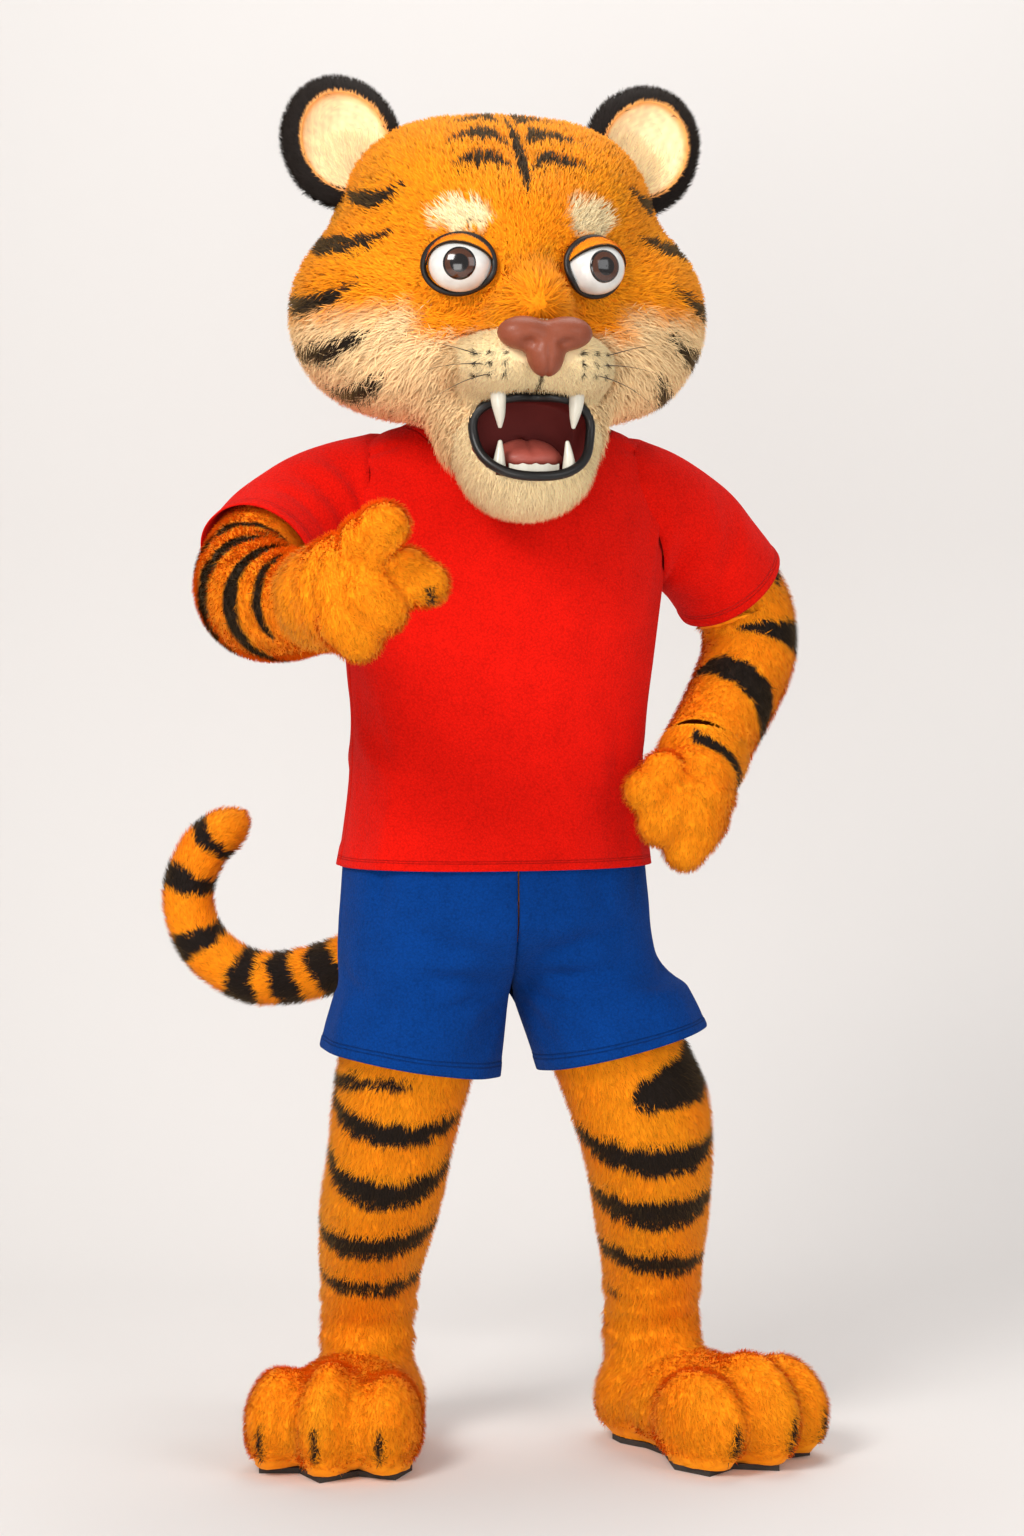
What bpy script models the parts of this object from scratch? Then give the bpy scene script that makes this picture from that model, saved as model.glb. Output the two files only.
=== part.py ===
"""Tiger mascot costume, worn and posed: padded head, fur suit with paws and tail, T-shirt and shorts.

Lengths are in metres and heights are above the floor. +Z is up and -Y is the side that the viewer sees.
The whole costume hangs from an empty at the wearer's shoulders, which is the part's origin.
"""

import math
from typing import NamedTuple

import bmesh
import bpy
import numpy as np
from mathutils import Matrix, Vector

# Where the wearer's shoulders carry the costume, and how far the body is turned to its own left
SHOULDER_HEIGHT = 1.44
BODY_TURN = math.radians(13.0)
RIGHT, LEFT = -1, 1

# The hips stand a little to the wearer's right of the shoulders
LEAN = -0.013
LEAN_TOP, LEAN_FOOT = 1.25, 0.85

# Thickness of each kind of made-up wall, and the room between pieces
SEAM_GAP = 0.0004
LAYER_GAP = 0.0006
SUIT_FUR = 0.008
PAW_PADDING = 0.011
FLEECE = 0.002
SOLE_THICKNESS = 0.008
SOLE_INSET = 0.008
ANKLE_HEIGHT = 0.185

# Head: its middle in the room, and the openings in it
HEAD_AT = (-0.010, -0.055, 1.650)
MOUTH_HALF_WIDTH = 0.088
MOUTH_TOP, MOUTH_BOTTOM = -0.164, -0.270
MOUTH_NARROWING = 0.20
MOUTH_BACK = -0.160
MOUTH_BOWL = ((0.70, 0.94), (1.0, 0.66))
MOUTH_AROUND = 22
COVER_AROUND, COVER_SQUARENESS = 20, 4.0
TEETH_TOP, TEETH_SCALLOP = -0.258, 0.006
TEETH_FRONT, TEETH_THICKNESS, TEETH_HALF_WIDTH = -0.243, 0.007, 0.034
LIP_RADIUS = 0.0065
LIP_SINK = 0.0026
LINING_WALL = 0.003
EYE_AT = (0.093, -0.196, 0.012)
EYE_HALF = (0.042, 0.030, 0.036)
EYE_TURN = math.radians(14.0)
IRIS_RADIUS = 0.022
IRIS_RISE = 0.0022
EAR_AT = (0.213, 0.020, 0.196)
EAR_HALF = (0.086, 0.042, 0.096)
EAR_CUP_HALF = (0.062, 0.040, 0.072)
EAR_CUP_FRONT = -0.034
INNER_EAR_WALL = 0.005
EAR_LEAN = math.radians(24.0)
FACE_SEAM_DEPTH = 0.066

# T-shirt: its hem and the tilted round neckline
SHIRT_HEM_DEPTH = 0.030
NECKLINE_HALF = (0.128, 0.118)
NECKBAND_WIDTH = 0.020
NECKLINE_TILT = math.radians(24.0)
NECKLINE_AT = (0.0, -0.010, 1.442)
SLEEVE_HEM_SHARE = 0.08
SHORTS_HEM_DEPTH = 0.026
HEM_RISE = 0.0012


class Section(NamedTuple):
    """One level ring of the torso."""

    height: float
    half_width: float
    half_depth: float
    centre_y: float


class Station(NamedTuple):
    """One ring along a limb: where its middle is, and its half sizes."""

    x: float
    y: float
    z: float
    half_wide: float
    half_deep: float


class Joint(NamedTuple):
    """One knuckle of a stuffed digit: its middle and its radius."""

    x: float
    y: float
    z: float
    radius: float


class TrouserRow(NamedTuple):
    """One row of a trouser leg: the body oval above, the leg oval below, and the share of each."""

    height: float
    body_width: float
    body_depth: float
    leg_x: float
    leg_y: float
    leg_width: float
    leg_depth: float
    leg_share: float


class Pad(NamedTuple):
    """One lump of foam: its middle, its half sizes, and whether it has a twin across the middle."""

    centre: tuple
    half: tuple
    twin: bool


TORSO = (
    Section(0.845, 0.222, 0.160, 0.000),
    Section(0.890, 0.216, 0.157, 0.000),
    Section(0.970, 0.209, 0.153, 0.000),
    Section(1.060, 0.211, 0.153, -0.002),
    Section(1.240, 0.227, 0.157, -0.004),
    Section(1.320, 0.228, 0.149, -0.002),
    Section(1.385, 0.220, 0.131, 0.002),
    Section(1.425, 0.203, 0.115, 0.004),
    Section(1.452, 0.168, 0.103, 0.002),
    Section(1.468, 0.116, 0.090, 0.000),
)
SUIT_BODY = (
    Section(0.870, 0.2060, 0.1470, 0.000),
    Section(0.970, 0.2055, 0.1495, 0.000),
    Section(1.060, 0.2084, 0.1504, -0.002),
    Section(1.240, 0.2244, 0.1544, -0.004),
    Section(1.320, 0.2254, 0.1464, -0.002),
    Section(1.385, 0.2172, 0.1282, 0.002),
    Section(1.423, 0.1980, 0.1105, 0.004),
    Section(1.442, 0.1600, 0.0990, 0.000),
    Section(1.454, 0.1270, 0.0960, -0.012),
    Section(1.485, 0.1190, 0.0960, -0.030),
    Section(1.530, 0.1180, 0.0950, -0.035),
)
TORSO_SQUARENESS = 2.35

SLEEVE_RIGHT = (
    Station(-0.110, 0.010, 1.362, 0.086, 0.086),
    Station(-0.190, -0.012, 1.360, 0.090, 0.090),
    Station(-0.262, -0.060, 1.335, 0.089, 0.087),
    Station(-0.310, -0.120, 1.298, 0.088, 0.085),
    Station(-0.334, -0.174, 1.267, 0.090, 0.085),
)
SLEEVE_LEFT = (
    Station(0.110, 0.030, 1.366, 0.086, 0.086),
    Station(0.185, 0.040, 1.356, 0.090, 0.088),
    Station(0.250, 0.068, 1.322, 0.088, 0.086),
    Station(0.296, 0.102, 1.280, 0.086, 0.084),
    Station(0.326, 0.130, 1.240, 0.087, 0.084),
)
ARM_RIGHT = (
    Station(-0.110, 0.010, 1.362, 0.074, 0.074),
    Station(-0.190, -0.014, 1.360, 0.078, 0.078),
    Station(-0.264, -0.062, 1.335, 0.078, 0.076),
    Station(-0.318, -0.130, 1.290, 0.079, 0.075),
    Station(-0.342, -0.210, 1.245, 0.084, 0.077),
    Station(-0.324, -0.290, 1.220, 0.084, 0.080),
    Station(-0.290, -0.360, 1.212, 0.079, 0.077),
    Station(-0.258, -0.420, 1.212, 0.072, 0.070),
    Station(-0.232, -0.468, 1.218, 0.069, 0.069),
)
ARM_LEFT = (
    Station(0.110, 0.030, 1.366, 0.072, 0.072),
    Station(0.188, 0.042, 1.354, 0.074, 0.074),
    Station(0.256, 0.072, 1.316, 0.073, 0.072),
    Station(0.312, 0.114, 1.264, 0.073, 0.072),
    Station(0.350, 0.142, 1.206, 0.075, 0.073),
    Station(0.356, 0.126, 1.144, 0.074, 0.072),
    Station(0.334, 0.078, 1.088, 0.071, 0.069),
    Station(0.306, 0.022, 1.040, 0.069, 0.066),
    Station(0.282, -0.026, 1.002, 0.069, 0.065),
)
PALM_RIGHT = (
    ARM_RIGHT[-1],
    Station(-0.214, -0.500, 1.222, 0.076, 0.074),
    Station(-0.197, -0.532, 1.226, 0.080, 0.070),
    Station(-0.182, -0.562, 1.230, 0.070, 0.060),
    Station(-0.176, -0.580, 1.232, 0.040, 0.034),
)
PALM_LEFT = (
    ARM_LEFT[-1],
    Station(0.272, -0.052, 0.978, 0.078, 0.066),
    Station(0.266, -0.074, 0.946, 0.082, 0.064),
    Station(0.262, -0.090, 0.915, 0.070, 0.056),
    Station(0.260, -0.098, 0.896, 0.040, 0.034),
)
FINGERS_RIGHT = {
    "index": (
        Joint(-0.196, -0.545, 1.265, 0.039),
        Joint(-0.169, -0.588, 1.287, 0.041),
        Joint(-0.146, -0.622, 1.305, 0.038),
    ),
    "middle": (
        Joint(-0.200, -0.545, 1.238, 0.038),
        Joint(-0.166, -0.585, 1.222, 0.041),
        Joint(-0.150, -0.586, 1.204, 0.039),
    ),
    "little": (
        Joint(-0.222, -0.530, 1.205, 0.038),
        Joint(-0.197, -0.568, 1.190, 0.041),
        Joint(-0.180, -0.568, 1.171, 0.038),
    ),
    "thumb": (
        Joint(-0.158, -0.538, 1.250, 0.034),
        Joint(-0.120, -0.555, 1.252, 0.036),
        Joint(-0.096, -0.562, 1.236, 0.035),
    ),
}
FINGERS_LEFT = {
    "index": (
        Joint(0.256, -0.090, 0.984, 0.033),
        Joint(0.222, -0.128, 0.980, 0.036),
        Joint(0.196, -0.144, 0.956, 0.036),
    ),
    "middle": (
        Joint(0.268, -0.094, 0.944, 0.033),
        Joint(0.238, -0.130, 0.934, 0.037),
        Joint(0.216, -0.140, 0.910, 0.036),
    ),
    "little": (
        Joint(0.284, -0.082, 0.914, 0.034),
        Joint(0.268, -0.112, 0.896, 0.038),
        Joint(0.252, -0.120, 0.874, 0.036),
    ),
}
TAIL = (
    Station(-0.030, 0.120, 0.800, 0.046, 0.046),
    Station(-0.085, 0.190, 0.770, 0.046, 0.046),
    Station(-0.170, 0.232, 0.715, 0.045, 0.045),
    Station(-0.270, 0.256, 0.668, 0.044, 0.044),
    Station(-0.372, 0.264, 0.656, 0.044, 0.044),
    Station(-0.446, 0.262, 0.704, 0.043, 0.043),
    Station(-0.470, 0.258, 0.778, 0.042, 0.042),
    Station(-0.448, 0.252, 0.844, 0.041, 0.041),
    Station(-0.410, 0.248, 0.880, 0.038, 0.038),
)
SUIT_LEGS = {
    RIGHT: (
        TrouserRow(0.8696, 0.2058, 0.1469, -0.105, -0.020, 0.100, 0.110, 0.0),
        TrouserRow(0.805, 0.2060, 0.1480, -0.105, -0.022, 0.102, 0.112, 0.0),
        TrouserRow(0.750, 0.2050, 0.1450, -0.104, -0.024, 0.101, 0.108, 0.35),
        TrouserRow(0.702, 0.2050, 0.1450, -0.108, -0.028, 0.099, 0.100, 1.0),
        TrouserRow(0.620, 0.2050, 0.1450, -0.122, -0.026, 0.104, 0.102, 1.0),
        TrouserRow(0.530, 0.2050, 0.1450, -0.143, -0.022, 0.100, 0.097, 1.0),
        TrouserRow(0.440, 0.2050, 0.1450, -0.160, -0.014, 0.092, 0.090, 1.0),
        TrouserRow(0.370, 0.2050, 0.1450, -0.172, 0.002, 0.090, 0.088, 1.0),
        TrouserRow(0.300, 0.2050, 0.1450, -0.184, 0.030, 0.083, 0.084, 1.0),
        TrouserRow(0.240, 0.2050, 0.1450, -0.192, 0.062, 0.074, 0.079, 1.0),
        TrouserRow(0.170, 0.2050, 0.1450, -0.197, 0.092, 0.072, 0.078, 1.0),
    ),
    LEFT: (
        TrouserRow(0.8696, 0.2058, 0.1469, 0.105, 0.024, 0.100, 0.110, 0.0),
        TrouserRow(0.805, 0.2060, 0.1480, 0.105, 0.026, 0.102, 0.112, 0.0),
        TrouserRow(0.750, 0.2050, 0.1450, 0.106, 0.027, 0.102, 0.108, 0.35),
        TrouserRow(0.702, 0.2050, 0.1450, 0.110, 0.024, 0.104, 0.105, 1.0),
        TrouserRow(0.620, 0.2050, 0.1450, 0.143, 0.018, 0.107, 0.103, 1.0),
        TrouserRow(0.530, 0.2050, 0.1450, 0.184, 0.008, 0.108, 0.100, 1.0),
        TrouserRow(0.460, 0.2050, 0.1450, 0.201, 0.008, 0.100, 0.094, 1.0),
        TrouserRow(0.400, 0.2050, 0.1450, 0.209, 0.018, 0.092, 0.090, 1.0),
        TrouserRow(0.320, 0.2050, 0.1450, 0.213, 0.048, 0.083, 0.085, 1.0),
        TrouserRow(0.250, 0.2050, 0.1450, 0.215, 0.080, 0.075, 0.080, 1.0),
        TrouserRow(0.170, 0.2050, 0.1450, 0.215, 0.105, 0.072, 0.078, 1.0),
    ),
}
SHORTS = {
    RIGHT: (
        TrouserRow(0.862, 0.2125, 0.1545, -0.105, -0.020, 0.110, 0.126, 0.0),
        TrouserRow(0.820, 0.2160, 0.1565, -0.106, -0.021, 0.114, 0.130, 0.0),
        TrouserRow(0.770, 0.2195, 0.1570, -0.107, -0.022, 0.118, 0.132, 0.0),
        TrouserRow(0.715, 0.2240, 0.1560, -0.109, -0.024, 0.119, 0.132, 0.30),
        TrouserRow(0.668, 0.2250, 0.1540, -0.112, -0.026, 0.1195, 0.130, 0.80),
        TrouserRow(0.640, 0.2250, 0.1540, -0.117, -0.027, 0.1220, 0.128, 1.0),
        TrouserRow(0.590, 0.2250, 0.1540, -0.125, -0.027, 0.1250, 0.128, 1.0),
        TrouserRow(0.547, 0.2250, 0.1540, -0.131, -0.026, 0.1260, 0.127, 1.0),
    ),
    LEFT: (
        TrouserRow(0.862, 0.2125, 0.1545, 0.105, 0.024, 0.110, 0.126, 0.0),
        TrouserRow(0.820, 0.2160, 0.1565, 0.107, 0.025, 0.114, 0.130, 0.0),
        TrouserRow(0.770, 0.2195, 0.1570, 0.110, 0.026, 0.118, 0.132, 0.0),
        TrouserRow(0.715, 0.2240, 0.1560, 0.120, 0.027, 0.120, 0.132, 0.30),
        TrouserRow(0.668, 0.2250, 0.1540, 0.131, 0.024, 0.1210, 0.130, 0.80),
        TrouserRow(0.640, 0.2250, 0.1540, 0.141, 0.021, 0.1220, 0.128, 1.0),
        TrouserRow(0.595, 0.2250, 0.1540, 0.156, 0.016, 0.1210, 0.128, 1.0),
        TrouserRow(0.553, 0.2250, 0.1540, 0.168, 0.012, 0.1190, 0.126, 1.0),
    ),
}
WAISTBAND = (
    Section(0.8625, 0.2124, 0.1544, 0.0),
    Section(0.8930, 0.2110, 0.1530, 0.0),
)
SHORTS_LEG_RISE = {RIGHT: 0.12, LEFT: 0.18}
LEG_RISE_START = 0.72

HEAD_CENTRE = (0.0, -0.060, -0.040)
HEAD_SOFTNESS = 0.012
FINGER_SOFTNESS = 0.006
HEAD_PADS = (
    Pad((0.0, 0.020, 0.028), (0.234, 0.225, 0.216), False),
    Pad((0.085, 0.0, 0.105), (0.130, 0.170, 0.125), True),
    Pad((0.176, -0.018, -0.040), (0.120, 0.138, 0.134), True),
    Pad((0.115, -0.070, -0.110), (0.130, 0.120, 0.086), True),
    Pad((0.0, -0.110, 0.070), (0.135, 0.110, 0.085), False),
    Pad((0.0, -0.175, -0.035), (0.064, 0.108, 0.066), False),
    Pad((0.050, -0.216, -0.122), (0.068, 0.082, 0.050), True),
    Pad((0.0, -0.180, -0.255), (0.100, 0.080, 0.080), False),
    Pad((0.072, -0.140, -0.190), (0.052, 0.078, 0.075), True),
)
ROOM_PADS = (
    Pad((0.0, 0.020, 0.028), (0.218, 0.209, 0.200), False),
    Pad((0.150, -0.012, -0.040), (0.125, 0.120, 0.115), True),
    Pad((0.090, -0.050, -0.090), (0.105, 0.090, 0.070), True),
)
FACE_CENTRE = (0.0, -0.105, -0.060)
NOSE_CENTRE = (0.0, -0.293, -0.098)
NOSE_SOFTNESS = 0.006
NOSE_PADS = (
    Pad((0.030, 0.0, 0.014), (0.034, 0.026, 0.022), True),
    Pad((0.0, -0.004, -0.016), (0.024, 0.024, 0.028), False),
)
TONGUE_CENTRE = (0.0, -0.195, -0.244)
TONGUE_PADS = (
    Pad((0.0, -0.200, -0.246), (0.046, 0.032, 0.018), False),
    Pad((0.0, -0.184, -0.238), (0.040, 0.022, 0.020), False),
)
UPPER_FANG = (
    Station(0.054, -0.250, -0.152, 0.011, 0.011),
    Station(0.053, -0.251, -0.172, 0.010, 0.010),
    Station(0.051, -0.250, -0.190, 0.007, 0.007),
    Station(0.050, -0.247, -0.204, 0.003, 0.003),
)
LOWER_FANG = (
    Station(0.048, -0.230, -0.278, 0.010, 0.010),
    Station(0.048, -0.232, -0.256, 0.009, 0.009),
    Station(0.047, -0.232, -0.238, 0.006, 0.006),
    Station(0.046, -0.230, -0.224, 0.003, 0.003),
)
COVERS = {
    "muzzle": (0.110, 0.0560, -0.1230, -0.110),
    "jaw": (0.108, 0.0830, -0.2625, -0.080),
}

BOOT_CENTRE = (0.0, -0.060, 0.070)
BOOT_SOFTNESS = 0.008
BOOT_PADS = (
    Pad((0.0, 0.0, 0.062), (0.088, 0.086, 0.080), False),
    Pad((0.0, 0.0, 0.160), (0.070, 0.076, 0.130), False),
    Pad((0.0, -0.090, 0.068), (0.098, 0.115, 0.080), False),
    Pad((0.0, -0.160, 0.062), (0.108, 0.085, 0.074), False),
)
TOES = {
    "middle": Pad((0.0, -0.212, 0.072), (0.050, 0.092, 0.088), False),
    "inner": Pad((0.080, -0.190, 0.066), (0.049, 0.088, 0.080), False),
    "outer": Pad((-0.080, -0.190, 0.066), (0.049, 0.088, 0.080), False),
}
BOOT_AT = {RIGHT: (-0.197, 0.090, 0.0), LEFT: (0.215, 0.104, 0.0)}
BOOT_TURN = {RIGHT: math.radians(-12.0), LEFT: math.radians(40.0)}

# Fineness of the rings
TORSO_AROUND = 18
LIMB_AROUND, LEG_AROUND, ARM_ROWS = 12, 12, 10
SLEEVE_AROUND, SLEEVE_ROWS = 14, 5
SHORTS_ACROSS, SHORTS_ROWS = 6, 6
FINGER_AROUND, FINGER_LEVELS = 9, 6
TAIL_AROUND, TAIL_ROWS = 9, 13
BOOT_AROUND, BOOT_LEVELS = 13, 9
TOE_AROUND, TOE_LEVELS = 10, 7
SOLE_AROUND = 24
BALL_AROUND, BALL_LEVELS = 12, 7
CUTTER_AROUND = 16
NUDGE = 1e-4
SEAM_TURN = 0.0016
FAR_OUT = 0.60
FORMS = {
    "head_face": (FACE_CENTRE, 26, 17),
    "head_back": (HEAD_CENTRE, 20, 13),
    "muzzle": ((0.0, -0.200, -0.120), 20, 13),
    "jaw": ((0.0, -0.175, -0.250), 18, 12),
}
CAST_STEPS = 90
CAST_SHARE = 0.75

FUR_ORANGE = (0.80, 0.33, 0.03)
FUR_CREAM = (0.86, 0.70, 0.42)
FUR_BLACK = (0.020, 0.016, 0.014)
FLEECE_RED = (0.78, 0.02, 0.01)
FLEECE_BLUE = (0.01, 0.09, 0.40)
NOSE_PINK = (0.36, 0.12, 0.08)
MOUTH_RED = (0.20, 0.03, 0.025)
LIP_BLACK = (0.015, 0.013, 0.013)
TOOTH_IVORY = (0.88, 0.82, 0.66)
EYE_WHITE = (0.90, 0.88, 0.84)
IRIS_BROWN = (0.05, 0.018, 0.010)
SOLE_TAN = (0.45, 0.24, 0.08)


def start_scene():
    """Empties the scene. Returns the collections for the pieces and the cutters, and the carrying empty."""
    for obj in list(bpy.data.objects):
        bpy.data.objects.remove(obj, do_unlink=True)
    pieces = bpy.data.collections.new("tiger_mascot_costume")
    cutters = bpy.data.collections.new("cutters")
    for group in (pieces, cutters):
        bpy.context.scene.collection.children.link(group)
    carrier = bpy.data.objects.new("wearer_shoulders", None)
    carrier.location = (0.0, 0.0, -SHOULDER_HEIGHT)
    pieces.objects.link(carrier)
    return pieces, cutters, carrier


PIECES, CUTTERS, CARRIER = start_scene()


def finish_of(name, colour, roughness):
    """A Principled material of one colour."""
    made = bpy.data.materials.new(name)
    made.use_nodes = True
    shader = made.node_tree.nodes["Principled BSDF"]
    shader.inputs["Base Color"].default_value = (*colour, 1.0)
    shader.inputs["Roughness"].default_value = roughness
    shader.inputs["Metallic"].default_value = 0.0
    return made


ORANGE = finish_of("orange_fur", FUR_ORANGE, 0.9)
CREAM = finish_of("cream_fur", FUR_CREAM, 0.9)
BLACK = finish_of("black_fur", FUR_BLACK, 0.9)
RED = finish_of("red_fleece", FLEECE_RED, 0.85)
BLUE = finish_of("blue_fleece", FLEECE_BLUE, 0.85)
PINK = finish_of("nose_vinyl", NOSE_PINK, 0.5)
MOUTH = finish_of("mouth_cloth", MOUTH_RED, 0.6)
LIP = finish_of("lip_vinyl", LIP_BLACK, 0.35)
IVORY = finish_of("tooth_foam", TOOTH_IVORY, 0.5)
WHITE = finish_of("eye_white", EYE_WHITE, 0.2)
BROWN = finish_of("iris", IRIS_BROWN, 0.15)
TAN = finish_of("sole", SOLE_TAN, 0.8)


def place(name, mesh, material, cutter=False):
    """Puts a mesh in the scene as a piece, or as a cutter that isn't shown, carried by the shoulders."""
    obj = bpy.data.objects.new(name, mesh)
    (CUTTERS if cutter else PIECES).objects.link(obj)
    obj.parent = CARRIER
    if cutter:
        obj.hide_render = True
        obj.display_type = "WIRE"
    else:
        mesh.materials.append(material)
    return obj


def mesh_of(name, points, faces):
    """A mesh from points and faces, shaded smooth but for its real edges."""
    mesh = bpy.data.meshes.new(name)
    mesh.from_pydata(points.tolist(), [], faces)
    mesh.validate()
    mesh.shade_smooth()
    mesh.set_sharp_from_angle(angle=math.radians(50.0))
    return mesh


def boolean(obj, other, operation="DIFFERENCE"):
    """Cuts, joins or keeps with another solid."""
    modifier = obj.modifiers.new(f"{operation.lower()}_{other.name}", "BOOLEAN")
    modifier.operation = operation
    modifier.solver = "EXACT"
    modifier.object = other


def along(rows, share):
    """A table's columns at each share of its length, on one smooth curve through its rows."""
    table = np.array(rows, float)
    last = len(table) - 1
    spot = np.clip(share, 0.0, 1.0) * last
    row = np.minimum(spot.astype(int), last - 1)
    part = (spot - row)[..., None]
    before, here, after, beyond = (table[np.clip(row + step, 0, last)] for step in (-1, 0, 1, 2))
    bend = 2 * before - 5 * here + 4 * after - beyond
    cube = 3 * here - before - 3 * after + beyond
    return 0.5 * (2 * here + (after - before) * part + bend * part**2 + cube * part**3)


def turned(points, angle):
    """Points turned about the vertical through the origin."""
    cosine, sine = math.cos(angle), math.sin(angle)
    x, y = points[..., 0], points[..., 1]
    return np.stack([x * cosine - y * sine, x * sine + y * cosine, points[..., 2]], axis=-1)


def leaning(height):
    """How far a level of the body stands to one side of the shoulders."""
    return LEAN * np.clip((LEAN_TOP - height) / (LEAN_TOP - LEAN_FOOT), 0.0, 1.0)


def rounded(wave, squareness):
    """A sine or cosine drawn out so that its oval is squarer than an ellipse."""
    return np.sign(wave) * np.abs(wave) ** (2.0 / squareness)


def torso_surface(rows):
    """The torso as a function: u goes once round from the wearer's left by way of the back, v goes up."""

    def surface(u, v):
        height, half_width, half_depth, centre_y = np.moveaxis(along(rows, v), -1, 0)
        angle = 2 * math.pi * u
        x = half_width * rounded(np.cos(angle), TORSO_SQUARENESS)
        y = centre_y + half_depth * rounded(np.sin(angle), TORSO_SQUARENESS)
        ring = turned(np.stack([x, y, height], axis=-1), BODY_TURN)
        ring[..., 0] += leaning(height)
        return ring

    return surface


def limb_surface(stations, reference):
    """A limb as a function: u goes round each ring, v goes along the stations."""

    def surface(u, v):
        ring = along(stations, v)
        ahead = along(stations, np.minimum(v + NUDGE, 1.0))[..., :3]
        behind = along(stations, np.maximum(v - NUDGE, 0.0))[..., :3]
        way = ahead - behind
        way /= np.linalg.norm(way, axis=-1, keepdims=True)
        side = np.array(reference, float) - (way @ np.array(reference, float))[..., None] * way
        side /= np.linalg.norm(side, axis=-1, keepdims=True)
        over = np.cross(way, side)
        angle = (2 * math.pi * u)[..., None]
        return ring[..., :3] + side * np.cos(angle) * ring[..., 3:4] + over * np.sin(angle) * ring[..., 4:5]

    return surface


def trouser_surface(rows, side, hem_rise=0.0):
    """Half a pair of trousers: u goes from the front seam (0) by the outer side (1) to the back seam (2).

    Above the crotch each row is half of the body's oval, and below it the whole of the leg's.
    """

    def surface(u, v):
        columns = np.moveaxis(along(rows, v), -1, 0)
        height, body_width, body_depth, leg_x, leg_y, leg_width, leg_depth, leg_share = columns
        leg_share = np.clip(leg_share, 0.0, 1.0)
        body_angle = u * math.pi / 2
        body_x = side * (body_width * rounded(np.sin(body_angle), TORSO_SQUARENESS) + SEAM_GAP / 2)
        body_y = -body_depth * rounded(np.cos(body_angle), TORSO_SQUARENESS)
        body = turned(np.stack([body_x, body_y, height], axis=-1), BODY_TURN)
        body[..., 0] += leaning(height)
        leg_angle = SEAM_TURN + u * (math.pi - SEAM_TURN)
        x = leg_x - side * leg_width * np.cos(leg_angle)
        y = leg_y - leg_depth * np.sin(leg_angle)
        across = (side * (x - leg_x) + leg_width) / leg_width
        lift = hem_rise * np.clip(LEG_RISE_START - height, 0.0, 1.0) * across
        leg = np.stack([x, y, height + lift], axis=-1)
        share = leg_share[..., None]
        return body * (1 - share) + leg * share

    return surface


def outward(surface, u, v):
    """Unit normals of a surface, from its slopes along u and v."""
    along_u = surface(u + NUDGE, v) - surface(u - NUDGE, v)
    along_v = surface(u, np.minimum(v + NUDGE, 1.0)) - surface(u, np.maximum(v - NUDGE, 0.0))
    normal = np.cross(along_u, along_v)
    return normal / np.linalg.norm(normal, axis=-1, keepdims=True)


def strip_faces(rows, columns, loop, start=0, flip=False):
    """Triangles between neighbouring rows of a grid of points, all with the same diagonal."""
    wide = columns if loop else columns - 1
    faces = []
    for row in range(rows - 1):
        for column in range(wide):
            near, beside = row * columns + column, row * columns + (column + 1) % columns
            above, across = near + columns, beside + columns
            for face in ((near, beside, across), (near, across, above)):
                faces.append(tuple(start + index for index in (face[::-1] if flip else face)))
    return faces


def rim_faces(first, second, count, flip):
    """Two triangles that close the wall's edge, from two outer points to the inner points behind them."""
    faces = ((second, first, count + second), (first, count + first, count + second))
    return [face[::-1] if flip else face for face in faces]


def cloth(name, surface, u, v, thickness, material, facing=1, rise=None, loop=False, cutter=False):
    """A wall of cloth under a surface: outer points on it, inner points sunk in, and edges all round.

    facing is -1 where u x v points inwards. Normals are taken on the seam line, so two panels stay apart
    through their whole thickness. rise is a function that lifts the outer points, as a turned-up hem does.
    """
    grid_u, grid_v = np.meshgrid(u, v)
    normal = facing * outward(surface, np.round(grid_u, 2), grid_v)
    face = surface(grid_u, grid_v)
    lifted = face if rise is None else face + normal * rise(grid_u, grid_v)[..., None]
    rows, columns = grid_u.shape
    count = rows * columns
    points = np.concatenate([lifted.reshape(-1, 3), (face - normal * thickness).reshape(-1, 3)])
    flip = facing < 0
    faces = strip_faces(rows, columns, loop, 0, flip) + strip_faces(rows, columns, loop, count, not flip)
    edge = list(range(columns)) + ([0] if loop else [])
    for row, turn in ((0, flip), (rows - 1, not flip)):
        for first, second in zip(edge, edge[1:]):
            faces += rim_faces(row * columns + first, row * columns + second, count, turn)
    if not loop:
        for column, turn in ((0, not flip), (columns - 1, flip)):
            for row in range(rows - 1):
                faces += rim_faces(row * columns + column, (row + 1) * columns + column, count, turn)
    return place(name, mesh_of(name, points, faces), material, cutter)


def filled(name, surface, u_count, v, swell, material=None, facing=1):
    """The solid inside a closed surface, grown by swell and capped. Without a material it is a cutter."""
    grid_u, grid_v = np.meshgrid(np.arange(u_count) / u_count, v)
    points = surface(grid_u, grid_v) + facing * swell * outward(surface, grid_u, grid_v)
    rows = len(v)
    faces = strip_faces(rows, u_count, True, 0, facing < 0)
    low, high = list(range(u_count)), [(rows - 1) * u_count + index for index in range(u_count)]
    faces.append(tuple(low[::-1] if facing > 0 else low))
    faces.append(tuple(high if facing > 0 else high[::-1]))
    return place(name, mesh_of(name, points.reshape(-1, 3), faces), material, material is None)


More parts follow.
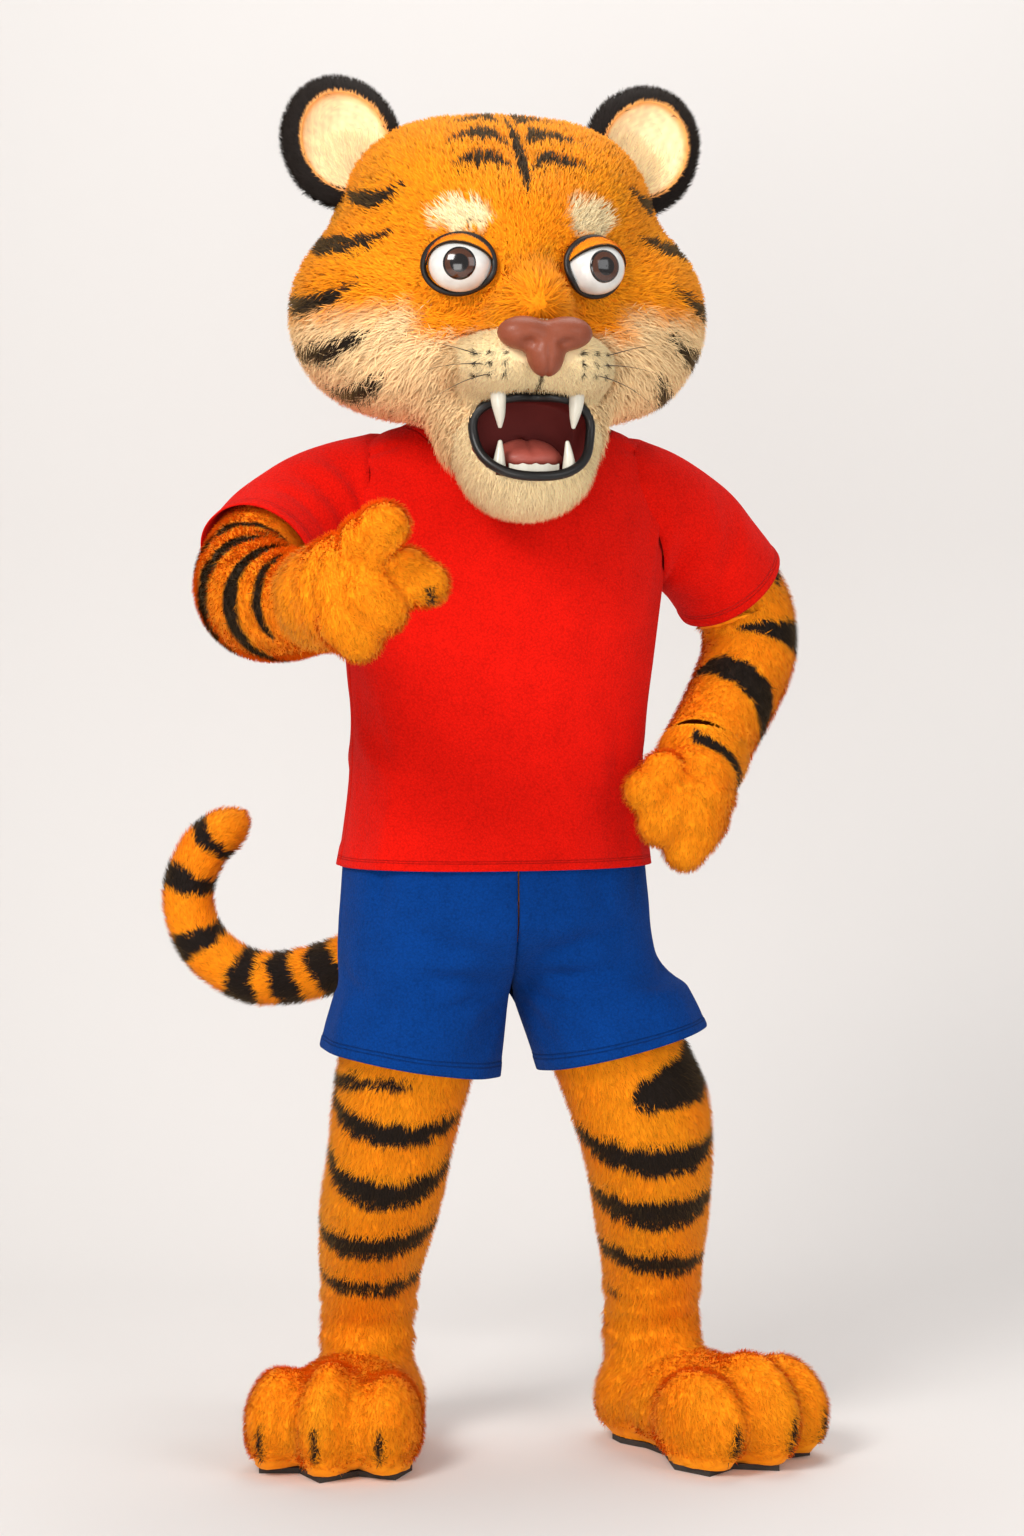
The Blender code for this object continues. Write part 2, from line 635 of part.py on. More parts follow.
def finger_surface(stations, reference):
    """A stuffed finger: the limb's rings, closed by a dome past its last station."""
    limb = limb_surface(stations, reference)
    last = np.array(stations[-1][:3])
    way = last - np.array(stations[-2][:3])
    way /= np.linalg.norm(way)
    reach = stations[-1].half_deep

    def surface(u, v):
        ring = limb(u, np.minimum(v, 1.0))
        dome = np.clip(v - 1.0, 0.0, 1.0)[..., None] * math.pi / 2
        cap = last + (ring - last) * np.cos(dome) + way * reach * np.sin(dome)
        return np.where(v[..., None] <= 1.0, ring, cap)

    return surface


def stuffed(name, stations, reference, around, rows, swell=0.0, material=None):
    """A solid stuffed tube with a domed end, such as a finger or the tail."""
    dome = np.array([1.35, 1.68, 1.9])
    v = np.concatenate([np.linspace(0.0, 1.0, rows), dome])
    surface = finger_surface(stations, reference)
    grid_u, grid_v = np.meshgrid(np.arange(around) / around, v)
    points = surface(grid_u, grid_v)
    middle = points.mean(axis=1, keepdims=True)
    spread = points - middle
    reach = np.maximum(np.linalg.norm(spread, axis=-1, keepdims=True), 1e-9)
    points = middle + spread * (1 + swell / reach)
    faces = strip_faces(len(v), around, True)
    faces.append(tuple(range(around))[::-1])
    faces.append(tuple((len(v) - 1) * around + index for index in range(around)))
    return place(name, mesh_of(name, points.reshape(-1, 3), faces), material, material is None)


def padded_distance(points, pads, softness):
    """Signed distance from each point to the pads melted together: their own distances, softly added."""
    rows = [(pad.centre, pad.half) for pad in pads]
    rows += [((-pad.centre[0], *pad.centre[1:]), pad.half) for pad in pads if pad.twin]
    centre, half = (np.array(column) for column in zip(*rows))
    offset = points[:, None, :] - centre
    scaled = np.linalg.norm(offset / half, axis=2)
    slope = np.maximum(np.linalg.norm(offset / half**2, axis=2), 1e-9)
    each = scaled * (scaled - 1.0) / slope
    least = each.min(axis=1, keepdims=True)
    return least[:, 0] - softness * np.log(np.exp((least - each) / softness).sum(axis=1))


def padded_mesh(name, pads, centre, softness, around, levels, sink=0.0):
    """A ball whose points are drawn in from outside until they meet the padded form, less the sink."""
    shape = bmesh.new()
    bmesh.ops.create_uvsphere(shape, u_segments=around, v_segments=levels, radius=1.0)
    ways = np.array([vertex.co for vertex in shape.verts])
    reach = np.full(len(ways), FAR_OUT)
    for _ in range(CAST_STEPS):
        points = np.array(centre) + ways * reach[:, None]
        reach -= CAST_SHARE * (padded_distance(points, pads, softness) + sink)
        reach = np.maximum(reach, 0.002)
    for vertex, point in zip(shape.verts, np.array(centre) + ways * reach[:, None]):
        vertex.co = point
    bmesh.ops.triangulate(shape, faces=shape.faces[:], quad_method="FIXED")
    mesh = bpy.data.meshes.new(name)
    shape.to_mesh(mesh)
    shape.free()
    mesh.shade_smooth()
    mesh.set_sharp_from_angle(angle=math.radians(60.0))
    return mesh


def ball_mesh(name, half, around=BALL_AROUND, levels=BALL_LEVELS):
    """An ellipsoid with the given half sizes."""
    shape = bmesh.new()
    size = Matrix.Diagonal((*half, 1.0))
    bmesh.ops.create_uvsphere(shape, u_segments=around, v_segments=levels, radius=1.0, matrix=size)
    bmesh.ops.triangulate(shape, faces=shape.faces[:], quad_method="FIXED")
    mesh = bpy.data.meshes.new(name)
    shape.to_mesh(mesh)
    shape.free()
    mesh.shade_smooth()
    return mesh


def prism(name, outline, low, high, axis="Z", material=None):
    """A closed outline drawn out along an axis between two levels. Without a material it is a cutter."""
    outline = np.array(outline)
    count = len(outline)
    ends = [np.full((count, 1), level) for level in (low, high)]
    if axis == "Z":
        points = np.concatenate([np.hstack([outline, end]) for end in ends])
    else:
        points = np.concatenate([np.hstack([outline[:, :1], end, outline[:, 1:]]) for end in ends[::-1]])
    faces = [tuple(range(count))[::-1], tuple(count + index for index in range(count))]
    steps = [(index, (index + 1) % count) for index in range(count)]
    faces += [(here, after, count + after, count + here) for here, after in steps]
    return place(name, mesh_of(name, points, faces), material, material is None)


def oval(half_x, half_y, count=CUTTER_AROUND, centre=(0.0, 0.0)):
    """Points of an ellipse, going left about."""
    angle = np.arange(count) * 2 * math.pi / count
    return np.stack([centre[0] + half_x * np.cos(angle), centre[1] + half_y * np.sin(angle)], axis=1)


def seat_in_head(obj, within=None):
    """Puts a piece made about the head's own middle in the room, turned as the head is."""
    head = Matrix.Translation(HEAD_AT) @ Matrix.Rotation(BODY_TURN, 4, "Z")
    obj.matrix_local = head if within is None else head @ within
    return obj


def hem(share, at_start=False):
    """Lifts a wall's outer points by the turned-up cloth over a share of its length at the hem."""

    def rise(_u, v):
        distance = v if at_start else 1.0 - v
        return HEM_RISE * (distance <= share + NUDGE)

    return rise


def hem_rows(share, rows):
    """Rows along a wall, with two close together where the turned-up hem ends."""
    return np.concatenate([np.linspace(0.0, 1.0 - share - 0.012, rows), [1.0 - share, 1.0]])


def table_rows(table, first=0):
    """One ring at each row of a table."""
    return np.arange(first, len(table)) / (len(table) - 1)


def around(count):
    """Even shares once round a closed wall."""
    return np.arange(count) / count


def half_round(gap):
    """Shares round half of the torso, short of the side seams by half the room between panels."""
    shares = np.arange(TORSO_AROUND // 2 + 1) / TORSO_AROUND
    shares[0], shares[-1] = gap / 2, 0.5 - gap / 2
    return shares


def make_shirt():
    """T-shirt: front, back, two sleeves and a neckband, each its own panel."""
    surface = torso_surface(TORSO)
    rows = table_rows(TORSO)
    hem_share = SHIRT_HEM_DEPTH / (TORSO[1].height - TORSO[0].height) * rows[1]
    v = np.concatenate([[0.0, hem_share, hem_share + 0.008], rows[1:]])
    gap = SEAM_GAP / (2 * math.pi * TORSO[0].half_depth)
    body_fill = filled("shirt_fill", surface, TORSO_AROUND, rows, SEAM_GAP)
    tilt = Matrix.Rotation(BODY_TURN, 4, "Z") @ Matrix.Translation(NECKLINE_AT)
    tilt = tilt @ Matrix.Rotation(NECKLINE_TILT, 4, "X")
    outer_half = [size + NECKBAND_WIDTH for size in NECKLINE_HALF]
    neckline = prism("neckline", oval(*NECKLINE_HALF), -0.075, 0.30)
    band_edge = prism("neckband_edge", oval(*outer_half), -0.075, 0.30)
    band_keep = prism("neckband_keep", oval(*[size - SEAM_GAP for size in outer_half]), -0.0745, 0.30)
    for cutter in (neckline, band_edge, band_keep):
        cutter.matrix_local = tilt
    holes = []
    for name, stations, reference in (
        ("sleeve_right", SLEEVE_RIGHT, (0.0, 0.0, 1.0)),
        ("sleeve_left", SLEEVE_LEFT, (0.0, 1.0, 0.0)),
    ):
        tube = limb_surface(stations, reference)
        sleeve_v = hem_rows(SLEEVE_HEM_SHARE, SLEEVE_ROWS)
        rise = hem(SLEEVE_HEM_SHARE)
        sleeve = cloth(name, tube, around(SLEEVE_AROUND), sleeve_v, FLEECE, RED, rise=rise, loop=True)
        boolean(sleeve, body_fill)
        holes.append(filled(f"{name}_hole", tube, SLEEVE_AROUND, sleeve_v[:5], SEAM_GAP))
    neckband = cloth("neckband", surface, around(TORSO_AROUND), rows[5:], FLEECE, RED, loop=True)
    boolean(neckband, band_keep, "INTERSECT")
    boolean(neckband, neckline)
    for name, start in (("shirt_front", 0.5), ("shirt_back", 0.0)):
        rise = hem(hem_share, at_start=True)
        panel = cloth(name, surface, half_round(gap) + start, v, FLEECE, RED, rise=rise)
        for cutter in (band_edge, *holes):
            boolean(panel, cutter)


def make_suit():
    """Fur suit: body front and back with the neck, arms and legs. Returns the cutter for the neck hole."""
    surface = torso_surface(SUIT_BODY)
    rows = table_rows(SUIT_BODY)
    gap = SEAM_GAP / (2 * math.pi * SUIT_BODY[0].half_depth)
    body_fill = filled("suit_fill", surface, TORSO_AROUND, rows, SEAM_GAP)
    holes = []
    for name, stations, reference in (
        ("arm_right", ARM_RIGHT, (0.0, 0.0, 1.0)),
        ("arm_left", ARM_LEFT, (0.0, 1.0, 0.0)),
    ):
        tube = limb_surface(stations, reference)
        v = np.linspace(0.0, 1.0, ARM_ROWS)
        arm = cloth(name, tube, around(LIMB_AROUND), v, SUIT_FUR, ORANGE, loop=True)
        boolean(arm, body_fill)
        holes.append(filled(f"{name}_hole", tube, LIMB_AROUND, v[:6], SEAM_GAP))
    for name, start in (("suit_front", 0.5), ("suit_back", 0.0)):
        panel = cloth(name, surface, half_round(gap) + start, rows, SUIT_FUR, ORANGE)
        for hole in holes:
            boolean(panel, hole)
    for name, side in (("leg_right", RIGHT), ("leg_left", LEFT)):
        tube = trouser_surface(SUIT_LEGS[side], side)
        u = np.linspace(0.0, 2.0, LEG_AROUND + 1)
        leg = cloth(name, tube, u, table_rows(SUIT_LEGS[side]), SUIT_FUR, ORANGE, facing=-side)
        boolean(leg, prism(f"{name}_end", oval(0.6, 0.6, 16), -0.1, ANKLE_HEIGHT))
    return body_fill


def make_shorts():
    """Shorts: a front and a back panel for each leg, and a waistband."""
    band = torso_surface(WAISTBAND)
    cloth("waistband", band, around(TORSO_AROUND), np.linspace(0.0, 1.0, 3), 1.4 * FLEECE, BLUE, loop=True)
    for side, side_name in ((RIGHT, "right"), (LEFT, "left")):
        surface = trouser_surface(SHORTS[side], side, SHORTS_LEG_RISE[side])
        last_row = SHORTS[side][-2].height - SHORTS[side][-1].height
        share = SHORTS_HEM_DEPTH / last_row / (len(SHORTS[side]) - 1)
        v = hem_rows(share, SHORTS_ROWS)
        gap = SEAM_GAP / 0.22
        front = np.linspace(0.0, 1.0 - gap / 2, SHORTS_ACROSS + 1)
        back = np.linspace(1.0 + gap / 2, 2.0, SHORTS_ACROSS + 1)
        for name, u in ((f"shorts_front_{side_name}", front), (f"shorts_back_{side_name}", back)):
            cloth(name, surface, u, v, FLEECE, BLUE, facing=-side, rise=hem(share))


def make_tail():
    """Tail: a stuffed tube sewn to the suit, passed out through the back of the shorts."""
    tail = stuffed("tail", TAIL, (0.0, 1.0, 0.0), TAIL_AROUND, TAIL_ROWS, material=ORANGE)
    rows = SUIT_LEGS[LEFT][2::-1]
    hips = torso_surface([Section(row.height, row.body_width, row.body_depth, 0.0) for row in rows])
    boolean(tail, filled("hip_fill", hips, 2 * LEG_AROUND, np.array([0.0, 0.5, 1.0]), LAYER_GAP))
    hole = stuffed("tail_hole", TAIL, (0.0, 1.0, 0.0), TAIL_AROUND, TAIL_ROWS, swell=LAYER_GAP)
    for name in ("shorts_back_right", "shorts_back_left"):
        boolean(bpy.data.objects[name], hole)


def tube_solid(name, points, material=None):
    """A closed solid through rings of points, each ring going left about the way that the rings follow."""
    rows, columns, _ = points.shape
    faces = strip_faces(rows, columns, True)
    faces.append(tuple(range(columns))[::-1])
    faces.append(tuple((rows - 1) * columns + index for index in range(columns)))
    return place(name, mesh_of(name, points.reshape(-1, 3), faces), material, material is None)


def make_paws():
    """Paw gloves: a hollow palm open at the wrist, with stuffed digits."""
    for name, arm, palm, fingers, reference in (
        ("glove_right", ARM_RIGHT, PALM_RIGHT, FINGERS_RIGHT, (0.0, 0.0, 1.0)),
        ("glove_left", ARM_LEFT, PALM_LEFT, FINGERS_LEFT, (0.0, 1.0, 0.0)),
    ):
        surface = finger_surface(palm, reference)
        wrist, knuckles = Vector(palm[0][:3]), Vector(palm[1][:3])
        along_arm = wrist - Vector(arm[-2][:3])
        grid_u, grid_v = np.meshgrid(around(LIMB_AROUND), [0.0, 0.25, 0.5, 0.75, 1.0, 1.4, 1.75])
        rings = surface(grid_u, grid_v)
        rings[0] += np.array(wrist - knuckles)
        glove = tube_solid(name, rings, ORANGE)
        for finger, joints in fingers.items():
            pads = [Pad(joint[:3], (joint.radius,) * 3, False) for joint in joints]
            centre = np.mean([joint[:3] for joint in joints], axis=0)
            fineness = (FINGER_SOFTNESS, FINGER_AROUND, FINGER_LEVELS)
            shape = padded_mesh(f"{name}_{finger}", pads, centre, *fineness)
            boolean(glove, place(f"{name}_{finger}", shape, None, cutter=True), "UNION")
        hollow_u, hollow_v = np.meshgrid(around(12), [-0.25, 0.0, 0.25, 0.5, 0.75])
        rings = surface(hollow_u, np.maximum(hollow_v, 0.0))
        middle = rings.mean(axis=1, keepdims=True)
        reach = np.linalg.norm(rings - middle, axis=-1, keepdims=True)
        rings = middle + (rings - middle) * (1 - SUIT_FUR / reach)
        rings += np.where(hollow_v[..., None] < 0.0, 1.5 * np.array(wrist - knuckles), 0.0)
        boolean(glove, tube_solid(f"{name}_hollow", rings))
        cuff = prism(f"{name}_cuff", oval(0.15, 0.15, 16), -0.15, SEAM_GAP)
        turn = along_arm.to_track_quat("Z", "Y").to_matrix().to_4x4()
        cuff.matrix_local = Matrix.Translation(wrist) @ turn
        boolean(glove, cuff)


def footprint():
    """The sole's outline: where the boot and its toes meet the floor plate."""
    angle = around(SOLE_AROUND) * 2 * math.pi
    ways = np.stack([np.cos(angle), np.sin(angle), np.zeros(SOLE_AROUND)], axis=1)
    centre = np.array([0.0, BOOT_CENTRE[1], SOLE_THICKNESS])
    reach = np.full(SOLE_AROUND, FAR_OUT)
    for _ in range(CAST_STEPS):
        points = centre + ways * reach[:, None]
        reach -= CAST_SHARE * padded_distance(points, (*BOOT_PADS, *TOES.values()), BOOT_SOFTNESS)
    return (centre + ways * (reach - SOLE_INSET)[:, None])[:, :2]


def make_boots():
    """Paw boots: a padded shell with three toes, open at the ankle, on a flat sole."""
    for side, side_name in ((RIGHT, "right"), (LEFT, "left")):
        name = f"boot_{side_name}"
        at = Matrix.Translation(BOOT_AT[side]) @ Matrix.Rotation(BOOT_TURN[side], 4, "Z")
        outer = padded_mesh(name, BOOT_PADS, BOOT_CENTRE, BOOT_SOFTNESS, BOOT_AROUND, BOOT_LEVELS)
        inner = padded_mesh(f"{name}_room", BOOT_PADS, BOOT_CENTRE, BOOT_SOFTNESS, 10, 7, sink=PAW_PADDING)
        boot = place(name, outer, ORANGE)
        room = place(f"{name}_room", inner, None, cutter=True)
        sole = prism(f"sole_{side_name}", footprint(), 0.0, SOLE_THICKNESS, material=TAN)
        for toe_name, toe in TOES.items():
            shape = ball_mesh("toe", toe.half, TOE_AROUND, TOE_LEVELS)
            ball = place(f"{name}_toe_{toe_name}", shape, None, cutter=True)
            ball.matrix_local = at @ Matrix.Translation(toe.centre)
            boolean(boot, ball, "UNION")
        above = prism(f"{name}_above", oval(0.5, 0.5, 16), ANKLE_HEIGHT - SEAM_GAP, 0.5)
        below = prism(f"{name}_below", oval(0.5, 0.5, 16), -0.2, SOLE_THICKNESS + SEAM_GAP)
        floor = prism(f"{name}_floor", oval(0.5, 0.5, 16), -0.2, SOLE_THICKNESS + SEAM_GAP + PAW_PADDING)
        boolean(room, floor)
        for cutter in (above, below, room):
            boolean(boot, cutter)
        for piece in (boot, room, above, below, floor, sole):
            piece.matrix_local = at


def mouth_outline(grow=0.0, shrink=1.0):
    """The open mouth seen from the front: flat above and round below, narrower at the bottom."""
    angle = around(MOUTH_AROUND) * 2 * math.pi
    middle = (MOUTH_TOP + MOUTH_BOTTOM) / 2
    half_height = (MOUTH_TOP - MOUTH_BOTTOM) / 2
    lift = rounded(np.sin(angle), 2.8)
    narrow = 1.0 - MOUTH_NARROWING * (1.0 - lift) / 2
    x = (MOUTH_HALF_WIDTH * narrow + grow) * rounded(np.cos(angle), 2.4) * shrink
    z = middle + (half_height + grow) * lift * shrink
    return np.stack([x, z], axis=1)


def on_head_front(outline, sink=0.0):
    """Drops each point of a front view back on to the head's outer surface, or sunk under it."""
    depth = np.full(len(outline), -0.45)
    for _ in range(CAST_STEPS):
        points = np.stack([outline[:, 0], depth, outline[:, 1]], axis=1)
        depth += CAST_SHARE * (padded_distance(points, HEAD_PADS, HEAD_SOFTNESS) + sink)
    return np.stack([outline[:, 0], depth, outline[:, 1]], axis=1)


def closed_tube(name, path, radius, sides, material=None):
    """A round tube along a closed path of points."""
    way = np.roll(path, -1, axis=0) - np.roll(path, 1, axis=0)
    way /= np.linalg.norm(way, axis=1, keepdims=True)
    side = np.cross(way, (0.0, 1.0, 0.0))
    side /= np.linalg.norm(side, axis=1, keepdims=True)
    over = np.cross(way, side)
    angle = (around(sides) * 2 * math.pi)[:, None]
    points = path[:, None] + radius * (side[:, None] * np.cos(angle) + over[:, None] * np.sin(angle))
    count = len(path)
    faces = strip_faces(count, sides, True)
    last = (count - 1) * sides
    steps = [(corner, (corner + 1) % sides) for corner in range(sides)]
    faces += [(last + here, last + after, after, here) for here, after in steps]
    return place(name, mesh_of(name, points.reshape(-1, 3), faces), material, material is None)


def mouth_rings(inset, back):
    """Rings of the mouth's bowl from its rim, just under the head's surface, to its back."""
    front = on_head_front(mouth_outline(), sink=LIP_SINK)
    front[:, 1] += LIP_RADIUS + 2 * SEAM_GAP
    front[:, ::2] = mouth_outline(-inset)
    rings = [front]
    for part, shrink in MOUTH_BOWL:
        outline = mouth_outline(-inset, shrink)
        depth = front[:, 1] + (back - front[:, 1]) * part
        rings.append(np.stack([outline[:, 0], depth, outline[:, 1]], axis=1))
    return np.array(rings)


def make_mouth(lip_seat):
    """The mouth behind the lip: a lining bowl, and inside it the tongue, the fangs and the lower teeth."""
    outer = mouth_rings(-LIP_RADIUS, MOUTH_BACK)
    inner = mouth_rings(LINING_WALL - LIP_RADIUS, MOUTH_BACK - LINING_WALL)
    count = MOUTH_AROUND
    points = np.concatenate([outer, inner[::-1]])
    faces = strip_faces(len(points), count, True)
    middle = len(outer) * count
    faces = [face for face in faces if not (min(face) < middle <= max(face))]
    faces += [(corner, (corner + 1) % count, count * (len(points) - 1) + (corner + 1) % count,
               count * (len(points) - 1) + corner)[::-1] for corner in range(count)]
    faces.append(tuple(middle - count + corner for corner in range(count)))
    faces.append(tuple(middle + corner for corner in range(count))[::-1])
    faces = [face[::-1] for face in faces]
    bowl = mesh_of("mouth_lining", points.reshape(-1, 3), faces)
    lining = seat_in_head(place("mouth_lining", bowl, MOUTH))
    room_rings = mouth_rings(LINING_WALL + SEAM_GAP - LIP_RADIUS, MOUTH_BACK - LINING_WALL - SEAM_GAP)
    rim = room_rings[:1].copy()
    rim[..., 1] = -0.42
    room = seat_in_head(tube_solid("mouth_room", np.concatenate([rim, room_rings])[:, ::-1]))
    shape = padded_mesh("tongue", TONGUE_PADS, TONGUE_CENTRE, NOSE_SOFTNESS, 12, 8)
    pieces = [place("tongue", shape, MOUTH)]
    for name, side in (("right", RIGHT), ("left", LEFT)):
        for row, stations in (("upper", UPPER_FANG), ("lower", LOWER_FANG)):
            tooth = [station._replace(x=side * station.x) for station in stations]
            pieces.append(stuffed(f"fang_{row}_{name}", tooth, (0.0, 1.0, 0.0), 6, 4, material=IVORY))
    pieces.append(place("lower_teeth", teeth_mesh(), IVORY))
    for piece in pieces:
        seat_in_head(piece)
        boolean(piece, room, "INTERSECT")
        boolean(piece, lip_seat)


def teeth_mesh():
    """The small lower teeth: one strip with a scalloped top, bent round behind the lip."""
    across = np.linspace(-1.0, 1.0, 13)
    top = TEETH_TOP + TEETH_SCALLOP * np.abs(np.sin(across * math.pi * 2.0 + math.pi / 2)) ** 0.6
    depth = TEETH_FRONT + 0.010 * across**2
    low = np.full(13, MOUTH_BOTTOM - 0.01)
    rings = np.stack(
        [
            np.stack([across * TEETH_HALF_WIDTH, depth, low], axis=1),
            np.stack([across * TEETH_HALF_WIDTH, depth + TEETH_THICKNESS, low], axis=1),
            np.stack([across * TEETH_HALF_WIDTH, depth + TEETH_THICKNESS, top], axis=1),
            np.stack([across * TEETH_HALF_WIDTH, depth, top], axis=1),
        ],
        axis=1,
    )
    faces = strip_faces(13, 4, True)
    faces += [(3, 2, 1, 0), tuple(48 + corner for corner in range(4))]
    return mesh_of("lower_teeth", rings.reshape(-1, 3), faces)


def make_eyes_and_ears(skull):
    """Eyes set on the face, and ear cups with their pale inner panels."""
    for side, side_name in ((RIGHT, "right"), (LEFT, "left")):
        eye_at = Matrix.Translation((side * EYE_AT[0], EYE_AT[1], EYE_AT[2]))
        eye_at = eye_at @ Matrix.Rotation(side * EYE_TURN, 4, "Z")
        ear_at = Matrix.Translation((side * EAR_AT[0], EAR_AT[1], EAR_AT[2]))
        ear_at = ear_at @ Matrix.Rotation(side * EAR_LEAN, 4, "Y")
        eye = place(f"eyeball_{side_name}", ball_mesh(f"eyeball_{side_name}", EYE_HALF), WHITE)
        seat_half = [size + SEAM_GAP for size in EYE_HALF]
        iris_half = [size + IRIS_RISE for size in EYE_HALF]
        eye_seat = place(f"iris_seat_{side_name}", ball_mesh("iris_seat", seat_half), None, cutter=True)
        iris = place(f"iris_{side_name}", ball_mesh(f"iris_{side_name}", iris_half), BROWN)
        disc = prism(f"iris_edge_{side_name}", oval(IRIS_RADIUS, IRIS_RADIUS, 18), -0.10, 0.0, axis="Y")
        boolean(iris, disc, "INTERSECT")
        boolean(iris, eye_seat)
        ear = place(f"ear_{side_name}", ball_mesh(f"ear_{side_name}", EAR_HALF), BLACK)
        cup = place(f"ear_cup_{side_name}", ball_mesh("ear_cup", EAR_CUP_HALF), None, cutter=True)
        panel_half = [size - SEAM_GAP for size in EAR_CUP_HALF]
        panel = place(f"inner_ear_{side_name}", ball_mesh(f"inner_ear_{side_name}", panel_half), CREAM)
        inside = place(f"ear_room_{side_name}", ball_mesh("ear_room", EAR_CUP_HALF), None, cutter=True)
        trim_half = [size - 0.003 for size in EAR_HALF]
        trim = place(f"ear_trim_{side_name}", ball_mesh("ear_trim", trim_half), None, cutter=True)
        for piece in (eye, eye_seat, iris, disc):
            seat_in_head(piece, eye_at)
        for piece in (ear, trim):
            seat_in_head(piece, ear_at)
        room_front = EAR_CUP_FRONT - INNER_EAR_WALL
        for piece, slide in ((cup, EAR_CUP_FRONT), (panel, EAR_CUP_FRONT), (inside, room_front)):
            seat_in_head(piece, ear_at @ Matrix.Translation((0.0, slide, 0.0)))
        boolean(ear, cup)
        boolean(panel, trim, "INTERSECT")
        boolean(panel, inside)
        for piece in (eye, iris, ear, panel):
            boolean(piece, skull)


def cover_outline(half_x, half_z, centre_z):
    """The edge of a padded cover seen from the front: a rectangle with well-rounded corners."""
    angle = around(COVER_AROUND) * 2 * math.pi
    x = half_x * rounded(np.cos(angle), COVER_SQUARENESS)
    return np.stack([x, centre_z + half_z * rounded(np.sin(angle), COVER_SQUARENESS)], axis=1)


def make_head(neck_seat):
    """Head: padded face and back of the head, muzzle and jaw covers, ears, eyes, nose and mouth."""
    inner = padded_mesh("head_room", ROOM_PADS, HEAD_CENTRE, HEAD_SOFTNESS, 16, 11)
    fineness = FORMS["head_face"][1:]
    skull_mesh = padded_mesh("skull", HEAD_PADS, FACE_CENTRE, HEAD_SOFTNESS, *fineness, sink=-SEAM_GAP)
    muzzle_mesh = padded_mesh(
        "muzzle_fill", HEAD_PADS, FORMS["muzzle"][0], HEAD_SOFTNESS, *FORMS["muzzle"][1:], sink=-SEAM_GAP
    )
    muzzle_fill = seat_in_head(place("muzzle_fill", muzzle_mesh, None, cutter=True))
    room = seat_in_head(place("head_room", inner, None, cutter=True))
    skull = seat_in_head(place("skull", skull_mesh, None, cutter=True))
    mouth = seat_in_head(prism("mouth_hole", mouth_outline(LIP_RADIUS + SEAM_GAP), -0.50, -0.10, axis="Y"))
    lip_path = on_head_front(mouth_outline(), sink=LIP_SINK)
    seat_in_head(closed_tube("lip", lip_path, LIP_RADIUS, 5, LIP))
    lip_seat = seat_in_head(closed_tube("lip_seat", lip_path, LIP_RADIUS + SEAM_GAP, 5))
    box = oval(0.6, 0.6, 16)
    front_edge = seat_in_head(prism("front_edge", box[:, :2], FACE_SEAM_DEPTH, 0.6, axis="Y"))
    back_edge = seat_in_head(prism("back_edge", box[:, :2], -0.6, FACE_SEAM_DEPTH + SEAM_GAP, axis="Y"))
    covers = {}
    for name, (half_x, half_z, centre_z, back) in COVERS.items():
        keep = prism(f"{name}_keep", cover_outline(half_x, half_z, centre_z), -0.50, back, axis="Y")
        cut_outline = cover_outline(half_x + SEAM_GAP, half_z + SEAM_GAP, centre_z)
        cut = prism(f"{name}_cut", cut_outline, -0.50, back + SEAM_GAP, axis="Y")
        covers[name] = (seat_in_head(keep), seat_in_head(cut))
    plans = {
        "head_face": [(front_edge, "DIFFERENCE"), *((cut, "DIFFERENCE") for _, cut in covers.values())],
        "head_back": [(back_edge, "DIFFERENCE")],
        **{name: [(keep, "INTERSECT")] for name, (keep, _) in covers.items()},
    }
    for name, cuts in plans.items():
        centre, turns, levels = FORMS[name]
        mesh = padded_mesh(name, HEAD_PADS, centre, HEAD_SOFTNESS, turns, levels)
        piece = seat_in_head(place(name, mesh, CREAM if name in covers else ORANGE))
        boolean(piece, room)
        for cutter, operation in cuts:
            boolean(piece, cutter, operation)
        if name != "head_back":
            boolean(piece, mouth)
        if name not in covers:
            boolean(piece, neck_seat)
    shape = padded_mesh("nose", NOSE_PADS, (0.0, 0.0, 0.0), NOSE_SOFTNESS, BALL_AROUND, BALL_LEVELS)
    nose = place("nose", shape, PINK)
    seat_in_head(nose, Matrix.Translation(NOSE_CENTRE))
    boolean(nose, skull)
    boolean(nose, muzzle_fill)
    make_eyes_and_ears(skull)
    make_mouth(lip_seat)


def main():
    """Builds the costume from the inside out."""
    neck_seat = make_suit()
    make_shorts()
    make_tail()
    make_shirt()
    make_paws()
    make_boots()
    make_head(neck_seat)
    bpy.context.view_layer.update()


main()
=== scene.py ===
"""Looks of the tiger costume: fur, fleece, face, floor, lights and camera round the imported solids.

Lengths are in metres. The tables give heights above the floor, and every mesh is lowered to the part's
origin, which is on the costume's shoulder line. +Z is up, and -Y is the side that the camera sees.
"""

import logging
import math
from dataclasses import dataclass
from enum import Enum
from typing import Callable, NamedTuple, Sequence

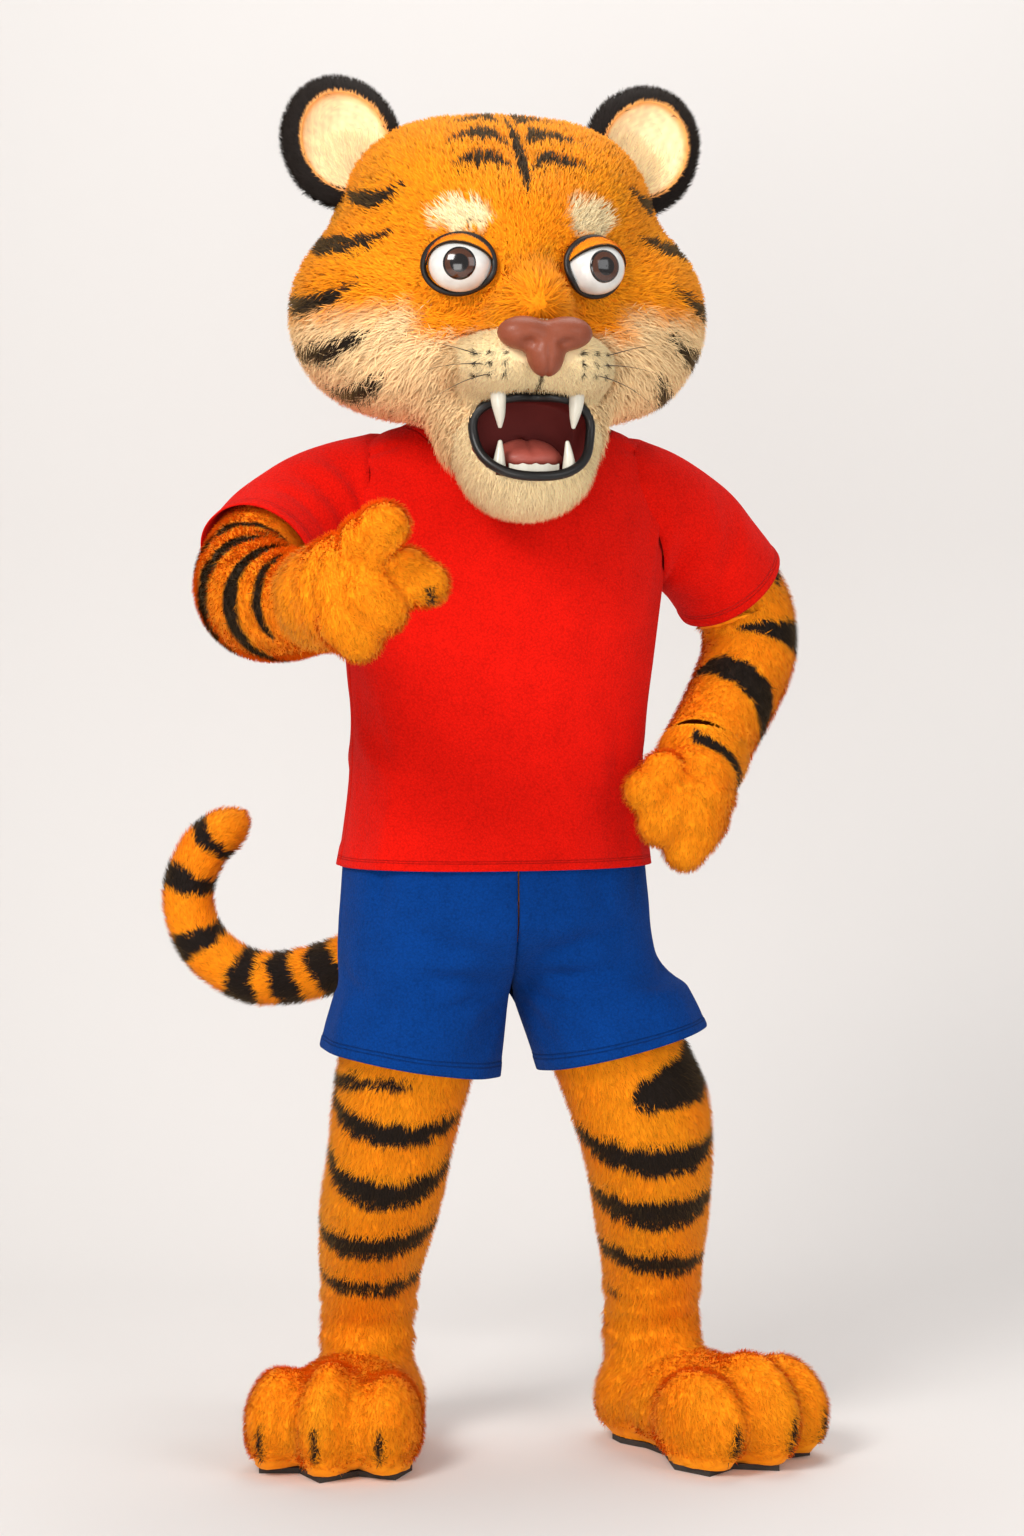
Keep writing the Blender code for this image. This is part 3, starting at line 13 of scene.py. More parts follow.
import bpy
import numpy as np
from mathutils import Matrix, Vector


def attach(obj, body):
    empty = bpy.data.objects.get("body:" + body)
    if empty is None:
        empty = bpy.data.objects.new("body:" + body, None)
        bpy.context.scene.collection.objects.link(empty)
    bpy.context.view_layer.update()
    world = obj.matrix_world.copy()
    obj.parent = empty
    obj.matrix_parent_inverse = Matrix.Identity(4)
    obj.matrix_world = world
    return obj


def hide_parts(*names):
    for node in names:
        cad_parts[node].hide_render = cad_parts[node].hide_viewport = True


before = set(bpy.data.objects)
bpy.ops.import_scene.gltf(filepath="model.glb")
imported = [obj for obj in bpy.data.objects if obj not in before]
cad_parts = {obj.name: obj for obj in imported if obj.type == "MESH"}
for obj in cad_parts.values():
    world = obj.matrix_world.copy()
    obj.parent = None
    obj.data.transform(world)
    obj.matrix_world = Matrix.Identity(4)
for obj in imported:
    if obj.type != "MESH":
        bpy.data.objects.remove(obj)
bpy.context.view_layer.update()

Array = np.ndarray
Coat = Callable[[Array, Array, Array], tuple[Array, Array]]
LOG = logging.getLogger("costume")
BODY = "root"

# Where the shoulders carry the costume, and how far the body is turned to its own left
SHOULDER_HEIGHT = 1.44
BODY_TURN = math.radians(13.0)
RIGHT, LEFT = -1, 1
LEAN = -0.013
LEAN_TOP, LEAN_FOOT = 1.25, 0.85

# Walls and gaps
SEAM_GAP = 0.0004
SUIT_FUR = 0.008
FLEECE = 0.002
SOLE_THICKNESS = 0.008
ANKLE_HEIGHT = 0.185

# Head
HEAD_AT = (-0.010, -0.055, 1.650)
MOUTH_HALF_WIDTH = 0.088
MOUTH_TOP, MOUTH_BOTTOM = -0.164, -0.270
MOUTH_NARROWING = 0.20
MOUTH_BACK = -0.160
LIP_RADIUS = 0.0065
LIP_SINK = 0.0026
LINING_WALL = 0.003
EYE_AT = (0.093, -0.196, 0.012)
EYE_HALF = (0.042, 0.030, 0.036)
EYE_TURN = math.radians(14.0)
IRIS_RADIUS = 0.022
IRIS_BULGE, IRIS_LIFT = 0.0014, 0.0005
EYE_RIM_HALF = (0.0435, 0.0375)
EYE_RIM_RADIUS, EYE_RIM_SWELL = 0.0042, 0.0022
LID_GROWTH = (0.0035, 0.0042, 0.0045)
LID_START = math.pi * 0.62
LID_EDGE, LID_SLANT = 43.0, 12.0
NOSTRIL_AT = (0.024, -0.022, 0.000)
NOSTRIL_HALF = (0.010, 0.02, 0.0065)
NOSTRIL_DEPTH = 0.007
PARTING_DEPTH, PARTING_HALF = 0.0022, 0.0028
TONGUE_GROOVE_DEPTH, TONGUE_GROOVE_HALF = 0.003, 0.005
WHISKER_BENDS = ((0.022, 0.004), (0.004, 0.012), (-0.014, 0.020))
WHISKER_REACH = 0.074
WHISKER_RADIUS = 0.00075
EAR_AT = (0.213, 0.020, 0.196)
EAR_HALF = (0.086, 0.042, 0.096)
EAR_CUP_HALF = (0.062, 0.040, 0.072)
EAR_CUP_FRONT = -0.034
EAR_LEAN = math.radians(24.0)
FACE_SEAM_DEPTH = 0.066

# Shirt neckline
NECKLINE_HALF = (0.128, 0.118)
NECKBAND_WIDTH = 0.020
NECKLINE_TILT = math.radians(24.0)
NECKLINE_DEPTH = 0.075
NECKLINE_AT = (0.0, -0.010, 1.442)
SHIRT_HEM_DEPTH = 0.030
SLEEVE_HEM_DEPTH = 0.024
SHORTS_HEM_DEPTH = 0.026
CREASE_GAIN = 1.55


class Section(NamedTuple):
    """One level ring of the torso."""

    height: float
    half_width: float
    half_depth: float
    centre_y: float


class Station(NamedTuple):
    """One ring along a limb: where its middle is, and its half sizes."""

    x: float
    y: float
    z: float
    half_wide: float
    half_deep: float


class Joint(NamedTuple):
    """One knuckle of a stuffed digit: its middle and its radius."""

    x: float
    y: float
    z: float
    radius: float


class TrouserRow(NamedTuple):
    """One row of a trouser leg: the body oval above, the leg oval below, and the share of each."""

    height: float
    body_width: float
    body_depth: float
    leg_x: float
    leg_y: float
    leg_width: float
    leg_depth: float
    leg_share: float


class Pad(NamedTuple):
    """One lump of foam: its middle, its half sizes, and whether it has a twin across the middle."""

    centre: tuple
    half: tuple
    twin: bool


TORSO = (
    Section(0.845, 0.222, 0.160, 0.000),
    Section(0.890, 0.216, 0.157, 0.000),
    Section(0.970, 0.209, 0.153, 0.000),
    Section(1.060, 0.211, 0.153, -0.002),
    Section(1.240, 0.227, 0.157, -0.004),
    Section(1.320, 0.228, 0.149, -0.002),
    Section(1.385, 0.220, 0.131, 0.002),
    Section(1.425, 0.203, 0.115, 0.004),
    Section(1.452, 0.168, 0.103, 0.002),
    Section(1.468, 0.116, 0.090, 0.000),
)
SUIT_BODY = (
    Section(0.870, 0.2060, 0.1470, 0.000),
    Section(0.970, 0.2055, 0.1495, 0.000),
    Section(1.060, 0.2084, 0.1504, -0.002),
    Section(1.240, 0.2244, 0.1544, -0.004),
    Section(1.320, 0.2254, 0.1464, -0.002),
    Section(1.385, 0.2172, 0.1282, 0.002),
    Section(1.423, 0.1980, 0.1105, 0.004),
    Section(1.442, 0.1600, 0.0990, 0.000),
    Section(1.454, 0.1270, 0.0960, -0.012),
    Section(1.485, 0.1190, 0.0960, -0.030),
    Section(1.530, 0.1180, 0.0950, -0.035),
)

SLEEVE_RIGHT = (
    Station(-0.110, 0.010, 1.362, 0.086, 0.086),
    Station(-0.190, -0.012, 1.360, 0.090, 0.090),
    Station(-0.262, -0.060, 1.335, 0.089, 0.087),
    Station(-0.310, -0.120, 1.298, 0.088, 0.085),
    Station(-0.334, -0.174, 1.267, 0.090, 0.085),
)
SLEEVE_LEFT = (
    Station(0.110, 0.030, 1.366, 0.086, 0.086),
    Station(0.185, 0.040, 1.356, 0.090, 0.088),
    Station(0.250, 0.068, 1.322, 0.088, 0.086),
    Station(0.296, 0.102, 1.280, 0.086, 0.084),
    Station(0.326, 0.130, 1.240, 0.087, 0.084),
)
ARM_RIGHT = (
    Station(-0.110, 0.010, 1.362, 0.074, 0.074),
    Station(-0.190, -0.014, 1.360, 0.078, 0.078),
    Station(-0.264, -0.062, 1.335, 0.078, 0.076),
    Station(-0.318, -0.130, 1.290, 0.079, 0.075),
    Station(-0.342, -0.210, 1.245, 0.084, 0.077),
    Station(-0.324, -0.290, 1.220, 0.084, 0.080),
    Station(-0.290, -0.360, 1.212, 0.079, 0.077),
    Station(-0.258, -0.420, 1.212, 0.072, 0.070),
    Station(-0.232, -0.468, 1.218, 0.069, 0.069),
)
ARM_LEFT = (
    Station(0.110, 0.030, 1.366, 0.072, 0.072),
    Station(0.188, 0.042, 1.354, 0.074, 0.074),
    Station(0.256, 0.072, 1.316, 0.073, 0.072),
    Station(0.312, 0.114, 1.264, 0.073, 0.072),
    Station(0.350, 0.142, 1.206, 0.075, 0.073),
    Station(0.356, 0.126, 1.144, 0.074, 0.072),
    Station(0.334, 0.078, 1.088, 0.071, 0.069),
    Station(0.306, 0.022, 1.040, 0.069, 0.066),
    Station(0.282, -0.026, 1.002, 0.069, 0.065),
)
FINGERS_RIGHT = {
    "index": (
        Joint(-0.196, -0.545, 1.265, 0.039),
        Joint(-0.169, -0.588, 1.287, 0.041),
        Joint(-0.146, -0.622, 1.305, 0.038),
    ),
    "middle": (
        Joint(-0.200, -0.545, 1.238, 0.038),
        Joint(-0.166, -0.585, 1.222, 0.041),
        Joint(-0.150, -0.586, 1.204, 0.039),
    ),
    "little": (
        Joint(-0.222, -0.530, 1.205, 0.038),
        Joint(-0.197, -0.568, 1.190, 0.041),
        Joint(-0.180, -0.568, 1.171, 0.038),
    ),
    "thumb": (
        Joint(-0.158, -0.538, 1.250, 0.034),
        Joint(-0.120, -0.555, 1.252, 0.036),
        Joint(-0.096, -0.562, 1.236, 0.035),
    ),
}
FINGERS_LEFT = {
    "index": (
        Joint(0.256, -0.090, 0.984, 0.033),
        Joint(0.222, -0.128, 0.980, 0.036),
        Joint(0.196, -0.144, 0.956, 0.036),
    ),
    "middle": (
        Joint(0.268, -0.094, 0.944, 0.033),
        Joint(0.238, -0.130, 0.934, 0.037),
        Joint(0.216, -0.140, 0.910, 0.036),
    ),
    "little": (
        Joint(0.284, -0.082, 0.914, 0.034),
        Joint(0.268, -0.112, 0.896, 0.038),
        Joint(0.252, -0.120, 0.874, 0.036),
    ),
}
TAIL = (
    Station(-0.030, 0.120, 0.800, 0.046, 0.046),
    Station(-0.085, 0.190, 0.770, 0.046, 0.046),
    Station(-0.170, 0.232, 0.715, 0.045, 0.045),
    Station(-0.270, 0.256, 0.668, 0.044, 0.044),
    Station(-0.372, 0.264, 0.656, 0.044, 0.044),
    Station(-0.446, 0.262, 0.704, 0.043, 0.043),
    Station(-0.470, 0.258, 0.778, 0.042, 0.042),
    Station(-0.448, 0.252, 0.844, 0.041, 0.041),
    Station(-0.410, 0.248, 0.880, 0.038, 0.038),
)
SUIT_LEGS = {
    RIGHT: (
        TrouserRow(0.8696, 0.2058, 0.1469, -0.105, -0.020, 0.100, 0.110, 0.0),
        TrouserRow(0.805, 0.2060, 0.1480, -0.105, -0.022, 0.102, 0.112, 0.0),
        TrouserRow(0.750, 0.2050, 0.1450, -0.104, -0.024, 0.101, 0.108, 0.35),
        TrouserRow(0.702, 0.2050, 0.1450, -0.108, -0.028, 0.099, 0.100, 1.0),
        TrouserRow(0.620, 0.2050, 0.1450, -0.122, -0.026, 0.104, 0.102, 1.0),
        TrouserRow(0.530, 0.2050, 0.1450, -0.143, -0.022, 0.100, 0.097, 1.0),
        TrouserRow(0.440, 0.2050, 0.1450, -0.160, -0.014, 0.092, 0.090, 1.0),
        TrouserRow(0.370, 0.2050, 0.1450, -0.172, 0.002, 0.090, 0.088, 1.0),
        TrouserRow(0.300, 0.2050, 0.1450, -0.184, 0.030, 0.083, 0.084, 1.0),
        TrouserRow(0.240, 0.2050, 0.1450, -0.192, 0.062, 0.074, 0.079, 1.0),
        TrouserRow(0.170, 0.2050, 0.1450, -0.197, 0.092, 0.072, 0.078, 1.0),
    ),
    LEFT: (
        TrouserRow(0.8696, 0.2058, 0.1469, 0.105, 0.024, 0.100, 0.110, 0.0),
        TrouserRow(0.805, 0.2060, 0.1480, 0.105, 0.026, 0.102, 0.112, 0.0),
        TrouserRow(0.750, 0.2050, 0.1450, 0.106, 0.027, 0.102, 0.108, 0.35),
        TrouserRow(0.702, 0.2050, 0.1450, 0.110, 0.024, 0.104, 0.105, 1.0),
        TrouserRow(0.620, 0.2050, 0.1450, 0.143, 0.018, 0.107, 0.103, 1.0),
        TrouserRow(0.530, 0.2050, 0.1450, 0.184, 0.008, 0.108, 0.100, 1.0),
        TrouserRow(0.460, 0.2050, 0.1450, 0.201, 0.008, 0.100, 0.094, 1.0),
        TrouserRow(0.400, 0.2050, 0.1450, 0.209, 0.018, 0.092, 0.090, 1.0),
        TrouserRow(0.320, 0.2050, 0.1450, 0.213, 0.048, 0.083, 0.085, 1.0),
        TrouserRow(0.250, 0.2050, 0.1450, 0.215, 0.080, 0.075, 0.080, 1.0),
        TrouserRow(0.170, 0.2050, 0.1450, 0.215, 0.105, 0.072, 0.078, 1.0),
    ),
}
SHORTS = {
    RIGHT: (
        TrouserRow(0.862, 0.2125, 0.1545, -0.105, -0.020, 0.110, 0.126, 0.0),
        TrouserRow(0.820, 0.2160, 0.1565, -0.106, -0.021, 0.114, 0.130, 0.0),
        TrouserRow(0.770, 0.2195, 0.1570, -0.107, -0.022, 0.118, 0.132, 0.0),
        TrouserRow(0.715, 0.2240, 0.1560, -0.109, -0.024, 0.119, 0.132, 0.30),
        TrouserRow(0.668, 0.2250, 0.1540, -0.112, -0.026, 0.1195, 0.130, 0.80),
        TrouserRow(0.640, 0.2250, 0.1540, -0.117, -0.027, 0.1220, 0.128, 1.0),
        TrouserRow(0.590, 0.2250, 0.1540, -0.125, -0.027, 0.1250, 0.128, 1.0),
        TrouserRow(0.547, 0.2250, 0.1540, -0.131, -0.026, 0.1260, 0.127, 1.0),
    ),
    LEFT: (
        TrouserRow(0.862, 0.2125, 0.1545, 0.105, 0.024, 0.110, 0.126, 0.0),
        TrouserRow(0.820, 0.2160, 0.1565, 0.107, 0.025, 0.114, 0.130, 0.0),
        TrouserRow(0.770, 0.2195, 0.1570, 0.110, 0.026, 0.118, 0.132, 0.0),
        TrouserRow(0.715, 0.2240, 0.1560, 0.120, 0.027, 0.120, 0.132, 0.30),
        TrouserRow(0.668, 0.2250, 0.1540, 0.131, 0.024, 0.1210, 0.130, 0.80),
        TrouserRow(0.640, 0.2250, 0.1540, 0.141, 0.021, 0.1220, 0.128, 1.0),
        TrouserRow(0.595, 0.2250, 0.1540, 0.156, 0.016, 0.1210, 0.128, 1.0),
        TrouserRow(0.553, 0.2250, 0.1540, 0.168, 0.012, 0.1190, 0.126, 1.0),
    ),
}
WAISTBAND = (
    Section(0.8625, 0.2124, 0.1544, 0.0),
    Section(0.8930, 0.2110, 0.1530, 0.0),
)
SHORTS_LEG_RISE = {RIGHT: 0.12, LEFT: 0.18}

HEAD_SOFTNESS = 0.012
HEAD_PADS = (
    Pad((0.0, 0.020, 0.028), (0.234, 0.225, 0.216), False),
    Pad((0.085, 0.0, 0.105), (0.130, 0.170, 0.125), True),
    Pad((0.176, -0.018, -0.040), (0.120, 0.138, 0.134), True),
    Pad((0.115, -0.070, -0.110), (0.130, 0.120, 0.086), True),
    Pad((0.0, -0.110, 0.070), (0.135, 0.110, 0.085), False),
    Pad((0.0, -0.175, -0.035), (0.064, 0.108, 0.066), False),
    Pad((0.050, -0.216, -0.122), (0.068, 0.082, 0.050), True),
    Pad((0.0, -0.180, -0.255), (0.100, 0.080, 0.080), False),
    Pad((0.072, -0.140, -0.190), (0.052, 0.078, 0.075), True),
)
NOSE_CENTRE = (0.0, -0.293, -0.098)
NOSE_SOFTNESS = 0.006
NOSE_PADS = (
    Pad((0.030, 0.0, 0.014), (0.034, 0.026, 0.022), True),
    Pad((0.0, -0.004, -0.016), (0.024, 0.024, 0.028), False),
)
TONGUE_CENTRE = (0.0, -0.195, -0.244)
TONGUE_PADS = (
    Pad((0.0, -0.200, -0.246), (0.046, 0.032, 0.018), False),
    Pad((0.0, -0.184, -0.238), (0.040, 0.022, 0.020), False),
)
UPPER_FANG = (
    Station(0.054, -0.250, -0.152, 0.011, 0.011),
    Station(0.053, -0.251, -0.172, 0.010, 0.010),
    Station(0.051, -0.250, -0.190, 0.007, 0.007),
    Station(0.050, -0.247, -0.204, 0.003, 0.003),
)
LOWER_FANG = (
    Station(0.048, -0.230, -0.278, 0.010, 0.010),
    Station(0.048, -0.232, -0.256, 0.009, 0.009),
    Station(0.047, -0.232, -0.238, 0.006, 0.006),
    Station(0.046, -0.230, -0.224, 0.003, 0.003),
)
COVERS = {
    "muzzle": (0.110, 0.0560, -0.1230, -0.110),
    "jaw": (0.108, 0.0830, -0.2625, -0.080),
}

BOOT_CENTRE = (0.0, -0.060, 0.070)
BOOT_PADS = (
    Pad((0.0, 0.0, 0.062), (0.088, 0.086, 0.080), False),
    Pad((0.0, 0.0, 0.160), (0.070, 0.076, 0.130), False),
    Pad((0.0, -0.090, 0.068), (0.098, 0.115, 0.080), False),
    Pad((0.0, -0.160, 0.062), (0.108, 0.085, 0.074), False),
)
TOES = {
    "middle": Pad((0.0, -0.212, 0.072), (0.050, 0.092, 0.088), False),
    "inner": Pad((0.080, -0.190, 0.066), (0.049, 0.088, 0.080), False),
    "outer": Pad((-0.080, -0.190, 0.066), (0.049, 0.088, 0.080), False),
}
BOOT_AT = {RIGHT: (-0.197, 0.090, 0.0), LEFT: (0.215, 0.104, 0.0)}
BOOT_TURN = {RIGHT: math.radians(-12.0), LEFT: math.radians(40.0)}


NUDGE = 1e-4
CAST_STEPS, CAST_SHARE, FAR_OUT = 60, 0.8, 0.60
TORSO_SQUARENESS = 2.35
LEG_RISE_START = 0.72
SEED = 11


class Crease(NamedTuple):
    """One fold of worn cloth between two places in shares of the panel. A trough's depth is below nought."""

    u_from: float
    v_from: float
    u_to: float
    v_to: float
    half_width: float
    depth: float


class Band(NamedTuple):
    """One dark stripe part of the way round a limb.

    at is its height or its share along the limb, middle and half_span are degrees round it, sag lifts both
    ends and tilt lifts the end with more degrees.
    """

    at: float
    half: float
    middle: float
    half_span: float
    sag: float
    tilt: float


class Stroke(NamedTuple):
    """A dark stroke, the same on both sides of the head: degrees from the front, heights and half width."""

    start: tuple[float, float]
    bend: tuple[float, float]
    end: tuple[float, float]
    half: float


def along(rows: Sequence[Sequence[float]], share: Array) -> Array:
    """A table's columns at each share of its length, on a Catmull-Rom curve through its rows.

    Args:
        rows: The table.
        share: Shares from 0 at the first row to 1 at the last.

    Returns:
        The columns, in a last axis added to share's.
    """
    table = np.array(rows, float)
    last = len(table) - 1
    spot = np.clip(share, 0.0, 1.0) * last
    row = np.minimum(spot.astype(int), last - 1)
    part = (spot - row)[..., None]
    before, here, after, beyond = (table[np.clip(row + step, 0, last)] for step in (-1, 0, 1, 2))
    bend = 2 * before - 5 * here + 4 * after - beyond
    cube = 3 * here - before - 3 * after + beyond
    return 0.5 * (2 * here + (after - before) * part + bend * part**2 + cube * part**3)


def turned(points: Array, angle: float) -> Array:
    """Points turned about the vertical through the origin."""
    cosine, sine = math.cos(angle), math.sin(angle)
    x, y = points[..., 0], points[..., 1]
    return np.stack([x * cosine - y * sine, x * sine + y * cosine, points[..., 2]], axis=-1)


def tipped(points: Array, angle: float) -> Array:
    """Points turned about the Y axis, so that what stands up tips towards +X."""
    cosine, sine = math.cos(angle), math.sin(angle)
    x, z = points[..., 0], points[..., 2]
    return np.stack([x * cosine + z * sine, points[..., 1], z * cosine - x * sine], axis=-1)


def unit(vectors: Array) -> Array:
    """Vectors of the same ways, one long."""
    return vectors / np.maximum(np.linalg.norm(vectors, axis=-1, keepdims=True), 1e-9)


def soft_step(value: Array, low: float, high: float) -> Array:
    """0 up to low, 1 past high, and a smooth rise between them."""
    share = np.clip((value - low) / (high - low), 0.0, 1.0)
    return share * share * (3.0 - 2.0 * share)


def leaning(height: Array) -> Array:
    """How far a level of the body stands to one side of the shoulders."""
    return LEAN * np.clip((LEAN_TOP - height) / (LEAN_TOP - LEAN_FOOT), 0.0, 1.0)


def rounded(wave: Array, squareness: float) -> Array:
    """A sine or cosine drawn out so that its oval is squarer than an ellipse."""
    return np.sign(wave) * np.abs(wave) ** (2.0 / squareness)


def ripple(points: Array, wave: float, seed: int) -> Array:
    """Uneven ups and downs from -1 to 1 over a surface: six added sines, with lengths near wave."""
    dice = np.random.default_rng(seed)
    ways = unit(dice.normal(size=(6, 3))) * (2 * math.pi / wave) * dice.uniform(0.6, 1.5, (6, 1))
    return np.sin(points @ ways.T + dice.uniform(0, 2 * math.pi, 6)).sum(axis=-1) / 3.5


class Form:
    """A surface as a function of two shares: u goes round it and v goes along it."""

    facing: float = 1.0

    def points(self, u: Array, v: Array) -> Array:
        """The surface's points above the floor at the shares u and v."""
        raise NotImplementedError

    def normals(self, u: Array, v: Array) -> Array:
        """Unit vectors out of the surface: the cross product of its slopes along u and along v."""
        along_u = self.points(u + NUDGE, v) - self.points(u - NUDGE, v)
        along_v = self.points(u, np.minimum(v + NUDGE, 1.0)) - self.points(u, np.maximum(v - NUDGE, 0.0))
        return unit(np.cross(along_u, along_v)) * self.facing


@dataclass(frozen=True)
class TorsoForm(Form):
    """Level superellipses up a torso. u goes round from the costume's left by way of the back, v goes up."""

    rows: tuple

    def points(self, u: Array, v: Array) -> Array:
        """x = half width * cos, y = half depth * sin, both drawn squarer, turned and leaned with the body."""
        height, half_width, half_depth, centre_y = np.moveaxis(along(self.rows, v), -1, 0)
        angle = 2 * math.pi * u
        x = half_width * rounded(np.cos(angle), TORSO_SQUARENESS)
        y = centre_y + half_depth * rounded(np.sin(angle), TORSO_SQUARENESS)
        ring = turned(np.stack([x, y, height], axis=-1), BODY_TURN)
        ring[..., 0] += leaning(height)
        return ring


@dataclass(frozen=True)
class LimbForm(Form):
    """Rings along a line of stations. u goes round each ring from the reference's side, and v along them."""

    stations: tuple
    reference: tuple[float, float, float]

    def points(self, u: Array, v: Array) -> Array:
        """Middle + side * cos * half wide + over * sin * half deep, with side and over square to the line."""
        ring = along(self.stations, v)
        ahead = along(self.stations, np.minimum(v + NUDGE, 1.0))[..., :3]
        behind = along(self.stations, np.maximum(v - NUDGE, 0.0))[..., :3]
        way = unit(ahead - behind)
        reference = np.array(self.reference, float)
        side = unit(reference - (way @ reference)[..., None] * way)
        over = np.cross(way, side)
        angle = (2 * math.pi * u)[..., None]
        return ring[..., :3] + side * np.cos(angle) * ring[..., 3:4] + over * np.sin(angle) * ring[..., 4:5]


@dataclass(frozen=True)
class TrouserForm(Form):
    """Half of trousers. u goes from the front seam (0) by the side (1) to the back seam (2), v down."""

    rows: tuple
    side: int
    hem_rise: float = 0.0

    @property
    def facing(self) -> float:
        """u x v points in on the costume's left and out on the right."""
        return float(-self.side)

    def points(self, u: Array, v: Array) -> Array:
        """Half of the body's oval above the crotch, the leg's oval below it, and a share of each between."""
        columns = np.moveaxis(along(self.rows, v), -1, 0)
        height, body_width, body_depth, leg_x, leg_y, leg_width, leg_depth, share = columns
        body_angle = u * math.pi / 2
        body_x = self.side * (body_width * rounded(np.sin(body_angle), TORSO_SQUARENESS) + SEAM_GAP / 2)
        body_y = -body_depth * rounded(np.cos(body_angle), TORSO_SQUARENESS)
        body = turned(np.stack([body_x, body_y, height], axis=-1), BODY_TURN)
        body[..., 0] += leaning(height)
        leg_angle = u * math.pi
        x = leg_x - self.side * leg_width * np.cos(leg_angle)
        y = leg_y - leg_depth * np.sin(leg_angle)
        across = (self.side * (x - leg_x) + leg_width) / leg_width
        lift = self.hem_rise * np.clip(LEG_RISE_START - height, 0.0, 1.0) * across
        leg = np.stack([x, y, height + lift], axis=-1)
        share = np.clip(share, 0.0, 1.0)[..., None]
        return body * (1 - share) + leg * share


def padded_distance(points: Array, pads: Sequence[Pad], softness: float) -> Array:
    """Signed distance from points to melted lumps of foam: a soft least of each lump's own distance."""
    rows = [(pad.centre, pad.half) for pad in pads]
    rows += [((-pad.centre[0], *pad.centre[1:]), pad.half) for pad in pads if pad.twin]
    centre, half = (np.array(column) for column in zip(*rows))
    offset = points[..., None, :] - centre
    scaled = np.linalg.norm(offset / half, axis=-1)
    slope = np.maximum(np.linalg.norm(offset / half**2, axis=-1), 1e-9)
    each = scaled * (scaled - 1.0) / slope
    least = each.min(axis=-1, keepdims=True)
    return least[..., 0] - softness * np.log(np.exp((least - each) / softness).sum(axis=-1))


@dataclass(frozen=True)
class PaddedForm(Form):
    """Lumps of foam under one cover. u goes round the vertical through the centre, v from foot to top."""

    pads: tuple
    centre: tuple[float, float, float]
    softness: float
    at: tuple[float, float, float] = (0.0, 0.0, 0.0)
    turn: float = 0.0

    def local(self, u: Array, v: Array) -> Array:
        """Each ray from the centre is followed in from far out until it meets the cover."""
        turn, rise = 2 * math.pi * u, math.pi * (v - 0.5)
        ways = np.stack([np.cos(rise) * np.sin(turn), -np.cos(rise) * np.cos(turn), np.sin(rise)], axis=-1)
        reach = np.full(u.shape, FAR_OUT)
        for _ in range(CAST_STEPS):
            spots = np.array(self.centre) + ways * reach[..., None]
            reach = np.maximum(reach - CAST_SHARE * padded_distance(spots, self.pads, self.softness), 0.002)
        return np.array(self.centre) + ways * reach[..., None]

    def normals_at(self, spots: Array) -> Array:
        """Out of the cover at local points: the slope of the distance along each axis."""
        steps = np.eye(3) * 5e-4
        slopes = [
            padded_distance(spots + step, self.pads, self.softness)
            - padded_distance(spots - step, self.pads, self.softness)
            for step in steps
        ]
        return unit(np.stack(slopes, axis=-1))

    def placed(self, spots: Array) -> Array:
        """Local points turned and put in their place."""
        return turned(spots, self.turn) + np.array(self.at)


def lowered(points: Array) -> Array:
    """Points above the floor, put in the part's frame."""
    return points - np.array([0.0, 0.0, SHOULDER_HEIGHT])


def even(start: float, stop: float, count: int, edge: float = 0.0) -> Array:
    """Shares from start to stop, with two more close to each end where edge is given."""
    shares = np.linspace(start, stop, count)
    if edge > 0.0:
        near = np.array([edge, 2.2 * edge])
        shares = np.unique(np.concatenate([shares, start + near, stop - near]))
    return shares


@dataclass
class Patch:
    """A grid of points over a surface. Where it goes all round, its last column repeats its first."""

    u: Array
    v: Array
    points: Array
    normals: Array
    closed: bool = False
    keep: Array | None = None
    facing: float = 1.0

    @classmethod
    def over(cls, form: Form, u: Array, v: Array, closed: bool = False) -> "Patch":
        """A patch over a form at each pair of the shares in u and v."""
        grid_u, grid_v = np.meshgrid(u, v) if u.ndim == 1 else (u, v)
        return cls(
            grid_u, grid_v, form.points(grid_u, grid_v), form.normals(grid_u, grid_v), closed, None,
            form.facing,
        )

    def moved(self, distance: Array | float) -> Array:
        """The points moved out along their normals."""
        return self.points + self.normals * np.broadcast_to(distance, self.u.shape)[..., None]

    def cells(self) -> Array:
        """Corner indices of each kept cell, counter-clockwise from outside, the seam's columns unmerged."""
        rows, columns = self.u.shape
        row, column = np.meshgrid(np.arange(rows - 1), np.arange(columns - 1), indexing="ij")
        if self.keep is not None:
            row, column = row[self.keep], column[self.keep]
        near = (row * columns + column).ravel()
        quads = np.stack([near, near + 1, near + columns + 1, near + columns], axis=1)
        return quads if self.facing > 0 else quads[:, ::-1]

    def merged(self, cells: Array) -> Array:
        """The same cells with the seam's last column joined to its first."""
        if not self.closed:
            return cells
        columns = self.u.shape[1]
        return cells - np.where(cells % columns == columns - 1, columns - 1, 0)


def rims(quads: Array, count: int) -> Array:
    """Quads that close a wall, from each edge that only one outer quad has to the inner points, count on."""
    first = quads.ravel()
    second = np.roll(quads, -1, axis=1).ravel()
    size = int(quads.max()) + 1
    single = ~np.isin(first * size + second, second * size + first)
    first, second = first[single], second[single]
    return np.stack([second, first, first + count, second + count], axis=1)


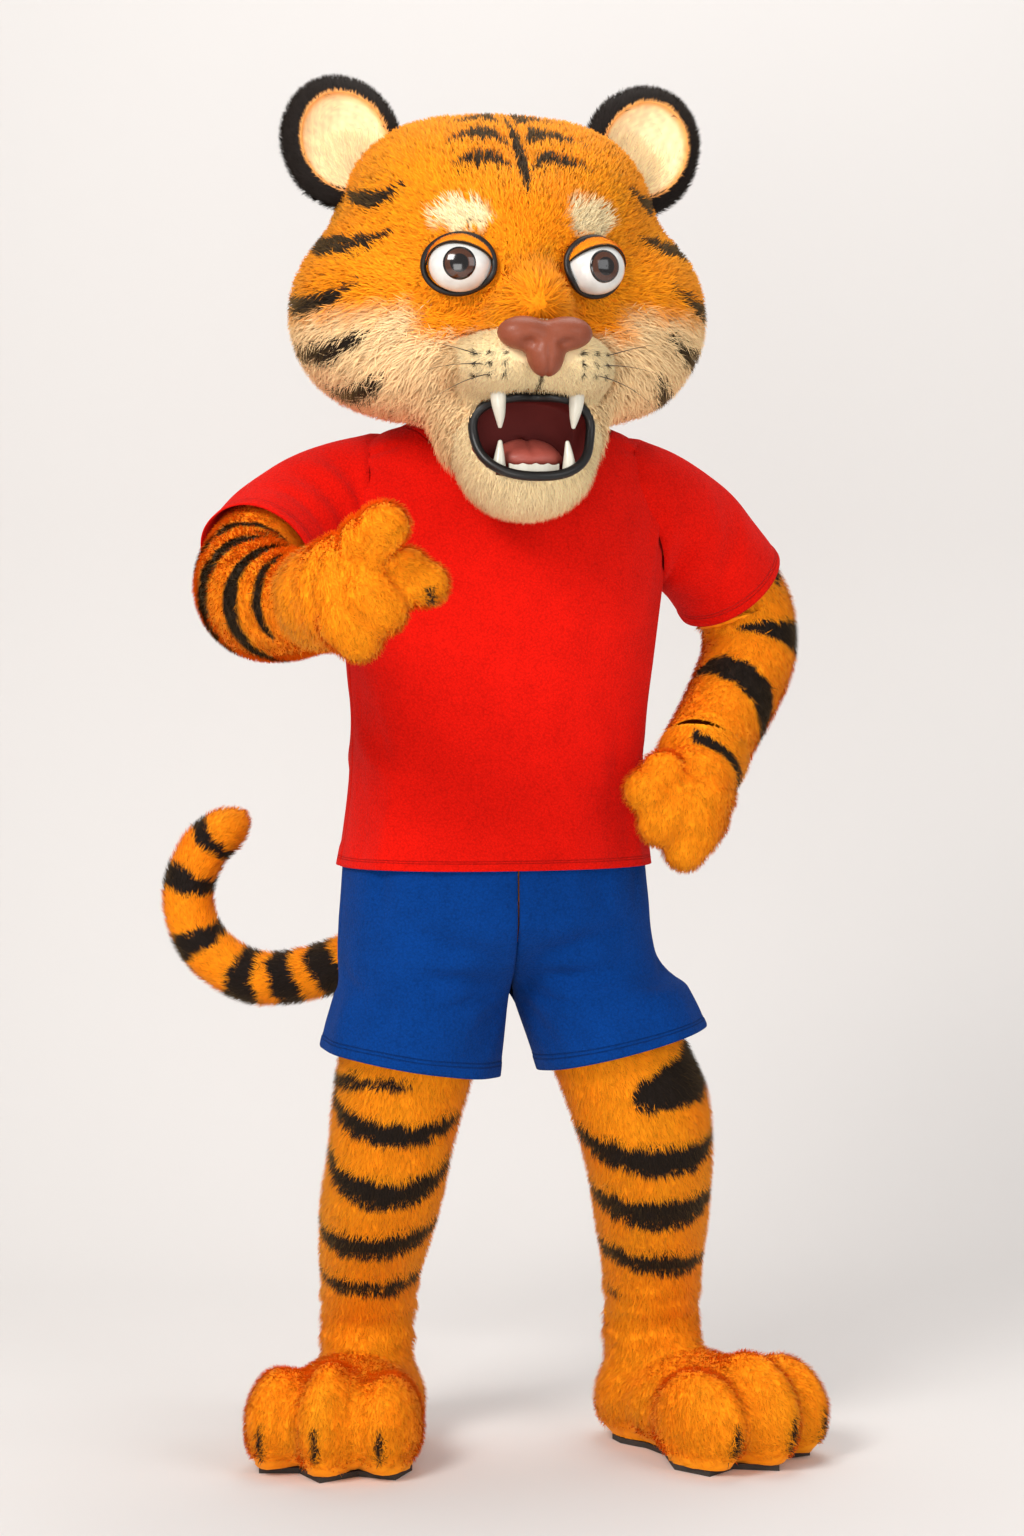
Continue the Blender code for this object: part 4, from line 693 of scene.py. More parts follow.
def mesh_object(name: str, points: Array, faces: Array, uv: Array | None = None) -> bpy.types.Object:
    """A smooth mesh object from numpy arrays.

    Args:
        name: The object's name.
        points: Points in the part's frame.
        faces: Rows of corner indices, all of one length.
        uv: The place in metres of each face corner, in the order of the faces.

    Returns:
        The object, in the scene and riding on the part.
    """
    used, compact = np.unique(faces, return_inverse=True)
    corners = compact.reshape(-1).astype(np.int32)
    sides = faces.shape[1]
    mesh = bpy.data.meshes.new(name)
    mesh.vertices.add(len(used))
    mesh.vertices.foreach_set("co", points.reshape(-1, 3)[used].astype(np.float32).ravel())
    mesh.loops.add(len(corners))
    mesh.loops.foreach_set("vertex_index", corners)
    mesh.polygons.add(len(faces))
    mesh.polygons.foreach_set("loop_start", np.arange(0, len(corners), sides, dtype=np.int32))
    mesh.polygons.foreach_set("use_smooth", np.ones(len(faces), bool))
    mesh.update(calc_edges=True)
    if uv is not None:
        layer = mesh.uv_layers.new(name="cloth")
        layer.data.foreach_set("uv", uv.reshape(-1).astype(np.float32))
    mesh.validate()
    made = bpy.data.objects.new(name, mesh)
    bpy.context.scene.collection.objects.link(made)
    made["used_points"] = len(used)
    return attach(made, BODY)


def mark(obj: bpy.types.Object, faces: Array, **values: Array) -> None:
    """Writes a value at each point as attributes, given for the points that the faces were made from."""
    used = np.unique(faces)
    for name, value in values.items():
        layer = obj.data.attributes.new(name, "FLOAT", "POINT")
        layer.data.foreach_set("value", value.reshape(-1)[used].astype(np.float32))


def wall(
    name: str, patch: Patch, outer: Array, inner: Array, uv: Array | None = None, **values: Array
) -> bpy.types.Object:
    """A closed wall of cloth or foam: an outer and an inner skin and the rims between them.

    Args:
        name: The object's name.
        patch: The grid that both skins follow.
        outer: The outer skin's points above the floor, in the patch's rows and columns.
        inner: The inner skin's.
        uv: The place in metres of each point of the patch.
        values: Attributes at each point of the patch.

    Returns:
        The object.
    """
    count = patch.u.size
    cells = patch.cells()
    quads = patch.merged(cells)
    edge = rims(quads, count)
    faces = np.concatenate([quads, quads[:, ::-1] + count, edge])
    corner_uv = None
    if uv is not None:
        flat = uv.reshape(-1, 2)
        corner_uv = np.concatenate([flat[cells], flat[cells[:, ::-1]], flat[edge % count]])
    points = lowered(np.concatenate([outer.reshape(-1, 3), inner.reshape(-1, 3)]))
    made = mesh_object(name, points, faces, corner_uv)
    mark(made, faces, **{key: np.concatenate([value.ravel()] * 2) for key, value in values.items()})
    return made


GLOVE_PALM = {
    RIGHT: (
        Pad((-0.225, -0.485, 1.220), (0.070, 0.050, 0.072), False),
        Pad((-0.212, -0.505, 1.222), (0.074, 0.050, 0.076), False),
        Pad((-0.197, -0.532, 1.226), (0.070, 0.050, 0.080), False),
        Pad((-0.182, -0.562, 1.230), (0.060, 0.040, 0.070), False),
    ),
    LEFT: (
        Pad((0.279, -0.034, 0.995), (0.064, 0.068, 0.045), False),
        Pad((0.272, -0.052, 0.978), (0.066, 0.078, 0.050), False),
        Pad((0.266, -0.074, 0.946), (0.064, 0.082, 0.050), False),
        Pad((0.262, -0.090, 0.915), (0.056, 0.070, 0.045), False),
    ),
}
CLAW_AT = {"right": (-0.092, -0.592, 1.222), "left": (0.0, 0.0, -9.0)}

SHIRT_FRONT_CREASES = (
    Crease(0.530, 0.72, 0.620, 0.62, 0.014, -0.0040),
    Crease(0.528, 0.69, 0.600, 0.57, 0.012, 0.0030),
    Crease(0.535, 0.75, 0.605, 0.80, 0.014, -0.0035),
    Crease(0.530, 0.66, 0.575, 0.48, 0.013, -0.0040),
    Crease(0.955, 0.70, 0.925, 0.42, 0.018, -0.0050),
    Crease(0.940, 0.70, 0.905, 0.48, 0.014, 0.0035),
    Crease(0.972, 0.62, 0.950, 0.30, 0.014, -0.0042),
    Crease(0.960, 0.74, 0.880, 0.80, 0.014, -0.0035),
    Crease(0.520, 0.36, 0.600, 0.27, 0.015, -0.0045),
    Crease(0.520, 0.31, 0.610, 0.22, 0.013, 0.0034),
    Crease(0.535, 0.22, 0.565, 0.04, 0.014, -0.0040),
    Crease(0.975, 0.27, 0.915, 0.17, 0.015, -0.0042),
    Crease(0.970, 0.21, 0.905, 0.11, 0.013, 0.0032),
    Crease(0.700, 0.93, 0.655, 0.80, 0.016, -0.0026),
    Crease(0.810, 0.93, 0.850, 0.82, 0.016, -0.0024),
    Crease(0.600, 0.00, 0.612, 0.26, 0.022, 0.0030),
    Crease(0.640, 0.00, 0.650, 0.30, 0.020, -0.0030),
    Crease(0.690, 0.00, 0.700, 0.22, 0.024, 0.0026),
    Crease(0.750, 0.00, 0.745, 0.26, 0.024, -0.0024),
    Crease(0.800, 0.00, 0.800, 0.24, 0.022, 0.0026),
    Crease(0.860, 0.00, 0.862, 0.32, 0.022, -0.0030),
    Crease(0.905, 0.00, 0.900, 0.24, 0.020, 0.0028),
)
SHIRT_BACK_CREASES = (
    Crease(0.030, 0.72, 0.120, 0.60, 0.015, -0.0042),
    Crease(0.470, 0.72, 0.380, 0.60, 0.015, -0.0042),
    Crease(0.060, 0.76, 0.150, 0.80, 0.015, -0.0032),
    Crease(0.440, 0.76, 0.350, 0.80, 0.015, -0.0032),
    Crease(0.020, 0.34, 0.110, 0.24, 0.015, -0.0044),
    Crease(0.020, 0.29, 0.120, 0.19, 0.013, 0.0032),
    Crease(0.480, 0.34, 0.380, 0.24, 0.015, -0.0044),
    Crease(0.480, 0.28, 0.370, 0.18, 0.013, 0.0032),
    Crease(0.140, 0.00, 0.150, 0.30, 0.022, -0.0030),
    Crease(0.200, 0.00, 0.200, 0.24, 0.022, 0.0028),
    Crease(0.270, 0.00, 0.265, 0.30, 0.024, -0.0028),
    Crease(0.340, 0.00, 0.345, 0.26, 0.022, 0.0028),
    Crease(0.210, 0.92, 0.270, 0.55, 0.026, -0.0026),
)
SLEEVE_RIGHT_CREASES = (
    Crease(0.55, 0.35, 0.95, 0.45, 0.013, -0.0045),
    Crease(0.56, 0.43, 0.94, 0.53, 0.012, 0.0032),
    Crease(0.60, 0.52, 0.95, 0.62, 0.013, -0.0045),
    Crease(0.60, 0.68, 1.00, 0.78, 0.013, -0.0034),
    Crease(0.05, 0.25, 0.30, 0.42, 0.016, -0.0028),
    Crease(0.20, 0.55, 0.45, 0.70, 0.015, -0.0032),
)
SLEEVE_LEFT_CREASES = (
    Crease(0.45, 0.20, 0.75, 0.45, 0.013, -0.0045),
    Crease(0.46, 0.30, 0.74, 0.52, 0.012, 0.0032),
    Crease(0.50, 0.45, 0.80, 0.62, 0.013, -0.0042),
    Crease(0.30, 0.50, 0.55, 0.75, 0.014, -0.0034),
    Crease(0.05, 0.30, 0.25, 0.60, 0.016, -0.0030),
)
SHORTS_HALF = (
    Crease(0.03, 0.42, 0.50, 0.30, 0.012, -0.0048),
    Crease(0.05, 0.47, 0.52, 0.40, 0.011, 0.0034),
    Crease(0.03, 0.46, 0.55, 0.52, 0.012, -0.0048),
    Crease(0.06, 0.50, 0.45, 0.72, 0.013, -0.0040),
    Crease(0.10, 0.60, 0.28, 0.92, 0.014, -0.0036),
    Crease(0.30, 0.02, 0.34, 0.26, 0.016, -0.0030),
    Crease(0.62, 0.02, 0.60, 0.24, 0.016, -0.0030),
    Crease(0.45, 0.70, 0.43, 1.00, 0.018, 0.0034),
    Crease(0.62, 0.62, 0.60, 1.00, 0.018, -0.0036),
    Crease(0.80, 0.66, 0.80, 1.00, 0.018, 0.0032),
    Crease(0.93, 0.45, 0.70, 0.62, 0.014, -0.0034),
)
SHORTS_CREASES = {
    (part, side): tuple(
        crease._replace(
            u_from=flip + way * crease.u_from, u_to=flip + way * crease.u_to
        ) for crease in SHORTS_HALF
    )
    for side in (RIGHT, LEFT)
    for part, flip, way in (("front", 0.0, 1.0), ("back", 2.0, -1.0))
}

BACK_LEG_BANDS = tuple(Band(height, 0.013, 180.0, 76.0, 0.03, 0.0) for height in (0.47, 0.385, 0.30, 0.235))
LEG_BANDS = {
    RIGHT: (
        Band(0.548, 0.008, -50.0, 60.0, 0.0, 0.0),
        Band(0.478, 0.014, -10.0, 85.0, 0.0435, -0.0235),
        Band(0.387, 0.0165, 0.0, 88.0, 0.0615, -0.0085),
        Band(0.307, 0.014, 0.0, 88.0, 0.040, 0.002),
        Band(0.2415, 0.009, 0.0, 85.0, 0.0245, -0.004),
        *BACK_LEG_BANDS,
    ),
    LEFT: (
        Band(0.560, 0.028, 75.0, 80.0, 0.0, 0.043),
        Band(0.433, 0.0165, 0.0, 88.0, 0.042, -0.007),
        Band(0.353, 0.017, 0.0, 88.0, 0.040, -0.005),
        Band(0.276, 0.012, 0.0, 85.0, 0.019, -0.012),
        Band(0.230, 0.004, -55.0, 15.0, 0.0, -0.010),
        *BACK_LEG_BANDS,
    ),
}
ARM_BANDS = {
    RIGHT: (
        Band(0.490, 0.013, 20.0, 75.0, 0.0, 0.010),
        Band(0.600, 0.026, 90.0, 98.0, 0.012, 0.012),
        Band(0.740, 0.027, 90.0, 98.0, 0.012, 0.012),
        Band(0.865, 0.020, 75.0, 60.0, 0.006, 0.010),
        Band(0.540, 0.013, 300.0, 60.0, 0.010, 0.0),
        Band(0.670, 0.014, 300.0, 62.0, 0.010, 0.0),
        Band(0.810, 0.013, 300.0, 58.0, 0.008, 0.0),
    ),
    LEFT: (
        Band(0.430, 0.020, 80.0, 50.0, 0.0, 0.010),
        Band(0.590, 0.030, 110.0, 95.0, 0.0, 0.030),
        Band(0.800, 0.036, 165.0, 100.0, 0.020, -0.045),
        Band(0.500, 0.016, 320.0, 66.0, 0.012, 0.0),
        Band(0.680, 0.016, 350.0, 50.0, 0.012, 0.0),
    ),
}
TAIL_BANDS = (
    (0.335, 0.024), (0.410, 0.022), (0.485, 0.024), (0.600, 0.026), (0.740, 0.026), (0.865, 0.020)
)
STROKES = (
    Stroke((0.0, 0.105), (0.9, 0.165), (0.0, 0.226), 0.0088),
    Stroke((5.0, 0.140), (15.0, 0.170), (28.0, 0.140), 0.0098),
    Stroke((5.0, 0.176), (17.0, 0.208), (33.0, 0.178), 0.0100),
    Stroke((7.0, 0.210), (21.0, 0.236), (40.0, 0.210), 0.0096),
    Stroke((46.0, 0.122), (59.0, 0.088), (78.0, 0.124), 0.0120),
    Stroke((50.0, 0.060), (66.0, 0.024), (86.0, 0.060), 0.0125),
    Stroke((55.0, -0.012), (70.0, -0.050), (90.0, -0.014), 0.0120),
    Stroke((51.0, -0.070), (66.0, -0.112), (86.0, -0.078), 0.0120),
    Stroke((47.0, -0.124), (58.0, -0.162), (74.0, -0.138), 0.0105),
    Stroke((98.0, 0.160), (130.0, 0.132), (174.0, 0.158), 0.0150),
    Stroke((98.0, 0.088), (132.0, 0.058), (174.0, 0.084), 0.0150),
    Stroke((102.0, 0.012), (134.0, -0.018), (174.0, 0.010), 0.0145),
    Stroke((106.0, -0.062), (136.0, -0.090), (174.0, -0.066), 0.0130),
)


@dataclass(frozen=True)
class Pile:
    """How a fur's strands stand: how many to a square metre, and each one's size and lie."""

    per_area: float
    length: float
    rise: float
    width: float = 0.0016
    spread: float = 0.35
    bent: bool = False

    def grow(
        self,
        name: str,
        patch: Patch,
        base: Array,
        flow: Array,
        coat: Coat,
        where: Array | None = None,
        stretch: Array | None = None,
        seed: int = SEED,
    ) -> bpy.types.Object:
        """Strands over a patch, as flat pointed blades.

        A blade's root is at an even random place on a cell, so that cells of one size hold as many blades.
        Its tip is root + way * length + normal * rise, where way is the flow with a sideways part drawn at
        random. A bent blade has one more pair of points on the curve between them, which leaves the skin more
        steeply.

        Args:
            name: The object's name.
            patch: The grid that the strands stand on.
            base: The skin's points above the floor, in the patch's rows and columns.
            flow: The way that the strands lie, at each point of the patch.
            coat: Gives the dark and pale shares at places above the floor and at shares u and v.
            where: How thickly the strands stand at each point of the patch, from 0 to 1.
            stretch: How long they are at each point, as a share of length.
            seed: The seed of the dice.

        Returns:
            The object.
        """
        dice = np.random.default_rng(seed)
        cells = patch.cells()
        corners = base.reshape(-1, 3)[cells]
        area = np.linalg.norm(
            np.cross(corners[:, 2] - corners[:, 0], corners[:, 3] - corners[:, 1]), axis=1
        ) / 2
        if where is not None:
            area = area * where.ravel()[cells].mean(axis=1)
        count = int(area.sum() * self.per_area)
        chosen = dice.choice(len(cells), count, p=area / area.sum())
        first, second = dice.random(count), dice.random(count)
        shares = np.stack(
            [(1 - first) * (1 - second), first * (1 - second), first * second, (1 - first) * second], axis=1
        )

        def at(values: Array) -> Array:
            """A value of the patch at each root: the cell's corners, weighted by the root's place in it."""
            flat = values.reshape(patch.u.size, -1)[cells[chosen]]
            return (flat * shares[..., None]).sum(axis=1)

        root, normal = at(base), unit(at(patch.normals))
        way = at(flow) + dice.normal(0.0, self.spread, (count, 3))
        way = unit(way - (way * normal).sum(axis=1, keepdims=True) * normal)
        long = self.length * dice.uniform(0.65, 1.2, count)
        rise = self.rise * dice.uniform(0.55, 1.0, count)
        if stretch is not None:
            long = long * at(stretch)[:, 0]
        across = np.cross(way, normal) * (self.width * dice.uniform(0.7, 1.2, count) / 2)[:, None]
        root = root - normal * 0.0006
        tip = root + way * long[:, None] + normal * rise[:, None]
        dark, pale = coat(root, at(patch.u)[:, 0], at(patch.v)[:, 0])
        tone = dice.random(count)
        if self.bent:
            middle = root + way * (0.45 * long)[:, None] + normal * (0.75 * rise)[:, None]
            points = np.stack(
                [root - across, root + across, middle + 0.8 * across, middle - 0.8 * across, tip], axis=1
            )
            order, heights = [[0, 1, 2], [0, 2, 3], [3, 2, 4]], [0.0, 0.0, 0.55, 0.55, 1.0]
        else:
            points = np.stack([root - across, root + across, tip], axis=1)
            order, heights = [[0, 1, 2]], [0.0, 0.0, 1.0]
        each = points.shape[1]
        faces = (np.arange(count)[:, None, None] * each + np.array(order)).reshape(-1, 3)
        made = mesh_object(name, lowered(points), faces)
        spread = {
            key: np.repeat(value, each) for key, value in (("dark", dark), ("pale", pale), ("tone", tone))
        }
        # tip is 0 at a blade's root and 1 at its tip; the coat group paints shade by it, darker towards the
        # root.
        mark(made, faces, **spread, tip=np.tile(heights, count))
        soft = unit(normal + 0.35 * way + dice.normal(0.0, 0.16, (count, 3)))
        made.data.normals_split_custom_set_from_vertices(np.repeat(soft, each, axis=0))
        return made


def bands_mask(bands: Sequence[Band], along_it: Array, degrees: Array, edge: float) -> Array:
    """How dark the stripes are: each band's half thickness less the distance from its line.

    The line is at + sag * d * d + tilt * d, where d goes from -1 to 1 over the band's span. The half
    thickness goes with the root of 1 - d to the power 2.2.
    """
    dark = np.zeros(along_it.shape)
    for band in bands:
        share = ((degrees - band.middle + 180.0) % 360.0 - 180.0) / band.half_span
        line = band.at + band.sag * share**2 + band.tilt * share
        half = 1.22 * band.half * np.sqrt(np.clip(1.0 - np.abs(share) ** 2.2, 0.0, 1.0))
        inside = soft_step(half - np.abs(along_it - line), -edge, edge)
        dark = np.maximum(dark, np.where(np.abs(share) < 1.0, inside, 0.0))
    return dark


def strokes_mask(strokes: Sequence[Stroke], degrees: Array, height: Array, reach: float) -> Array:
    """How dark the head's strokes are: the distance to each one's curve against its half width there.

    A stroke is the quadratic curve of its three places, and its half width follows the sine of the way
    along it.
    """
    share = np.linspace(0.0, 1.0, 15)
    arc = math.radians(1.0) * reach
    spot = np.stack([np.abs(degrees) * arc, height], axis=-1)
    dark = np.zeros(height.shape)
    for stroke in strokes:
        ends = np.array([stroke.start, stroke.bend, stroke.end]) * np.array([arc, 1.0])
        weights = np.stack([(1 - share) ** 2, 2 * share * (1 - share), share**2], axis=1)
        line = weights @ ends
        half = stroke.half * np.sin(math.pi * np.clip(share, 0.04, 0.96)) ** 0.55
        gap = np.linalg.norm(spot[..., None, :] - line, axis=-1) - half
        dark = np.maximum(dark, soft_step(-gap.min(axis=-1), -0.0012, 0.0012))
    return dark


def all_corners(inside: Array) -> Array:
    """The cells that have all four corners inside."""
    return inside[1:, 1:] & inside[:-1, 1:] & inside[1:, :-1] & inside[:-1, :-1]


def any_corner(inside: Array) -> Array:
    """The cells that have at least one corner inside."""
    return inside[1:, 1:] | inside[:-1, 1:] | inside[1:, :-1] | inside[:-1, :-1]


def creases_height(creases: Sequence[Crease], patch: Patch, wide: float, long: float) -> Array:
    """How far folds move a cloth: each a soft trough or ridge about a line, uneven and fading to its ends.

    The height is CREASE_GAIN * depth * exp(-(distance / half width) squared) * the sine of the way along the
    line, to the power 0.7, with the distance bent by a ripple so that no fold is straight.
    """
    spot = np.stack([patch.u * wide, patch.v * long], axis=-1)
    wander = ripple(patch.points, 0.16, 5)
    total = np.zeros(patch.u.shape)
    for crease in creases:
        start = np.array([crease.u_from * wide, crease.v_from * long])
        way = np.array([crease.u_to * wide, crease.v_to * long]) - start
        share = np.clip(((spot - start) @ way) / (way @ way), 0.0, 1.0)
        offset = spot - start - share[..., None] * way
        gap = np.linalg.norm(offset, axis=-1) + crease.half_width * 0.35 * wander
        fade = np.sin(math.pi * np.clip(share * 0.92 + 0.04, 0.0, 1.0)) ** 0.7
        total += CREASE_GAIN * crease.depth * np.exp(-((gap / crease.half_width) ** 2)) * fade
    return total


def new_group(name: str, inputs: dict[str, float | tuple], outputs: dict[str, str]) -> bpy.types.NodeTree:
    """An empty shader node group: named inputs at their usual values, and outputs of the given types."""
    tree = bpy.data.node_groups.new(name, "ShaderNodeTree")
    for key, value in inputs.items():
        kind = "NodeSocketFloat" if isinstance(value, (int, float)) else "NodeSocketColor"
        if isinstance(value, tuple) and len(value) == 3:
            kind = "NodeSocketVector"
        made = tree.interface.new_socket(key, in_out="INPUT", socket_type=kind)
        made.default_value = value
    for key, kind in outputs.items():
        tree.interface.new_socket(key, in_out="OUTPUT", socket_type=kind)
    tree.nodes.new("NodeGroupInput").name = "in"
    tree.nodes.new("NodeGroupOutput").name = "out"
    return tree


def add(
    tree: bpy.types.NodeTree, kind: str, inputs: dict | None = None, **settings: object
) -> bpy.types.Node:
    """A node with its settings made and its inputs linked, where a socket is given, or set."""
    node = tree.nodes.new(kind)
    for key, value in settings.items():
        setattr(node, key, value)
    for key, value in (inputs or {}).items():
        if isinstance(value, bpy.types.NodeSocket):
            tree.links.new(value, node.inputs[key])
        else:
            node.inputs[key].default_value = value
    return node


def calc(
    tree: bpy.types.NodeTree, operation: str, *values: object, clamp: bool = False
) -> bpy.types.NodeSocket:
    """The output of a Math node on two or three values or sockets."""
    return add(
        tree, "ShaderNodeMath", dict(enumerate(values)), operation=operation, use_clamp=clamp
    ).outputs[0]


def blend(tree: bpy.types.NodeTree, share: object, first: object, second: object) -> bpy.types.NodeSocket:
    """A colour part of the way from the first to the second."""
    node = add(tree, "ShaderNodeMix", data_type="RGBA")
    for index, value in ((0, share), (6, first), (7, second)):
        if isinstance(value, bpy.types.NodeSocket):
            tree.links.new(value, node.inputs[index])
        else:
            node.inputs[index].default_value = value
    return node.outputs[2]


def noise(
    tree: bpy.types.NodeTree, where: bpy.types.NodeSocket, scale: object, detail: float = 2.0
) -> bpy.types.NodeSocket:
    """A noise value about a half over places in metres."""
    inputs = {"Vector": where, "Scale": scale, "Detail": detail}
    return add(tree, "ShaderNodeTexNoise", inputs).outputs["Fac"]


def fur_group() -> bpy.types.NodeTree:
    """Coat colour: cream by Pale and black by Dark, with painted shade darkening each strand towards its
    root, and uneven by strand.
    """
    tree = new_group(
        "coat_colour",
        {
            "Body": (0.8, 0.3, 0.02, 1.0),
            "Cream": (0.9, 0.7, 0.4, 1.0),
            "Black": (0.02, 0.02, 0.02, 1.0),
            "Where": (0.0, 0.0, 0.0),
            "Dark": 0.0,
            "Pale": 0.0,
            "Tone": 0.5,
            "Tip": 0.5,
            "RootShade": 0.5,
        },
        {"Color": "NodeSocketColor"},
    )
    come = tree.nodes["in"].outputs
    patches = noise(tree, come["Where"], 14.0, 3.0)
    warm = blend(
        tree, calc(tree, "MULTIPLY_ADD", patches, 1.6, -0.35, clamp=True), (1.0, 0.28, 0.004, 1.0),
        come["Body"],
    )
    coat = blend(tree, come["Pale"], warm, come["Cream"])
    coat = blend(tree, come["Dark"], coat, come["Black"])
    strand = calc(tree, "MULTIPLY_ADD", come["Tone"], 0.50, 0.86)
    # Painted shade in the pile: each strand's colour is darkened towards its root, down to the root share at
    # the root itself, and full at the tip.
    lift = calc(tree, "SUBTRACT", 1.0, come["RootShade"])
    height = calc(tree, "MULTIPLY_ADD", come["Tip"], lift, come["RootShade"])
    light = calc(tree, "MULTIPLY", strand, height)
    grey = add(tree, "ShaderNodeCombineColor", {0: light, 1: light, 2: light}).outputs[0]
    shaded = add(tree, "ShaderNodeMix", data_type="RGBA", blend_type="MULTIPLY")
    shaded.inputs[0].default_value = 1.0
    tree.links.new(coat, shaded.inputs[6])
    tree.links.new(grey, shaded.inputs[7])
    tree.links.new(shaded.outputs[2], tree.nodes["out"].inputs["Color"])
    return tree


def nap_group() -> bpy.types.NodeTree:
    """Brushed nap: small clumps of fibre as a Height, and how light or dark each one looks as a Tint."""
    tree = new_group(
        "nap", {"Where": (0.0, 0.0, 0.0), "Scale": 500.0}, {
            "Height": "NodeSocketFloat", "Tint": "NodeSocketFloat"
        }
    )
    come = tree.nodes["in"].outputs
    clumps = add(
        tree, "ShaderNodeTexVoronoi", {"Vector": come["Where"], "Scale": come["Scale"]}
    ).outputs["Distance"]
    fibres = noise(tree, come["Where"], calc(tree, "MULTIPLY", come["Scale"], 2.6), 3.0)
    wide = noise(tree, come["Where"], 22.0, 3.0)
    height = calc(
        tree, "SUBTRACT", calc(tree, "MULTIPLY", fibres, 0.9), calc(tree, "MULTIPLY", clumps, 0.6)
    )
    tint = calc(tree, "MULTIPLY_ADD", height, 0.55, calc(tree, "MULTIPLY", wide, 0.3))
    tree.links.new(height, tree.nodes["out"].inputs["Height"])
    tree.links.new(tint, tree.nodes["out"].inputs["Tint"])
    return tree


def stitch_group() -> bpy.types.NodeTree:
    """A sewn hem: two grooves a few millimetres apart, Depth from the edge, with a row of stitches in each.

    Groove is 1 in the groove. Thread is 1 on a stitch, from the distance along the hem against the stitch's
    length.
    """
    tree = new_group(
        "hem_stitches",
        {"Cloth": (0.0, 0.0, 0.0), "Depth": 0.03, "Apart": 0.0055, "Stitch": 0.0042},
        {"Groove": "NodeSocketFloat", "Thread": "NodeSocketFloat"},
    )
    come = tree.nodes["in"].outputs
    split = add(tree, "ShaderNodeSeparateXYZ", {0: come["Cloth"]}).outputs
    lines = []
    for inward in (0.0, 1.0):
        line = calc(tree, "SUBTRACT", come["Depth"], calc(tree, "MULTIPLY", come["Apart"], inward))
        gap = calc(tree, "ABSOLUTE", calc(tree, "SUBTRACT", split["Y"], line))
        lines.append(calc(tree, "SUBTRACT", 1.0, calc(tree, "DIVIDE", gap, 0.0014), clamp=True))
    groove = calc(tree, "MAXIMUM", *lines)
    along_hem = calc(tree, "FRACT", calc(tree, "DIVIDE", split["X"], come["Stitch"]))
    dash = calc(tree, "LESS_THAN", along_hem, 0.72)
    thread = calc(tree, "MULTIPLY", calc(tree, "GREATER_THAN", groove, 0.45), dash)
    tree.links.new(groove, tree.nodes["out"].inputs["Groove"])
    tree.links.new(thread, tree.nodes["out"].inputs["Thread"])
    return tree


COAT_COLOUR = fur_group()
NAP = nap_group()
HEM_STITCHES = stitch_group()


@dataclass(frozen=True)
class Finish:
    """What every finish has: a name, a colour, and how rough and glossy it is."""

    name: str
    colour: tuple[float, float, float]
    roughness: float = 0.8
    specular: float = 0.3
    sheen: float = 0.0
    coat: float = 0.0
    grain: float = 400.0
    bump: float = 0.2
    depth: float = 0.0006

    def start(self) -> tuple[bpy.types.NodeTree, bpy.types.Node, bpy.types.NodeSocket]:
        """A new material's tree, its shader with this finish's constants, and places on the piece."""
        made = bpy.data.materials.new(self.name)
        made.use_nodes = True
        tree = made.node_tree
        shader = tree.nodes["Principled BSDF"]
        shader.inputs["Roughness"].default_value = self.roughness
        shader.inputs["Specular IOR Level"].default_value = self.specular
        shader.inputs["Sheen Weight"].default_value = self.sheen
        shader.inputs["Sheen Roughness"].default_value = 0.45
        shader.inputs["Coat Weight"].default_value = self.coat
        shader.inputs["Coat Roughness"].default_value = 0.08
        where = add(tree, "ShaderNodeTexCoord").outputs["Object"]
        return tree, shader, where

    def material(self) -> bpy.types.Material:
        """The finish's material, made once."""
        found = bpy.data.materials.get(self.name)
        if found is None:
            self.dress()
            found = bpy.data.materials[self.name]
        return found

    def dress(self) -> None:
        """A grained surface: colour made uneven by a wide noise, and a fine noise that lifts the light."""
        tree, shader, where = self.start()
        wide = noise(tree, where, 30.0, 3.0)
        fine = noise(tree, where, self.grain, 3.0)
        colour = (*self.colour, 1.0)
        deep = (*(0.62 * channel for channel in self.colour), 1.0)
        share = calc(
            tree, "MULTIPLY_ADD", wide, 0.9, calc(tree, "MULTIPLY_ADD", fine, 0.5, -0.1), clamp=True
        )
        tree.links.new(blend(tree, share, deep, colour), shader.inputs["Base Color"])
        inputs = {"Height": fine, "Strength": self.bump, "Distance": self.depth}
        tree.links.new(add(tree, "ShaderNodeBump", inputs).outputs[0], shader.inputs["Normal"])


@dataclass(frozen=True)
class FurFinish(Finish):
    """Faux fur: the piece's own dark, pale, tone and tip marks, coloured by the coat group, with painted
    shade towards each strand's root.
    """

    cream: tuple[float, float, float] = (1.0, 0.80, 0.46)
    black: tuple[float, float, float] = (0.016, 0.011, 0.009)
    # How light a strand's root is against its tip: painted shade in the pile.
    root: float = 0.80

    def dress(self) -> None:
        """Marks on the piece go into the coat group, whose colour goes to the shader."""
        tree, shader, where = self.start()
        shader.inputs["Sheen Tint"].default_value = (1.0, 0.58, 0.18, 1.0)
        group = add(tree, "ShaderNodeGroup", node_tree=COAT_COLOUR)
        for key, value in (("Body", self.colour), ("Cream", self.cream), ("Black", self.black)):
            group.inputs[key].default_value = (*value, 1.0)
        group.inputs["RootShade"].default_value = self.root
        tree.links.new(where, group.inputs["Where"])
        for key in ("Dark", "Pale", "Tone", "Tip"):
            mark_node = add(tree, "ShaderNodeAttribute", attribute_name=key.lower())
            tree.links.new(mark_node.outputs["Fac"], group.inputs[key])
        tree.links.new(group.outputs[0], shader.inputs["Base Color"])


